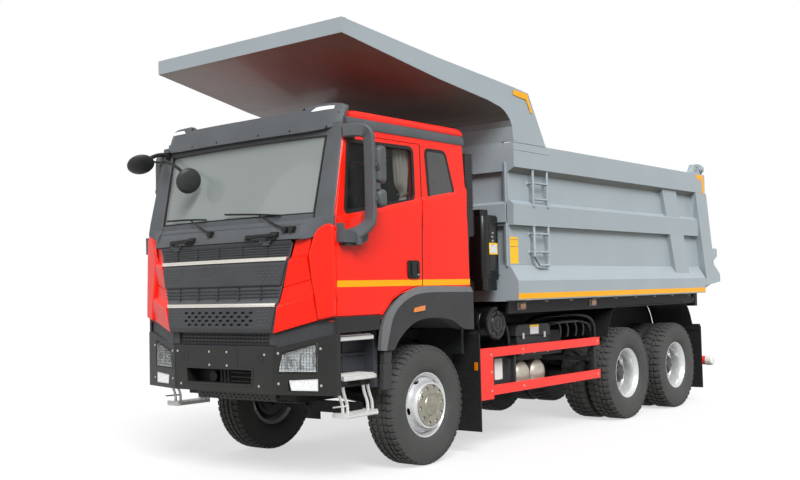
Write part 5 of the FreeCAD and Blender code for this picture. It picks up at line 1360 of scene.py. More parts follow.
def lid_bar(work, z0, z1, low, high, inset=0.004, tip=0.0, steps=25):
    """A bar across the lid between two heights, standing from low to high above its face."""
    rings = []
    for t in stations(-1.0, 1.0, steps):
        x0, x1 = t * (lid_half(z0) - inset), t * (lid_half(z1) - inset)
        rings.append([(x0, lid_y(x0, z0, low), z0), (x0, lid_y(x0, z0, high - tip), z0),
                      (x1, lid_y(x1, z1, high), z1),
                      (x1, lid_y(x1, z1, low), z1)])
    return work.skin(rings)


def lid_patch(work, x, z, wide, tall, low, high, slant=0.0):
    """A small raised block on the lid, leaning by slant."""
    outline = [(x - wide / 2, z - tall / 2), (x + wide / 2, z - tall / 2),
               (x + wide / 2 + slant, z + tall / 2), (x - wide / 2 + slant, z + tall / 2)]
    return work.slab(outline, lambda u, v, d: (u, lid_y(u, v, d), v), low, high)


slats = Workpiece("grille_slats")
SLAT_THICK = 0.01
UPPER_SLATS = [2.062 - 0.0225 * i for i in range(5)]
LOWER_SLATS = [1.68 - 0.03 * i for i in range(3)]
for z in UPPER_SLATS:
    lid_bar(slats, z - SLAT_THICK, z, 0.0, 0.013, tip=0.004)
for z in LOWER_SLATS:
    lid_bar(slats, z - SLAT_THICK * 1.3, z, 0.0, 0.014, tip=0.004)
for x in (-0.6, -0.3, 0.0, 0.3, 0.6):
    lid_patch(slats, x, 2.012, 0.007, 0.112, 0.0, 0.0145)
    lid_patch(slats, x * 0.9, 1.64, 0.007, 0.112, 0.0, 0.0155)
    for z in (1.598, 1.682, 1.965, 2.062):
        lid_patch(slats, x if z > 1.8 else x * 0.9, z, 0.012, 0.01, 0.0, 0.019)
slats.finish("front_lid", grille_black, "trim_grey", 0.0015)

panels = Workpiece("grille_panels")
lid_bar(panels, 1.7, 1.712, 0.0, 0.02, tip=0.012)
lid_bar(panels, 1.712, 1.88, 0.0, 0.021)
lid_bar(panels, 1.88, 1.912, 0.0, 0.01, tip=-0.01)
lid_bar(panels, 1.303, 1.335, 0.0, 0.018, tip=0.01)
lid_bar(panels, 1.506, 1.52, 0.0, 0.012, tip=-0.006)
lid_bar(panels, 2.062, 2.094, 0.0, 0.016, tip=0.008)
panels.finish("front_lid", grille_black, "trim_grey", 0.003)

pierced = Workpiece("pierced_panel")
lid_bar(pierced, 1.335, 1.506, 0.004, 0.018, steps=33)
holes = Workpiece("panel_holes")
HOLE_PITCH, HOLE_SIZE = 0.096, (0.046, 0.019)
HOLE_ROWS = (1.476, 1.441, 1.406, 1.371)
for row, z in enumerate(HOLE_ROWS):
    count = 10 - row % 2
    for i in range(count):
        x = (i - (count - 1) / 2) * HOLE_PITCH
        lid_patch(holes, x, z, *HOLE_SIZE, -0.02, 0.05, 0.008)
carve(pierced, holes).finish("front_lid", grille_black, "trim_grey")
backing = Workpiece("pierced_backing")
lid_bar(backing, 1.336, 1.505, 0.0005, 0.003, 0.03)
backing.finish("front_lid", seal_rubber, "dash_plastic")

dashes = Workpiece("embossed_dashes")
for side in (LEFT, RIGHT):
    for row in range(5):
        for i in range(4 - row % 2):
            lid_patch(dashes, side * (0.545 + 0.055 * i + 0.027 * (row % 2)), 1.85 - 0.028 * row, 0.036,
                      0.007, 0.02, 0.0235, 0.003)
    for row in range(5):
        for i in range(3 - row % 2):
            lid_patch(dashes, side * (0.535 + 0.048 * i + 0.024 * (row % 2)), 1.488 - 0.03 * row, 0.032,
                      0.007, 0.016, 0.0205, 0.003)
dashes.finish("front_lid", trim_grey, "trim_grey", 0.001)

for label, z in (("upper", 1.937), ("lower", 1.543)):
    strip = Workpiece(label + "_polished_strip")
    lid_bar(strip, z - 0.019, z - 0.004, 0.0, 0.026, 0.006, 0.008)
    lid_bar(strip, z - 0.004, z + 0.015, 0.0, 0.02, 0.006, -0.006)
    strip.finish("front_lid", polished, "ram_steel", 0.003)
print("grille slats", len(UPPER_SLATS) + len(LOWER_SLATS), "holes", 38)

# %% [markdown]
# The wipers, their knobs and two grab handles sit on the fixed cowl above the lid.

# %% Cowl fittings
def cowl_y(x, z, lift=0.0):
    end = curve(z, mm("2098 -1475, 2262 -1395"))
    return end - 0.06 * max(0.0, 1 - (x / 0.98) ** 2) - lift


crease = Workpiece("cowl_crease")
for z0, z1, rise in mm("2100 2113 6, 2222 2240 7"):
    rings = []
    for x in stations(-0.95, 0.95, 25):
        rings.append([(x, cowl_y(x, z0), z0), (x, cowl_y(x, z0, rise * 0.4), z0),
                      (x, cowl_y(x, z1, rise), z1), (x, cowl_y(x, z1), z1)])
    crease.skin(rings)
crease.finish("chassis", trim_grey, "trim_grey", 0.002)
for label, x0, x1 in (("right", -0.69, -0.35), ("left", 0.37, 0.715)):
    grab = Workpiece("grab_handle_" + label)
    z = 2.134
    path = [(x0, cowl_y(x0, z, -0.004), z), (x0 + 0.012, cowl_y(x0, z, 0.036), z),
            (x0 + 0.06, cowl_y(x0, z, 0.046), z),
            (x1 - 0.1, cowl_y(x1, z, 0.046), z + 0.004), (x1 - 0.03, cowl_y(x1, z, 0.05), z + 0.006),
            (x1, cowl_y(x1, z, 0.036), z + 0.006),
            (x1, cowl_y(x1, z, -0.004), z + 0.004)]
    strap(grab, path, 0.034, 0.024, (0, 1, 0.3))
    grab.slab(rounded([(x1 - 0.1, z - 0.03), (x1 + 0.012, z - 0.03), (x1 + 0.012, z + 0.036),
                       (x1 - 0.07, z + 0.036)], 0.015),
              lambda u, v, d: (u, cowl_y(u, v, d), v), -0.004, 0.03)
    grab.slab(rounded(rect(x0 - 0.012, x0 + 0.05, z - 0.022, z + 0.022), 0.012),
              lambda u, v, d: (u, cowl_y(u, v, d), v), -0.004, 0.024)
    grab.finish("chassis", seal_rubber, "dash_plastic", 0.003)
WIPERS = (("right", (-0.128, 2.19), (-0.52, 2.345), mm("-930 2362, -520 2352, -300 2336")),
          ("left", (0.8, 2.185), (0.418, 2.332), mm("-40 2368, 360 2346, 660 2318")))
for label, knob, joint, blade in WIPERS:
    wiper = Workpiece("wiper_" + label)
    root = (knob[0], cowl_y(*knob, 0.022), knob[1])
    tip = (joint[0], front_y(*joint) - 0.04, joint[1])
    strap(wiper, [root, tuple(Vector(root).lerp(Vector(tip), 0.5) + Vector((0, -0.012, 0))), tip], 0.016,
          0.01, (0, 1, 0.3))
    for x in ((knob[0], knob[0] + 0.075) if label == "left" else (knob[0],)):
        wiper.turned(mm("0 0, 0 26, 30 24, 40 15, 40 0"), (x, cowl_y(x, knob[1], 0.04), knob[1]), 20,
                     axis="y")
        wiper.block(x - 0.026, x + 0.026, cowl_y(x, knob[1], 0.02), cowl_y(x, knob[1], -0.006),
                    knob[1] - 0.03, knob[1] + 0.026)
    line = [(x, front_y(x, z) - 0.022, z) for x, z in blade]
    wiper.tube(line, 0.0075, 6, 2)
    wiper.tube([(x, y - 0.012, z + 0.004) for x, y, z in (line[0], line[1], line[2])], 0.005, 6, 2)
    wiper.finish("chassis", seal_rubber, "dash_plastic")
print("cowl fittings", len(WIPERS), "wipers")

# %% [markdown]
# ### Corner deflectors
#
# On each side a stepped red "fang" runs down beside the grille, with two folded faces that look up
# at the sky, and a larger panel with a rounded shoulder closes the corner.  Both lie in one slanted
# plane, which `slanted` places.

# %% Corner panels
def slanted(side, turn, x0, y0, rake=0.0, foot=0.0):
    """Places (x, z, height) on a face that starts at x0, y0, turns back and leans by rake above foot."""
    def place(x, z, height):
        y = y0 + tan(turn) * (x - x0) + rake * (z - foot) - height * cos(turn)
        return (side * (x + height * sin(turn)), y, z)
    return place


def bumper_top(x):
    return curve(abs(x), mm("702 1177, 1245 1294"))


def grille_edge(z):
    return curve(z, mm("1290 681, 1543 735, 2090 887"))


SEAM = mm("1400 1090, 1625 1055, 1746 1030, 1944 1002, 1967 1002, 2120 1036")
FANG = mm("2092 2118 0, 1948 1973 0, 1908 1936 36, 1692 1752 3, 1690 1749 -6, 1686 1744 -6, 1684 1742 1, "
    "1559 1640 0, 1516 1600 36, 1297 1404 4")
SHOULDER_PANEL = mm("1094 1400, 1243 1430, 1243 2200, 1205 2222, 1160 2214, 1100 2184, 1062 2135, 1042 2070, "
    "1012 1972, 1010 1944, 1037 1748, 1061 1625")
for side, name in SIDES.items():
    place = slanted(side, atan2(0.183, 0.566), 0.677, -1.528, 0.027, 1.3)
    fang = Workpiece("corner_fang_" + name)
    rings = []
    for inner, outer, lift in FANG:
        x0, x1 = grille_edge(inner) + 0.004, curve(outer, SEAM)
        rings.append([place(x0, inner, lift), place(x1 - 0.001, outer, lift), place(x1 - 0.001, outer, -0.03),
                      place(x0, inner, -0.03)])
    fang.skin(rings)
    fang_piece = fang.finish("chassis", cab_red, "cab_red", 0.0022)
    panel = Workpiece("corner_panel_" + name)
    panel.slab(SHOULDER_PANEL, place, -0.034, 0.03)
    panel.finish("chassis", cab_red, "cab_red", 0.03, segments=5)
    if side == LEFT:
        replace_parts(fang_piece, "corner_deflectors")
    flat_piece("corner_ledge_" + name, "chassis", ledge_grey, "trim_grey",
               [(0.702, bumper_top(0.702) - 0.01), (1.242, bumper_top(1.242) - 0.01), (1.242, 1.444),
                (1.092, 1.406), (0.684, 1.296)], place, -0.07, -0.03, 0.004)
print("corner panels from", round(grille_edge(1.3), 3), "to 1.243")

# %% [markdown]
# ### Bumper and lamps
#
# The CAD bumper keeps its shape and gets bolts, seams and towing fittings.  Each headlamp is a
# bowl with two reflectors behind a clear cover and a guard of welded wire.

# %% Bumper details
BUMPER_TURN = atan2(0.155, 0.575)


def bumper_face(side):
    return slanted(side, BUMPER_TURN, 0.67, -1.5)


ledge = Workpiece("bumper_top_ledge")
rings = []
for x in (-1.238, -0.95, -0.68, -0.66, 0.66, 0.68, 0.95, 1.238):
    y = -1.5 if abs(x) <= 0.67 else -1.5 + tan(BUMPER_TURN) * (abs(x) - 0.67)
    z = bumper_top(x)
    rings.append([(x, y - 0.001, z - 0.004), (x, y + 0.004, z + 0.004), (x, y + 0.05, z + 0.016),
                  (x, y + 0.06, z + 0.014), (x, y + 0.06, z - 0.01)])
ledge.skin(rings).finish("chassis", ledge_grey, "bumper_black", 0.003)
mesh_panel = Workpiece("mesh_recess")
mesh_panel.boxes(LEFT, "-700 700 -1474 -1462 1170 1310, -700 -600 -1492 -1462 1190 1300, "
    "600 700 -1492 -1462 1190 1300")
mesh_panel.finish("chassis", grille_black, "bumper_black", 0.004)
cells = Workpiece("recess_mesh")
for i in range(24):
    for k in range(3):
        x = -0.575 + 0.05 * i
        cells.tube([(x - 0.017, -1.48, 1.208 + 0.03 * k), (x, -1.48, 1.222 + 0.03 * k),
                    (x + 0.017, -1.48, 1.208 + 0.03 * k)], 0.0035, 5, 0)
for z in (1.193, 1.296):
    cells.block(-0.6, 0.6, -1.488, -1.474, z, z + 0.006)
cells.finish("chassis", frame_black, "bumper_black")

studs = Workpiece("bumper_bolts")
flat = mm("-620 1125, -575 825, -175 1125, 60 1125, -175 1005, 60 1005, 545 1110, 470 835")
studs.bolts([(x, -1.5, z) for x, z in flat], (0, -1, 0), 0.0075, 0.007)
for side in (LEFT, RIGHT):
    place = bumper_face(side)
    ends = mm("705 1125, 705 865, 1105 1165, 1105 855")
    studs.bolts([place(x, z, 0.0) for x, z in ends], (side * sin(BUMPER_TURN), -cos(BUMPER_TURN), 0), 0.0075,
                0.007)
studs.finish("chassis", bolt_steel, "ram_steel")
marks = Workpiece("bumper_seams")
for side in (LEFT, RIGHT):
    marks.skin([[(side * (0.664 + t), -1.5012, z), (side * (0.67 + t), -1.5012, z),
                 (side * (0.67 + t), -1.497, z), (side * (0.664 + t), -1.497, z)]
                for z, t in mm("772 -22, 1176 0")])
    ring = [(side * 0.5 + 0.036 * cos(a), 1.07 + 0.036 * sin(a)) for a in stations(0, tau * 23 / 24, 24)]
    gasket(marks, ring, -0.003, 0.0, lambda x, z, h: (x, -1.5 - h, z), -0.001, 0.0015)
marks.block(0.198, 0.202, -1.5012, -1.498, 1.0, 1.17)
marks.finish("chassis", seal_rubber, "bumper_black")
frame_line = rounded(mm("-484 838, 380 838, 398 980, -500 980"), 0.02)
rim = Workpiece("tow_opening_rim")
gasket(rim, frame_line, -0.01, 0.012, lambda x, z, h: (x, -1.5 - h, z), -0.055, 0.005)
rim.block(0.385, 0.448, -1.5005, -1.45, 0.826, 0.994)
rim.finish("chassis", bumper_black, "bumper_black", 0.003)
towing = Workpiece("tow_fittings")
towing.boxes(LEFT, "-640 560 -1350 -1340 720 1060, -640 -500 -1445 -1340 800 1020, "
    "450 560 -1445 -1340 800 1020, -520 460 -1445 -1340 800 826")
for x in (-0.115, -0.065, -0.02):
    towing.turned(mm("0 0, 0 13, 150 13, 150 0"), (x, -1.405, 0.832), 16, axis="z")
towing.turned(mm("0 0, 0 50, 30 50, 30 30, 50 30, 50 0"), (-0.24, -1.4, 0.895), 24, axis="y")
for z in (0.86, 0.9, 0.94, 0.975):
    towing.block(0.02, 0.43, -1.415, -1.385, z - 0.008, z + 0.006)
towing.finish("chassis", cast_black, "bumper_black", 0.002)
apron = Workpiece("lower_apron")
apron.along_x(mm("-1460 778, -1445 778, -1425 700, -1440 700"), -0.4, 0.62)
apron_holes = Workpiece("apron_holes")
for row, z in enumerate((0.742, 0.716)):
    for i in range(15):
        apron_holes.block(-0.33 + 0.06 * i + 0.02 * row, -0.312 + 0.06 * i + 0.02 * row, -1.5, -1.35, z,
                          z + 0.011)
carve(apron, apron_holes).finish("chassis", frame_black, "bumper_black")
apron_back = Workpiece("apron_underside")
apron_back.along_x(mm("-1424 770, -1404 696, -1100 655, -1100 670, -1395 712, -1412 770"), -0.4, 0.6)
apron_back.finish("chassis", frame_black, "bumper_black", 0.004)
print("bumper fitted")

# %% Headlamps and fog lamps
HEADLAMP = mm("700 963, 1066 966, 1066 1206, 743 1122")
FOG_LAMP = mm("824 812, 1068 812, 1068 905, 808 893")
LAMP_RIBS = (("890 985, 903 985, 920 1125, 905 1120", -0.048, -0.014),
             ("760 990, 774 990, 786 1098, 773 1094", -0.048, -0.014),
             ("780 1070, 825 1015, 835 1020, 800 1080", -0.048, -0.012),
             ("1020 1010, 1035 1010, 1040 1140, 1026 1135", -0.048, -0.014),
             ("800 812, 826 812, 810 893, 800 892", -0.036, -0.01))
WIRE_R, WIRE_LIFT = 0.0015, 0.004
for side, name in SIDES.items():
    place = bumper_face(side)
    bowl = Workpiece("lamp_bowls_" + name)
    for outline, deep in ((HEADLAMP, -0.052), (FOG_LAMP, -0.04)):
        bowl.slab(grown(outline, 0.004), place, deep - 0.004, deep)
        gasket(bowl, outline, -0.01, 0.004, place, deep, -0.004)
    for x, z, r in mm("835 1035 56, 975 1065 70"):
        ring_out = [(x + r * cos(a), z + r * sin(a)) for a in stations(0, tau * 27 / 28, 28)]
        gasket(bowl, ring_out, -0.012, 0.0, place, -0.05, -0.02)
        bowl.slab([(x + (u - x) * 0.45, z + (v - z) * 0.45) for u, v in ring_out], place, -0.05, -0.034)
    bowl_piece = bowl.finish("chassis", lamp_chrome, "lamp_glass", 0.002)
    if side == LEFT:
        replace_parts(bowl_piece, "lamps")
    inner = Workpiece("lamp_trim_" + name)
    for outline, low, high in LAMP_RIBS:
        inner.slab(mm(outline), place, low, high)
    inner.finish("chassis", seal_rubber, "dash_plastic", 0.002)
    flat_piece("lamp_covers_" + name, "chassis", lamp_glass, "lamp_glass", HEADLAMP, place, -0.01, -0.006,
               0.001)
    flat_piece("fog_lamp_" + name, "chassis", white_lens, "lamp_glass", rounded(FOG_LAMP, 0.012), place,
               -0.022, -0.004, 0.003)
    guard = Workpiece("lamp_guard_" + name)
    for x in stations(0.712, 1.062, 13):
        top = curve(x, mm("700 963, 743 1122, 1066 1206"))
        guard.tube([place(x, 0.965, WIRE_LIFT), place(x, top, WIRE_LIFT)], WIRE_R, 5, 0)
    for z in stations(0.97, 1.196, 10):
        start = curve(z, mm("963 700, 1122 743, 1206 1066"))
        guard.tube([place(start, z, WIRE_LIFT + WIRE_R), place(1.065, z, WIRE_LIFT + WIRE_R)], WIRE_R, 5, 0)
    gasket(guard, HEADLAMP, -0.004, 0.004, place, 0.0, 0.007)
    guard.finish("chassis", seal_rubber, "bumper_black")
print("lamps on both sides")

# %% [markdown]
# ## Equipment between the axles
#
# Behind the cab stand the air intake tower and its round filter.  Further back hang the battery
# box, the air tanks and black pipes, with the red side guard in front of them.

# %% Air intake
def rounded_box(work, x0, x1, y0, y1, z0, z1, radius, inset=0.0):
    """A moulded box whose outer side is drawn in a little at top and bottom."""
    outline = rounded(rect(x0, x1, y0, y1), radius)
    rings = []
    for share, shrink in ((0.0, 0.022 + inset), (0.012, 0.01 + inset), (0.04, 0.0), (0.96, 0.0),
                          (0.988, 0.01 + inset), (1.0, 0.024 + inset)):
        rings.append([(x, y, z0 + (z1 - z0) * share) for x, y in grown(outline, -shrink)])
    return work.skin(rings)


tower = Workpiece("intake_tower")
rounded_box(tower, 0.985, 1.2, 0.95, 1.258, 1.716, 2.392, 0.075)
rounded_box(tower, 1.02, 1.206, 1.01, 1.225, 1.79, 2.335, 0.05, 0.01)
rounded_box(tower, 1.0, 1.17, 0.955, 1.095, 2.38, 2.447, 0.03)
rounded_box(tower, 1.03, 1.185, 0.965, 1.215, 1.615, 1.73, 0.04)
tower.slab(rect(1.02, 1.225, 1.765, 1.775), beside(LEFT, 1.2), -0.02, 0.01)
intake_piece = tower.finish("chassis", box_black, "box_black", 0.008, segments=3)
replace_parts(intake_piece, "air_intake")
handles = Workpiece("tower_catches")
for z in (2.205, 2.165, 2.125, 2.085):
    handles.turned(mm("0 0, 0 12, 10 10, 14 0"), (1.205, 1.095 + 0.012 * sin(z * 80), z), 16)
handles.finish("chassis", bolt_steel, "ram_steel")
flat_piece("tower_label", "chassis", yellow_label, "box_black",
           rounded(rect(1.035, 1.19, 1.985, 2.105), 0.008), beside(LEFT, 1.206), -0.001, 0.0015)
flat_piece("tower_label_blank", "chassis", pale_label, "box_black", rect(1.05, 1.175, 2.0, 2.085),
           beside(LEFT, 1.2075), -0.001, 0.0015)
print("intake tower built")

# %% Air filter
FILTER = (0.0, 1.31, 1.27)


def spoke(work, angle, outline, x0, x1):
    """A bar on the filter's face: its outline is (radius, width) pairs round the angle."""
    c, s = cos(angle), sin(angle)
    work.along_x([(FILTER[1] + s * r - c * w, FILTER[2] + c * r + s * w) for r, w in outline], x0, x1)


drum = Workpiece("filter_housing")
drum.turned(mm("700 0, 700 168, 720 180, 960 180, 968 186, 985 186, 992 180, 1060 180, 1085 172, 1097 150, "
    "1099 132, 1092 124, 1088 98, 1098 90, 1099 62, 1092 50, 1094 30, 1099 24, 1099 0"), FILTER, 72)
for k in range(8):
    spoke(drum, tau * k / 8, mm("100 -6, 100 6, 168 6, 168 -6"), 1.08, 1.0975)
drum.boxes(LEFT, "640 800 1200 1420 1010 1200, 430 660 1230 1390 1010 1070")
drum.finish("chassis", box_black, "box_black", 0.004)
slots = Workpiece("filter_screen")
for k in range(26):
    spoke(slots, -2.2 + 0.088 * k, mm("148 -5, 148 5, 176 4, 176 -4"), 1.07, 1.099)
slots.finish("chassis", hub_black, "box_black", 0.001)
tail_pipe = Workpiece("filter_hose")
tail_pipe.tube(mm("800 1470 1300, 980 1560 1280, 1020 1625 1190, 1020 1625 900, 1000 1600 860"), 0.026, 14, 3)
tail_pipe.tube(mm("900 1100 2300, 900 960 2200, 930 930 1300, 800 960 1150"), 0.034, 14, 3)
tail_pipe.finish("chassis", box_black, "box_black")
print("air filter built")

# %% [markdown]
# A ribbed rubber duct climbs the cab's rear corner, and pressed ribs stiffen the wall behind it.

# %% Cab rear corner
duct = Workpiece("rear_corner_duct")
duct.along_z(mm("1120 638, 1214 638, 1222 648, 1222 740, 1210 752, 1120 752"), 2.16, 2.985)
for i in range(31):
    z = 2.185 + 0.026 * i
    duct.block(1.118, 1.226, 0.642, 0.757, z, z + 0.011)
duct.finish("chassis", step_black, "chassis_black", 0.003)
cab_back = Workpiece("cab_rear_fittings")
cab_back.boxes(LEFT, "-1100 1100 630 650 1500 1560, -1100 1100 630 650 2200 2260, "
    "-200 200 630 740 1280 1460")
for x in (-0.9, -0.45, 0.0, 0.45, 0.9):
    cab_back.block(x - 0.03, x + 0.03, 0.625, 0.648, 1.5, 2.9 if abs(x) > 0.8 else 2.24)
cab_back.finish("chassis", cab_red, "cab_red", 0.005)
print("cab's rear corner fitted")

# %% [markdown]
# The battery box has a lid with an overhanging lip and blank label, and the tanks end in domes.
# Pipes leave the gearbox and run along the frame.

# %% Battery box and tanks
battery = Workpiece("battery_box")
battery.along_x(mm("1735 895, 1690 1110, 1700 1130, 2345 1110, 2360 895"), 0.435, 1.085)
battery.along_x(mm("1660 1120, 1672 1205, 1692 1232, 1730 1240, 2310 1240, 2346 1228, 2365 1195, 2369 1100"),
                0.433, 1.099)
battery.boxes(LEFT, "440 1095 1140 1580 545 995, 440 900 2450 2950 865 1145, 1080 1098 1180 1540 600 950")
battery_piece = battery.finish("chassis", step_black, "chassis_black", 0.012, segments=3)
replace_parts(battery_piece, "equipment_boxes")
catches = Workpiece("battery_catches")
for y in (1.8, 2.24):
    catches.block(1.096, 1.106, y - 0.018, y + 0.018, 1.085, 1.15)
catches.bolts([(1.1, y, 0.93) for y in (1.78, 2.02, 2.3)], (1, 0, 0), 0.009, 0.008)
catches.finish("chassis", bolt_steel, "ram_steel", 0.002)
flat_piece("battery_label", "chassis", pale_label, "chassis_black", rect(1.945, 2.12, 1.13, 1.222),
           beside(LEFT, 1.099), -0.001, 0.0012)
flat_piece("battery_label_edge", "chassis", yellow_label, "chassis_black", rect(1.937, 2.128, 1.208, 1.23),
           beside(LEFT, 1.0985), -0.001, 0.002)
flat_piece("tank_plate", "chassis", white_paint, "bar_paint", rounded(rect(1.23, 1.372, 0.69, 0.905), 0.01),
           beside(LEFT, 1.098), -0.001, 0.006, 0.001)

TANK_R = 0.142
tanks = Workpiece("air_tanks")
for y in (1.855, 2.175):
    tanks.turned([(0.48, 0.0), (0.484, 0.06), (0.5, 0.11), (0.53, 0.136), (0.56, TANK_R), (0.995, TANK_R),
                  (1.0, TANK_R + 0.003),
                  (1.03, TANK_R + 0.003), (1.036, 0.138), (1.056, 0.122), (1.072, 0.09), (1.082, 0.045),
                  (1.0845, 0.0)], (0.0, y, 0.7), 64)
tanks_piece = tanks.finish("chassis", tank_metal, "tank_aluminium", 0.0, smooth=40)
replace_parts(tanks_piece, "tanks")
hangers = Workpiece("tank_hangers")
hangers.block(0.43, 1.0, 1.72, 2.33, 0.842, 0.894)
for y in (1.855, 2.175):
    for x in (0.62, 0.93):
        hangers.turned([(x - 0.02, TANK_R), (x - 0.02, TANK_R + 0.006), (x + 0.02, TANK_R + 0.006),
                        (x + 0.02, TANK_R)], (0.0, y, 0.7), 48)
hangers.finish("chassis", frame_black, "chassis_black", 0.003)
fuel = Workpiece("fuel_tank")
outline = rounded(rect(-1.14, -0.56, 0.48, 1.01), 0.09)
rings = []
for y, shrink in mm("1667 30, 1672 12, 1690 0, 3080 0, 3098 12, 3103 30"):
    rings.append([(x, y, z) for x, z in grown(outline, -shrink)])
fuel.skin(rings)
for y in (2.04, 2.4, 2.74):
    fuel.skin([[(x, y + dy, z) for x, z in grown(outline, rise)]
               for dy, rise in mm("-12 0, -4 3, 4 3, 12 0")])
fuel.finish("chassis", tank_metal, "tank_aluminium", 0.003, smooth=50)
straps = Workpiece("fuel_tank_straps")
for y in (1.76, 2.85):
    gasket(straps, outline, 0.001, 0.008, lambda x, z, h, y=y: (x, y + h, z), 0.0, 0.1)
    straps.block(-0.57, -0.43, y, y + 0.1, 0.8, 1.0)
straps.turned(mm("0 0, 0 60, 30 60, 34 52, 36 0"), (-1.0, 1.95, 1.004), 32, axis="z")
straps.finish("chassis", frame_black, "chassis_black", 0.004)
print("tanks and battery box built")

# %% [markdown]
# ### Guards, pipes and mudguards
#
# The red guard is bolted to black posts.  Black brake pipes loop over the frame behind it, and
# rubber flaps hang behind the wheels.

# %% Side guards
for side, name in SIDES.items():
    rails = Workpiece("guard_rails_" + name)
    rails.block(side * 1.175, side * 1.205, 0.8, 1.06, 0.517, 1.035)
    for low, high in mm("940 1035, 555 655"):
        rails.block(side * 1.175, side * 1.205, 1.05, 3.312, low, high)
    rails_piece = rails.finish("chassis", guard_red, "guard_red", 0.004)
    if side == LEFT:
        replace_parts(rails_piece, "side_guards")
    posts = Workpiece("guard_posts_" + name)
    for y, wide in mm("1490 34, 3220 60"):
        posts.block(side * 1.13, side * 1.1765, y, y + wide, 0.55, 1.04)
        posts.block(side * 0.43, side * 1.14, y, y + wide, 0.896 if y < 2 else 0.76, 0.94 if y < 2 else 0.81)
    posts.block(side * 0.98, side * 1.176, 0.812, 1.048, 0.53, 1.022)
    posts.finish("chassis", step_black, "chassis_black", 0.004)
    heads = Workpiece("guard_bolts_" + name)
    heads.bolts([(side * 1.205, 1.02, z) for z in (0.6, 0.79, 0.965)] + [(side * 1.205, y, z)
            for y in (1.626, 3.25) for z in (0.605, 0.988)],
                (side, 0, 0), 0.008, 0.007)
    heads.finish("chassis", bolt_steel, "ram_steel")
print("guards on both sides")

# %% Mudguards and flaps
ARCH_LINE = mm("3492 1030, 3560 1190, 3640 1320, 3720 1372, 3860 1384, 5560 1384, 5720 1374, 5830 1330, "
        "5910 1220, 5985 1060")
SHIELD_LINE = mm("3500 1020, 3566 1185, 3646 1315, 3730 1374, 5715 1374, 5825 1325, 5905 1215, 5975 1060")
for side, name in SIDES.items():
    arch = Workpiece("mudguards_and_flaps_" + name)
    path = eased([(0.0, y, z) for y, z in ARCH_LINE], 1)
    arch.skin([[(side * 0.632, p.y, p.z), (side * 1.215, p.y, p.z), (side * 1.215, p.y, p.z + 0.01),
                (side * 0.632, p.y, p.z + 0.01)] for p in path])
    arch.slab(SHIELD_LINE, beside(side, 0.626), -0.004, 0.004)
    for y in (3.87, 5.66):
        arch.block(side * 0.43, side * 0.64, y - 0.03, y + 0.03, 1.356, 1.372)
    arch.block(side * 0.925, side * 1.262, 0.732, 0.748, 0.225, 1.19)
    arch.block(side * 0.64, side * 1.24, REAR_AXLES[1] + 0.817, REAR_AXLES[1] + 0.833, 0.19, 1.045)
    arch.block(side * 0.64, side * 1.235, REAR_AXLES[1] + 0.806, REAR_AXLES[1] + 0.818, 0.99, 1.075)
    arch_piece = arch.finish("chassis", flap_rubber, "flap_rubber", 0.002, smooth=40)
    if side == LEFT:
        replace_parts(arch_piece, "mudguards")
print("mudguards over", len(REAR_AXLES), "axles")

# %% Pipes and air lines
for side, name in SIDES.items():
    pipes = Workpiece("brake_pipes_" + name)
    pipes.tube(sided(side, "420 2860 1180, 600 2900 1300, 1020 3000 1314, 1090 3230 1290, 1105 3360 1205, "
        "1110 3365 1060, 1110 3353 680"), 0.022, 12, 3)
    pipes.tube(sided(side, "420 2800 1120, 700 2900 1238, 1020 2976 1244, 1080 3200 1215, 1090 3290 1170, "
        "1085 3300 1100"),
               0.016, 10, 3)
    pipes.tube(sided(side, "900 2840 945, 900 3100 905, 920 3500 740"), 0.014, 8, 1)
    pipes.finish("chassis", box_black, "box_black")
    springs = Workpiece("coiled_air_lines_" + name)
    for i, y in enumerate((2.64, 2.81, 3.0, 3.17)):
        springs.tube([(side * 1.05, y, 1.225), (side * 1.075, y + 0.01, 1.15), (side * 1.06, y, 1.06)], 0.01,
                     8, 2)
    springs.tube(sided(side, "420 2560 1100, 980 2580 1215, 1050 2640 1230, 1050 3180 1230"), 0.013, 8, 1)
    springs.finish("chassis", hub_black, "box_black")
print("pipes on both sides")

# %% Side markers
for side, name in SIDES.items():
    mark = Workpiece("side_markers_" + name)
    backs = Workpiece("marker_bases_" + name)
    for y in (1.6, 3.15):
        outline = rounded(rect(y - 0.088, y + 0.088, 1.404, 1.484), 0.014)
        backs.slab(outline, beside(side, 1.196), -0.02, 0.026)
        mark.slab(rounded(rect(y - 0.04, y + 0.066, 1.418, 1.472), 0.01), beside(side, 1.196), 0.01, 0.038)
    backs.finish("bed", lamp_base, "bed_grey", 0.003)
    mark.finish("bed", amber_lens, "bed_grey", 0.004)
    reflector = Workpiece("flap_reflector_" + name)
    reflector.block(side * 1.197, side * 1.238, 0.729, 0.7395, 0.83, 0.91)
    reflector.finish("chassis", amber_lens, "lamp_glass", 0.002)
print("markers on both sides")

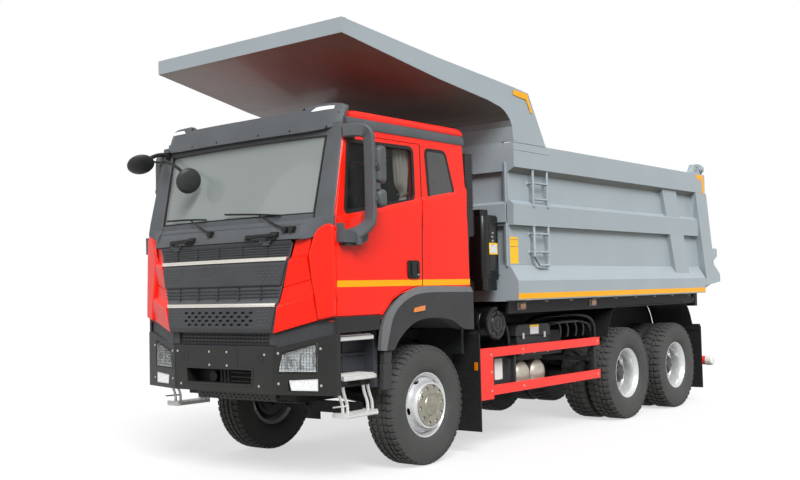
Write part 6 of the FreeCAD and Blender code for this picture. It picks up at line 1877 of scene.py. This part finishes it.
# %% Rear end
end_low, end_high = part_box("underrun_bar")
bar_y, bar_z = (end_low.y + end_high.y) / 2 - AXLE_Y, 0.538
caps = Workpiece("underrun_white_ends")
for side in (LEFT, RIGHT):
    caps.turned([(0.0, 0.0), (0.0, 0.064), (side * 0.005, 0.0685), (side * 0.088, 0.0685),
                 (side * 0.102, 0.058), (side * 0.106, 0.03), (side * 0.107, 0.0)],
                (side * (end_high.x - 0.096), bar_y if end_high.y - end_low.y < 0.2
                 else end_high.y - AXLE_Y - 0.065, bar_z), 32)
caps.finish("chassis", white_paint, "bar_paint", 0.004)
lamps_back = Workpiece("tail_lamp_lenses")
amber_back = Workpiece("tail_lamp_indicators")
TAIL_Y = REAR_AXLES[1] + 1.03
for side in (LEFT, RIGHT):
    for i, (x0, x1) in enumerate(mm("715 835, 850 960, 975 1090")):
        (lamps_back if i < 2 else amber_back).block(side * x0, side * x1, TAIL_Y - 0.012, TAIL_Y + 0.0, 0.832,
                                                    0.928)
lamps_back.finish("chassis", red_lens, "lamp_glass", 0.005)
amber_back.finish("chassis", amber_lens, "lamp_glass", 0.005)
print("underrun ends at y", round(bar_y, 2))

# %% [markdown]
# ## The bed
#
# The bed's plates keep their CAD shape.  Weld beads, tape stripes, hooks and ladder ends go on
# top, because welded and taped details are what tells a heavy steel body from a plain box.

# %% Stripes, marks and labels
BED_FRONT_Y, SILL_END_Y = 1.29, REAR_AXLES[1] + 0.701
BED_RAIL_TOP = 3.148
SILL_X = 1.3825
for side, name in SIDES.items():
    flat_piece("sill_stripe_" + name, "bed", amber_tape, "bed_grey",
               rect(BED_FRONT_Y + 0.002, SILL_END_Y - 0.004, 1.5225, 1.581), lambda y, z,
               h: (side * (SILL_X + 0.02 * (z - 1.51) + h), y, z), -0.001, 0.0015)
    corner_mark = Workpiece("corner_marks_" + name)
    top = BED_RAIL_TOP - 0.012
    corner_mark.slab([(5.905, top), (6.145, top), (6.185, top - 0.23), (6.12, top - 0.27),
                      (6.085, top - 0.075), (5.915, top - 0.045)],
                     beside(side, 1.3725), -0.0005, 0.0015)
    corner_mark.slab(mm("1298 3640, 1365 3630, 1543 3615, 1627 3486, 1667 3484, 1566 3679, 1298 3690"),
                     beside(side, 1.3815), -0.0005, 0.0015)
    corner_mark.finish("bed", amber_tape, "bed_grey")
flat_piece("bed_sticker", "bed", yellow_label, "bed_grey", rect(1.305, 1.458, 1.89, 2.167),
           beside(LEFT, 1.2852), -0.0005, 0.0012)
bands = Workpiece("sticker_bands")
for z in (2.138, 2.066):
    bands.slab(rect(1.312, 1.451, z, z + 0.006), beside(LEFT, 1.2862), 0.0, 0.001)
bands.finish("bed", red_lens, "bed_grey")
print("stripes to y", round(SILL_END_Y, 2))


# %% Welds and fittings
def bead(work, start, end, radius, pitch=0.03):
    """A weld bead: a round bar whose thickness ripples along it."""
    a, b = Vector(start), Vector(end)
    count = max(3, int((b - a).length / pitch) * 2)
    ahead, across, up = square_to(b - a)
    rings = []
    for i in range(count + 1):
        r = radius * (1.0 if i % 2 else 0.78)
        spot = a.lerp(b, i / count)
        rings.append([spot + p for p in circle(across, up, r, 6)])
    return work.skin(rings)


for side, name in SIDES.items():
    x = side * 1.2855
    welds = Workpiece("bed_welds_" + name)
    for z in (1.8815, 2.29, 2.561, 2.838):
        bead(welds, (x, 1.295, z), (x, SILL_END_Y - 0.1, z), 0.005, 0.08)
    for offset, top, low in mm("-1270 2838 -1145, -844 2838 -730"):
        bead(welds, (x, REAR_AXLES[1] + 0.775 + offset, top), (x, REAR_AXLES[1] + 0.775 + low, 2.561), 0.006)
    for offset, low in mm("-1091 -960, -658 -548"):
        bead(welds, (x, REAR_AXLES[1] + 0.775 + offset, 2.29), (x, REAR_AXLES[1] + 0.775 + low, 1.882), 0.006)
    bead(welds, (side * 1.3725, 1.3, 3.07), (side * 1.3725, 1.99, 3.068), 0.004)
    bead(welds, (side * 1.3725, 1.99, 3.068), (side * 1.3725, 2.01, 3.146), 0.004)
    welds.finish("bed", bed_grey, "bed_grey", smooth=60)
    hooks = Workpiece("tarpaulin_hooks_" + name)
    for y in stations(1.9, 5.6, 8):
        hooks.tube([(side * 1.33, y - 0.03, 1.512), (side * 1.35, y - 0.03, 1.488),
                    (side * 1.35, y + 0.03, 1.488), (side * 1.33, y + 0.03, 1.512)],
                   0.006, 6, 2)
    hooks.finish("bed", bed_grey, "bed_grey")
    joints = Workpiece("sill_brackets_" + name)
    for y in (1.6, 3.15, 5.62):
        joints.block(side * 1.2, side * 1.3, y - 0.045, y + 0.045, 1.495, 1.513)
    joints.finish("bed", bed_grey, "bed_grey", 0.003)
front_rail = Workpiece("front_wall_rail")
front_rail.along_x(mm("1291 2300, 1266 2322, 1266 2512, 1291 2540"), -1.27, 1.27)
for x in (-1.262, 1.262):
    front_rail.block(x - 0.008, x + 0.008, 1.272, 1.291, 1.86, 2.95)
front_rail.finish("bed", bed_grey, "bed_grey", 0.003)
ladder_feet = Workpiece("ladder_feet")
for y in (1.68, 1.97):
    for z in (2.012, 2.205, 2.745):
        ladder_feet.turned(mm("0 0, 0 26, 4 24, 10 15, 10 0"), (1.285, y, z), 16)
    for z in (2.5, 2.29):
        ladder_feet.turned(mm("-10 15, -6 19, 6 19, 10 15"), (1.35, y, z), 16, axis="z")
ladder_feet.finish("bed", bed_grey, "bed_grey")
print("welds, hooks and ladder feet")

# %% [markdown]
# The tailgate swings on pins in two ears at the top and is held shut by claws low on each side.

# %% Tailgate fittings
for side, name in SIDES.items():
    pins = Workpiece("gate_pin_caps_" + name)
    gate_y = REAR_AXLES[1] + 0.83
    pins.turned([(0.0, 0.0), (0.0, 0.055), (side * 0.012, 0.055), (side * 0.016, 0.04), (side * 0.03, 0.04),
                 (side * 0.034, 0.034),
                 (side * 0.034, 0.0)], (side * 1.322, gate_y, 3.235), 32)
    pins.bolts([(side * 1.321, gate_y - 0.165, 3.215), (side * 1.321, gate_y - 0.135, 3.262)], (side, 0, 0),
               0.014, 0.014)
    pins.finish("bed", bed_grey, "bed_grey", 0.003)
    claw = Workpiece("gate_claw_" + name)
    claw.slab(rounded(mm("6350 1930, 6420 1890, 6560 1975, 6652 2020, 6655 2120, 6600 2135, 6560 2075, "
        "6440 2020, 6370 1985"), 0.014),
              beside(side, 1.285), 0.0, 0.045)
    flat_piece("gate_sill_plate_" + name, "bed", bed_grey, "bed_grey",
               mm("5930 1512, 6170 1512, 6170 1395, 6060 1395"), beside(side, 1.215), -0.03, 0.0, 0.003)
    flat_piece("gate_ear_" + name, "bed", bed_grey, "bed_grey",
               [(gate_y - 0.22, 3.15), (gate_y + 0.045, 3.15), (gate_y + 0.06, 3.225), (gate_y + 0.05, 3.3),
                (gate_y - 0.11, 3.305), (gate_y - 0.165, 3.262), (gate_y - 0.23, 3.235),
                (gate_y - 0.235, 3.2)], beside(side, 1.3), 0.0, 0.016, 0.003)
    claw.turned([(0.0, 0.0), (0.0, 0.03), (side * 0.02, 0.03), (side * 0.024, 0.024), (side * 0.024, 0.0)],
                (side * 1.325, 6.405, 1.945), 24)
    claw.finish("bed", bed_grey, "bed_grey", 0.005)
print("gate fittings on both sides")

# %% [markdown]
# ## Inside the cab
#
# Seats are sewn covers over foam: crowned in the middle, drawn in at the seams and fuller at the
# bolsters.  Each cushion starts as a rounded form and is swelled by a formula, so no two of its
# cross-sections are alike.

# %% Seats
SEAT_X = 0.62


def cushion(name, low, high, crown, seams, finish, slot, along="y", bolster=0.024, rows=26):
    """A padded form in a box: crowned faces, full bolsters and sewn channels across it."""
    pad = Workpiece(name)
    centre, half = (Vector(low) + Vector(high)) / 2, (Vector(high) - Vector(low)) / 2
    rings = []
    for j in range(rows + 1):
        v = -1 + 2 * j / rows
        ends = (1 - abs(v) ** 5) ** 0.5 if abs(v) < 1 else 0.0
        channel = sum(exp(-((v - seam) / 0.035) ** 2) for seam in seams)
        ring = []
        for k in range(44):
            turn = tau * k / 44
            cu, cw = cos(turn), sin(turn)
            u = copysign(abs(cu) ** 0.42, cu)
            w = copysign(abs(cw) ** 0.42, cw)
            side_swell = bolster * exp(-((abs(u) - 0.8) / 0.14) ** 2)
            face = (crown * (1 - u * u) * (1 - v * v) + side_swell - 0.01 * channel) * max(0.0, w)
            width = half.x * u * (0.3 + 0.7 * ends)
            thick = half.z * w * (0.45 + 0.55 * ends) + face - (crown + bolster) * 0.5
            ring.append((centre.x + width, centre.y + half.y * v, centre.z + thick))
        rings.append(ring)
    pad.skin(rings)
    if along == "z":
        lean = Matrix.Translation(at(0, -0.1, 1.9)) @ Matrix.Rotation(radians(100), 4,
                "X") @ Matrix.Translation(-at(0, -0.1, 1.9))
        bmesh.ops.transform(pad.mesh, matrix=lean, verts=pad.mesh.verts)
    piece = pad.finish("chassis", finish, slot, 0.0, smooth=60)
    return piece


for side, name in SIDES.items():
    x = side * SEAT_X
    seat_piece = cushion("seat_cushion_" + name, (x - 0.245, -0.64, 1.765), (x + 0.245, -0.16, 1.885), 0.016,
                         (-0.45, 0.0, 0.45), seat_cloth, "seat_fabric")
    cushion("seat_back_" + name, (x - 0.235, -0.085, 1.8), (x + 0.235, 0.45, 1.915), 0.014,
            (-0.5, 0.05, 0.55), seat_cloth, "seat_fabric",
                         along="z")
    if side == LEFT:
        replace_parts(seat_piece, "seats")
    frame_piece = Workpiece("seat_frame_" + name)
    frame_piece.along_z(rounded(rect(x - 0.2, x + 0.2, -0.61, -0.18), 0.03), 1.7, 1.762)
    for i in range(6):
        z = 1.475 + 0.036 * i
        frame_piece.along_z(rounded(rect(x - 0.17, x + 0.17, -0.57, -0.22), 0.05), z, z + 0.024)
    frame_piece.block(x - 0.18, x + 0.18, -0.59, -0.2, 1.452, 1.478)
    frame_piece.finish("chassis", dash_plastic, "dash_plastic", 0.006)
    cushion("head_rest_" + name, (x - 0.135, 0.47, 1.825), (x + 0.135, 0.6, 1.905), 0.01, (), seat_cloth,
            "seat_fabric", along="z", bolster=0.0)
print("seats on both sides")

# %% [markdown]
# A light curtain is tied back at the rear edge of each door window.  It hangs from a rail in soft
# folds, and the folds close up where the tie holds them.

# %% Curtains
CURTAIN_TOP, CURTAIN_TIE, CURTAIN_END = 2.945, 2.53, 2.44


def curtain(side, name):
    cloth = Workpiece("curtain_" + name)
    folds, points = 7, 84
    rings = []
    for j in range(34):
        t = j / 33
        z = CURTAIN_TOP + (CURTAIN_END - CURTAIN_TOP) * t
        tie = exp(-((z - CURTAIN_TIE) / 0.055) ** 2)
        wide = 0.205 * (1 - 0.52 * t ** 1.6) * (1 - 0.55 * tie)
        deep = 0.02 * (1 - 0.35 * tie)
        back = -0.19 - 0.028 * t
        row = []
        for k in range(points + 1):
            s = k / points
            wave = sin(tau * folds * s + 0.5 * sin(7 * t)) + 0.35 * sin(tau * (folds * 0.5) * s + 4 * t)
            row.append((side * (1.135 + deep * wave - 0.01 * tie),
                        back - wide * s + 0.004 * sin(9 * t + k * 0.2), z))
        rings.append(row)
    cloth.skin(rings, closed=False, caps=False)
    piece = cloth.finish("chassis", curtain_cloth, "seat_fabric", smooth=80)
    folded = piece.modifiers.new("Cloth thickness", "SOLIDIFY")
    folded.thickness = 0.0015
    tie_band = Workpiece("curtain_tie_" + name)
    ring = [(side * (1.135 + 0.03 * cos(a)), -0.262 + 0.062 * sin(a), CURTAIN_TIE + 0.01 * cos(a))
            for a in stations(0, tau, 25)]
    strap(tie_band, ring, 0.026, 0.003, (0, 0, 1), 0)
    band = tie_band.finish("chassis", curtain_cloth, "seat_fabric")
    "curtain_rail_" + name
    rail = Workpiece("curtain_rail_" + name)
    rail.tube(sided(side, "1135 -1060 2952, 1135 -600 2954, 1135 -170 2956"), 0.008, 10, 1)
    rail.boxes(side, "1130 1165 -185 -170 2945 2975, 1130 1165 -1060 -1045 2940 2970")
    rail.finish("chassis", dash_plastic, "dash_plastic")


both(curtain)
print("curtains on both sides")

# %% [markdown]
# The back of the cab has a bunk with a padded mattress and a felt-lined wall.

# %% Bunk and lining
cushion("bunk_mattress", (-1.09, 0.13, 1.96), (1.09, 0.52, 2.06), 0.012, (), seat_cloth, "seat_fabric",
        bolster=0.0, rows=30)
base = Workpiece("bunk_base")
base.along_x(mm("110 1700, 110 1955, 530 1955, 530 1640, 300 1620"), -1.095, 1.095)
base.finish("chassis", dash_plastic, "dash_plastic", 0.01)
lining = Workpiece("cab_lining")
lining.boxes(LEFT, "-1120 1120 560 568 1640 2990, -1100 1100 -1000 530 3020 3028")
lining.finish("chassis", lining_felt, "dash_plastic", 0.002)
dials = Workpiece("dash_details")
dials.along_x(mm("-905 2150, -900 2240, -990 2290, -1060 2285, -1060 2240"), 0.38, 0.86)
for x in (-0.75, -0.35, 0.1):
    dials.along_x(mm("-872 2060, -862 2130, -868 2132, -880 2062"), x, x + 0.24)
dials.block(-0.2, 0.22, -0.862, -0.852, 1.9, 2.04)
dials.finish("chassis", seal_rubber, "dash_plastic", 0.006)
print("bunk and lining in place")

# %% [markdown]
# ## Finishing the CAD parts
#
# The CAD parts that stay in view need a finish and softer edges.  A table names the finish of each
# one, and a modifier rounds the edges of sheet metal without touching the mesh.

# %% Give every CAD part its finish
CAD_FINISH = {
    "front_tyre": tyre_rubber, "front_rim": wheel_silver, "twin_tyres": tyre_rubber,
              "twin_rims": wheel_silver,
    "steering_knuckle": cast_black, "door_window": side_glass, "door_mirror": trim_grey, "door": cab_red,
              "axles": cast_black,
    "leaf_springs": frame_black, "driveline": cast_black, "chassis_frame": frame_black,
              "tipping_subframe": frame_black,
    "hoist_barrel": frame_black, "hoist_rod": ram_steel, "cab_shell": cab_red, "cab_roof": cab_red,
              "cab_glass": screen_glass_painted_sky,
    "sun_visor": trim_grey, "front_lid": trim_grey, "wiper_cowl": trim_grey, "corner_deflectors": cab_red,
              "front_bumper": bumper_black,
    "front_fenders": fender_grey, "cab_steps": frame_black, "seats": seat_cloth, "dashboard": dash_plastic,
    "steering_wheel": dash_plastic, "corner_mirrors": trim_grey, "lamps": lamp_glass, "air_intake": box_black,
    "equipment_boxes": box_black, "tanks": aluminium, "side_guards": guard_red, "mudguards": flap_rubber,
    # The bed's underframe gets near-black as painted shade under the bed.
    "underrun_bar": guard_red, "bed": bed_grey, "bed_underframe": liner_black_and_underbed_shade, "tailgate": bed_grey,
}


def finish_of(node):
    names = [n for n in CAD_FINISH if node.startswith(n)]
    return CAD_FINISH[max(names, key=len)]


SHARP_METAL = ("cab_shell", "cab_roof", "door", "sun_visor", "front_lid", "wiper_cowl", "bed", "tailgate")
for node, part in cad_nodes.items():
    part.data.materials.clear()
    part.data.materials.append(finish_of(node))
    if node.startswith(SHARP_METAL) and node != "bed_underframe":
        weld = part.modifiers.new("Joined corners", "WELD")
        weld.merge_threshold = 0.0002
        soften(part, 0.004, 2, 25)
print("finished", len(cad_nodes), "CAD parts")

# %% [markdown]
# ## Floor, light and camera
#
# A truck this size is best seen outdoors under a bright, even sky.  The same light comes from a
# pale world that is brighter overhead, one soft sun and a wide lamp in front.  The floor is pale,
# and looks white to the camera, yet keeps the soft shadow that ties the wheels to the ground.

# %% The floor and the sky
def seen_rays(tree):
    """One for the rays that show a surface to the camera, directly or through gloss and glass."""
    rays = tree.node("LightPath", out="Is Camera Ray").most(tree.node("LightPath", out="Is Glossy Ray"))
    return rays.most(tree.node("LightPath", out="Is Transmission Ray"))


def show_white(finish, amount):
    """Lets the camera, gloss and glass see a white surface that still keeps its shadows."""
    rays = seen_rays(finish)
    white = finish.node("Emission", {}, {"Color": (1, 1, 1, 1), "Strength": 1.0})
    mix = finish.node("MixShader", {}, {0: rays * amount, 1: Value(finish, finish.shader.outputs[0]),
                                        2: white})
    finish.tree.links.new(mix.socket, finish.output.inputs["Surface"])


floor_finish = Finish("studio_floor", Specular_IOR_Level=0.1)
floor_tone = floor_finish.noise(0.4, 3.0)
floor_dark = floor_finish.blend(floor_tone, rgb(134, 130, 120), rgb(122, 119, 110))
floor_finish.set(Base_Color=floor_finish.blend(seen_rays(floor_finish), floor_dark, rgb(246, 246, 246)),
                 Roughness=floor_tone * 0.1 + 0.8)
show_white(floor_finish, 0.6)
FLOOR_HALF = 120.0
stage_mesh = bpy.data.meshes.new("floor")
corners = [(-FLOOR_HALF, -FLOOR_HALF, 0), (FLOOR_HALF, -FLOOR_HALF, 0), (FLOOR_HALF, FLOOR_HALF, 0),
           (-FLOOR_HALF, FLOOR_HALF, 0)]
stage_mesh.from_pydata(corners, [], [(0, 1, 2, 3)])
floor = bpy.data.objects.new("floor", stage_mesh)
bpy.context.scene.collection.objects.link(floor)
stage_mesh.materials.append(floor_finish.material)

world = bpy.data.worlds.new("pale_sky")
bpy.context.scene.world = world
sky = Tree(world)
background = sky.tree.nodes["Background"]
height = sky.node("SeparateXYZ", {}, {0: sky.node("TexCoord", out="Generated")}, "Z")
SKY_STOPS = [(0.0, (0.36, 0.37, 0.38, 1)), (0.75, (1.0, 1.0, 1.0, 1))]
sky_tone = sky.node("ValToRGB", {"stops": SKY_STOPS}, {"Fac": height}, "Color")
sky.tree.links.new(sky_tone.socket, background.inputs["Color"])
background.inputs["Strength"].default_value = 0.62
white_sky = sky.node("Background", {}, {"Color": (1, 1, 1, 1), "Strength": 1.0})
choose = sky.node("MixShader", {}, {0: seen_rays(sky), 1: Value(sky, background.outputs[0]), 2: white_sky})
sky.tree.links.new(choose.socket, sky.tree.nodes["World Output"].inputs["Surface"])
print("floor", FLOOR_HALF * 2, "m wide")


# %% Lamps
def lamp(name, kind, energy, place, target, size):
    light = bpy.data.lights.new(name, kind)
    light.energy = energy
    if kind == "SUN":
        light.angle = radians(size)
    else:
        light.shape, light.size = "DISK", size
    holder = bpy.data.objects.new(name, light)
    holder.location = place
    holder.rotation_mode = "QUATERNION"
    holder.rotation_quaternion = (Vector(target) - Vector(place)).to_track_quat("-Z", "Y")
    bpy.context.scene.collection.objects.link(holder)
    return holder


middle = at(0, 2.0, 1.5)
lamp("soft_sun", "SUN", 3.5, at(11, -6.5, 13), middle, 30)
lamp("front_wash", "AREA", 170.0, at(-7, -12, 6), at(0, -1, 1.5), 6.0)

# %% [markdown]
# The camera stands in front of the left corner at about eye height, looking slightly up.  Its
# turn, tilt and roll are given as angles, and the lens as the focal length on a 36 mm sensor.

# %% Camera
CAMERA_PLACE = at(7.183, -7.82, 1.639)
CAMERA_YAW, CAMERA_PITCH, CAMERA_ROLL = (radians(a) for a in (38.886, 2.768, -1.369))
camera_data = bpy.data.cameras.new("camera")
camera_data.sensor_width, camera_data.lens = 36.0, 46.99
camera_data.clip_end = 400.0
camera = bpy.data.objects.new("camera", camera_data)
bpy.context.scene.collection.objects.link(camera)
ahead = Vector((-sin(CAMERA_YAW) * cos(CAMERA_PITCH), cos(CAMERA_YAW) * cos(CAMERA_PITCH), sin(CAMERA_PITCH)))
level = Vector((cos(CAMERA_YAW), sin(CAMERA_YAW), 0))
above = level.cross(ahead)
right = level * cos(CAMERA_ROLL) + above * sin(CAMERA_ROLL)
up = above * cos(CAMERA_ROLL) - level * sin(CAMERA_ROLL)
turn = Matrix((right, up, -ahead)).transposed()
camera.matrix_world = Matrix.Translation(CAMERA_PLACE) @ turn.to_4x4()
bpy.context.scene.camera = camera
bpy.context.scene.view_settings.view_transform = "Standard"
print("camera at", [round(v, 2) for v in camera.location])

# %% [markdown]
# ## Last update
#
# The view layer is updated once more, so that every object's place is current.

# %% Last update
bpy.context.view_layer.update()
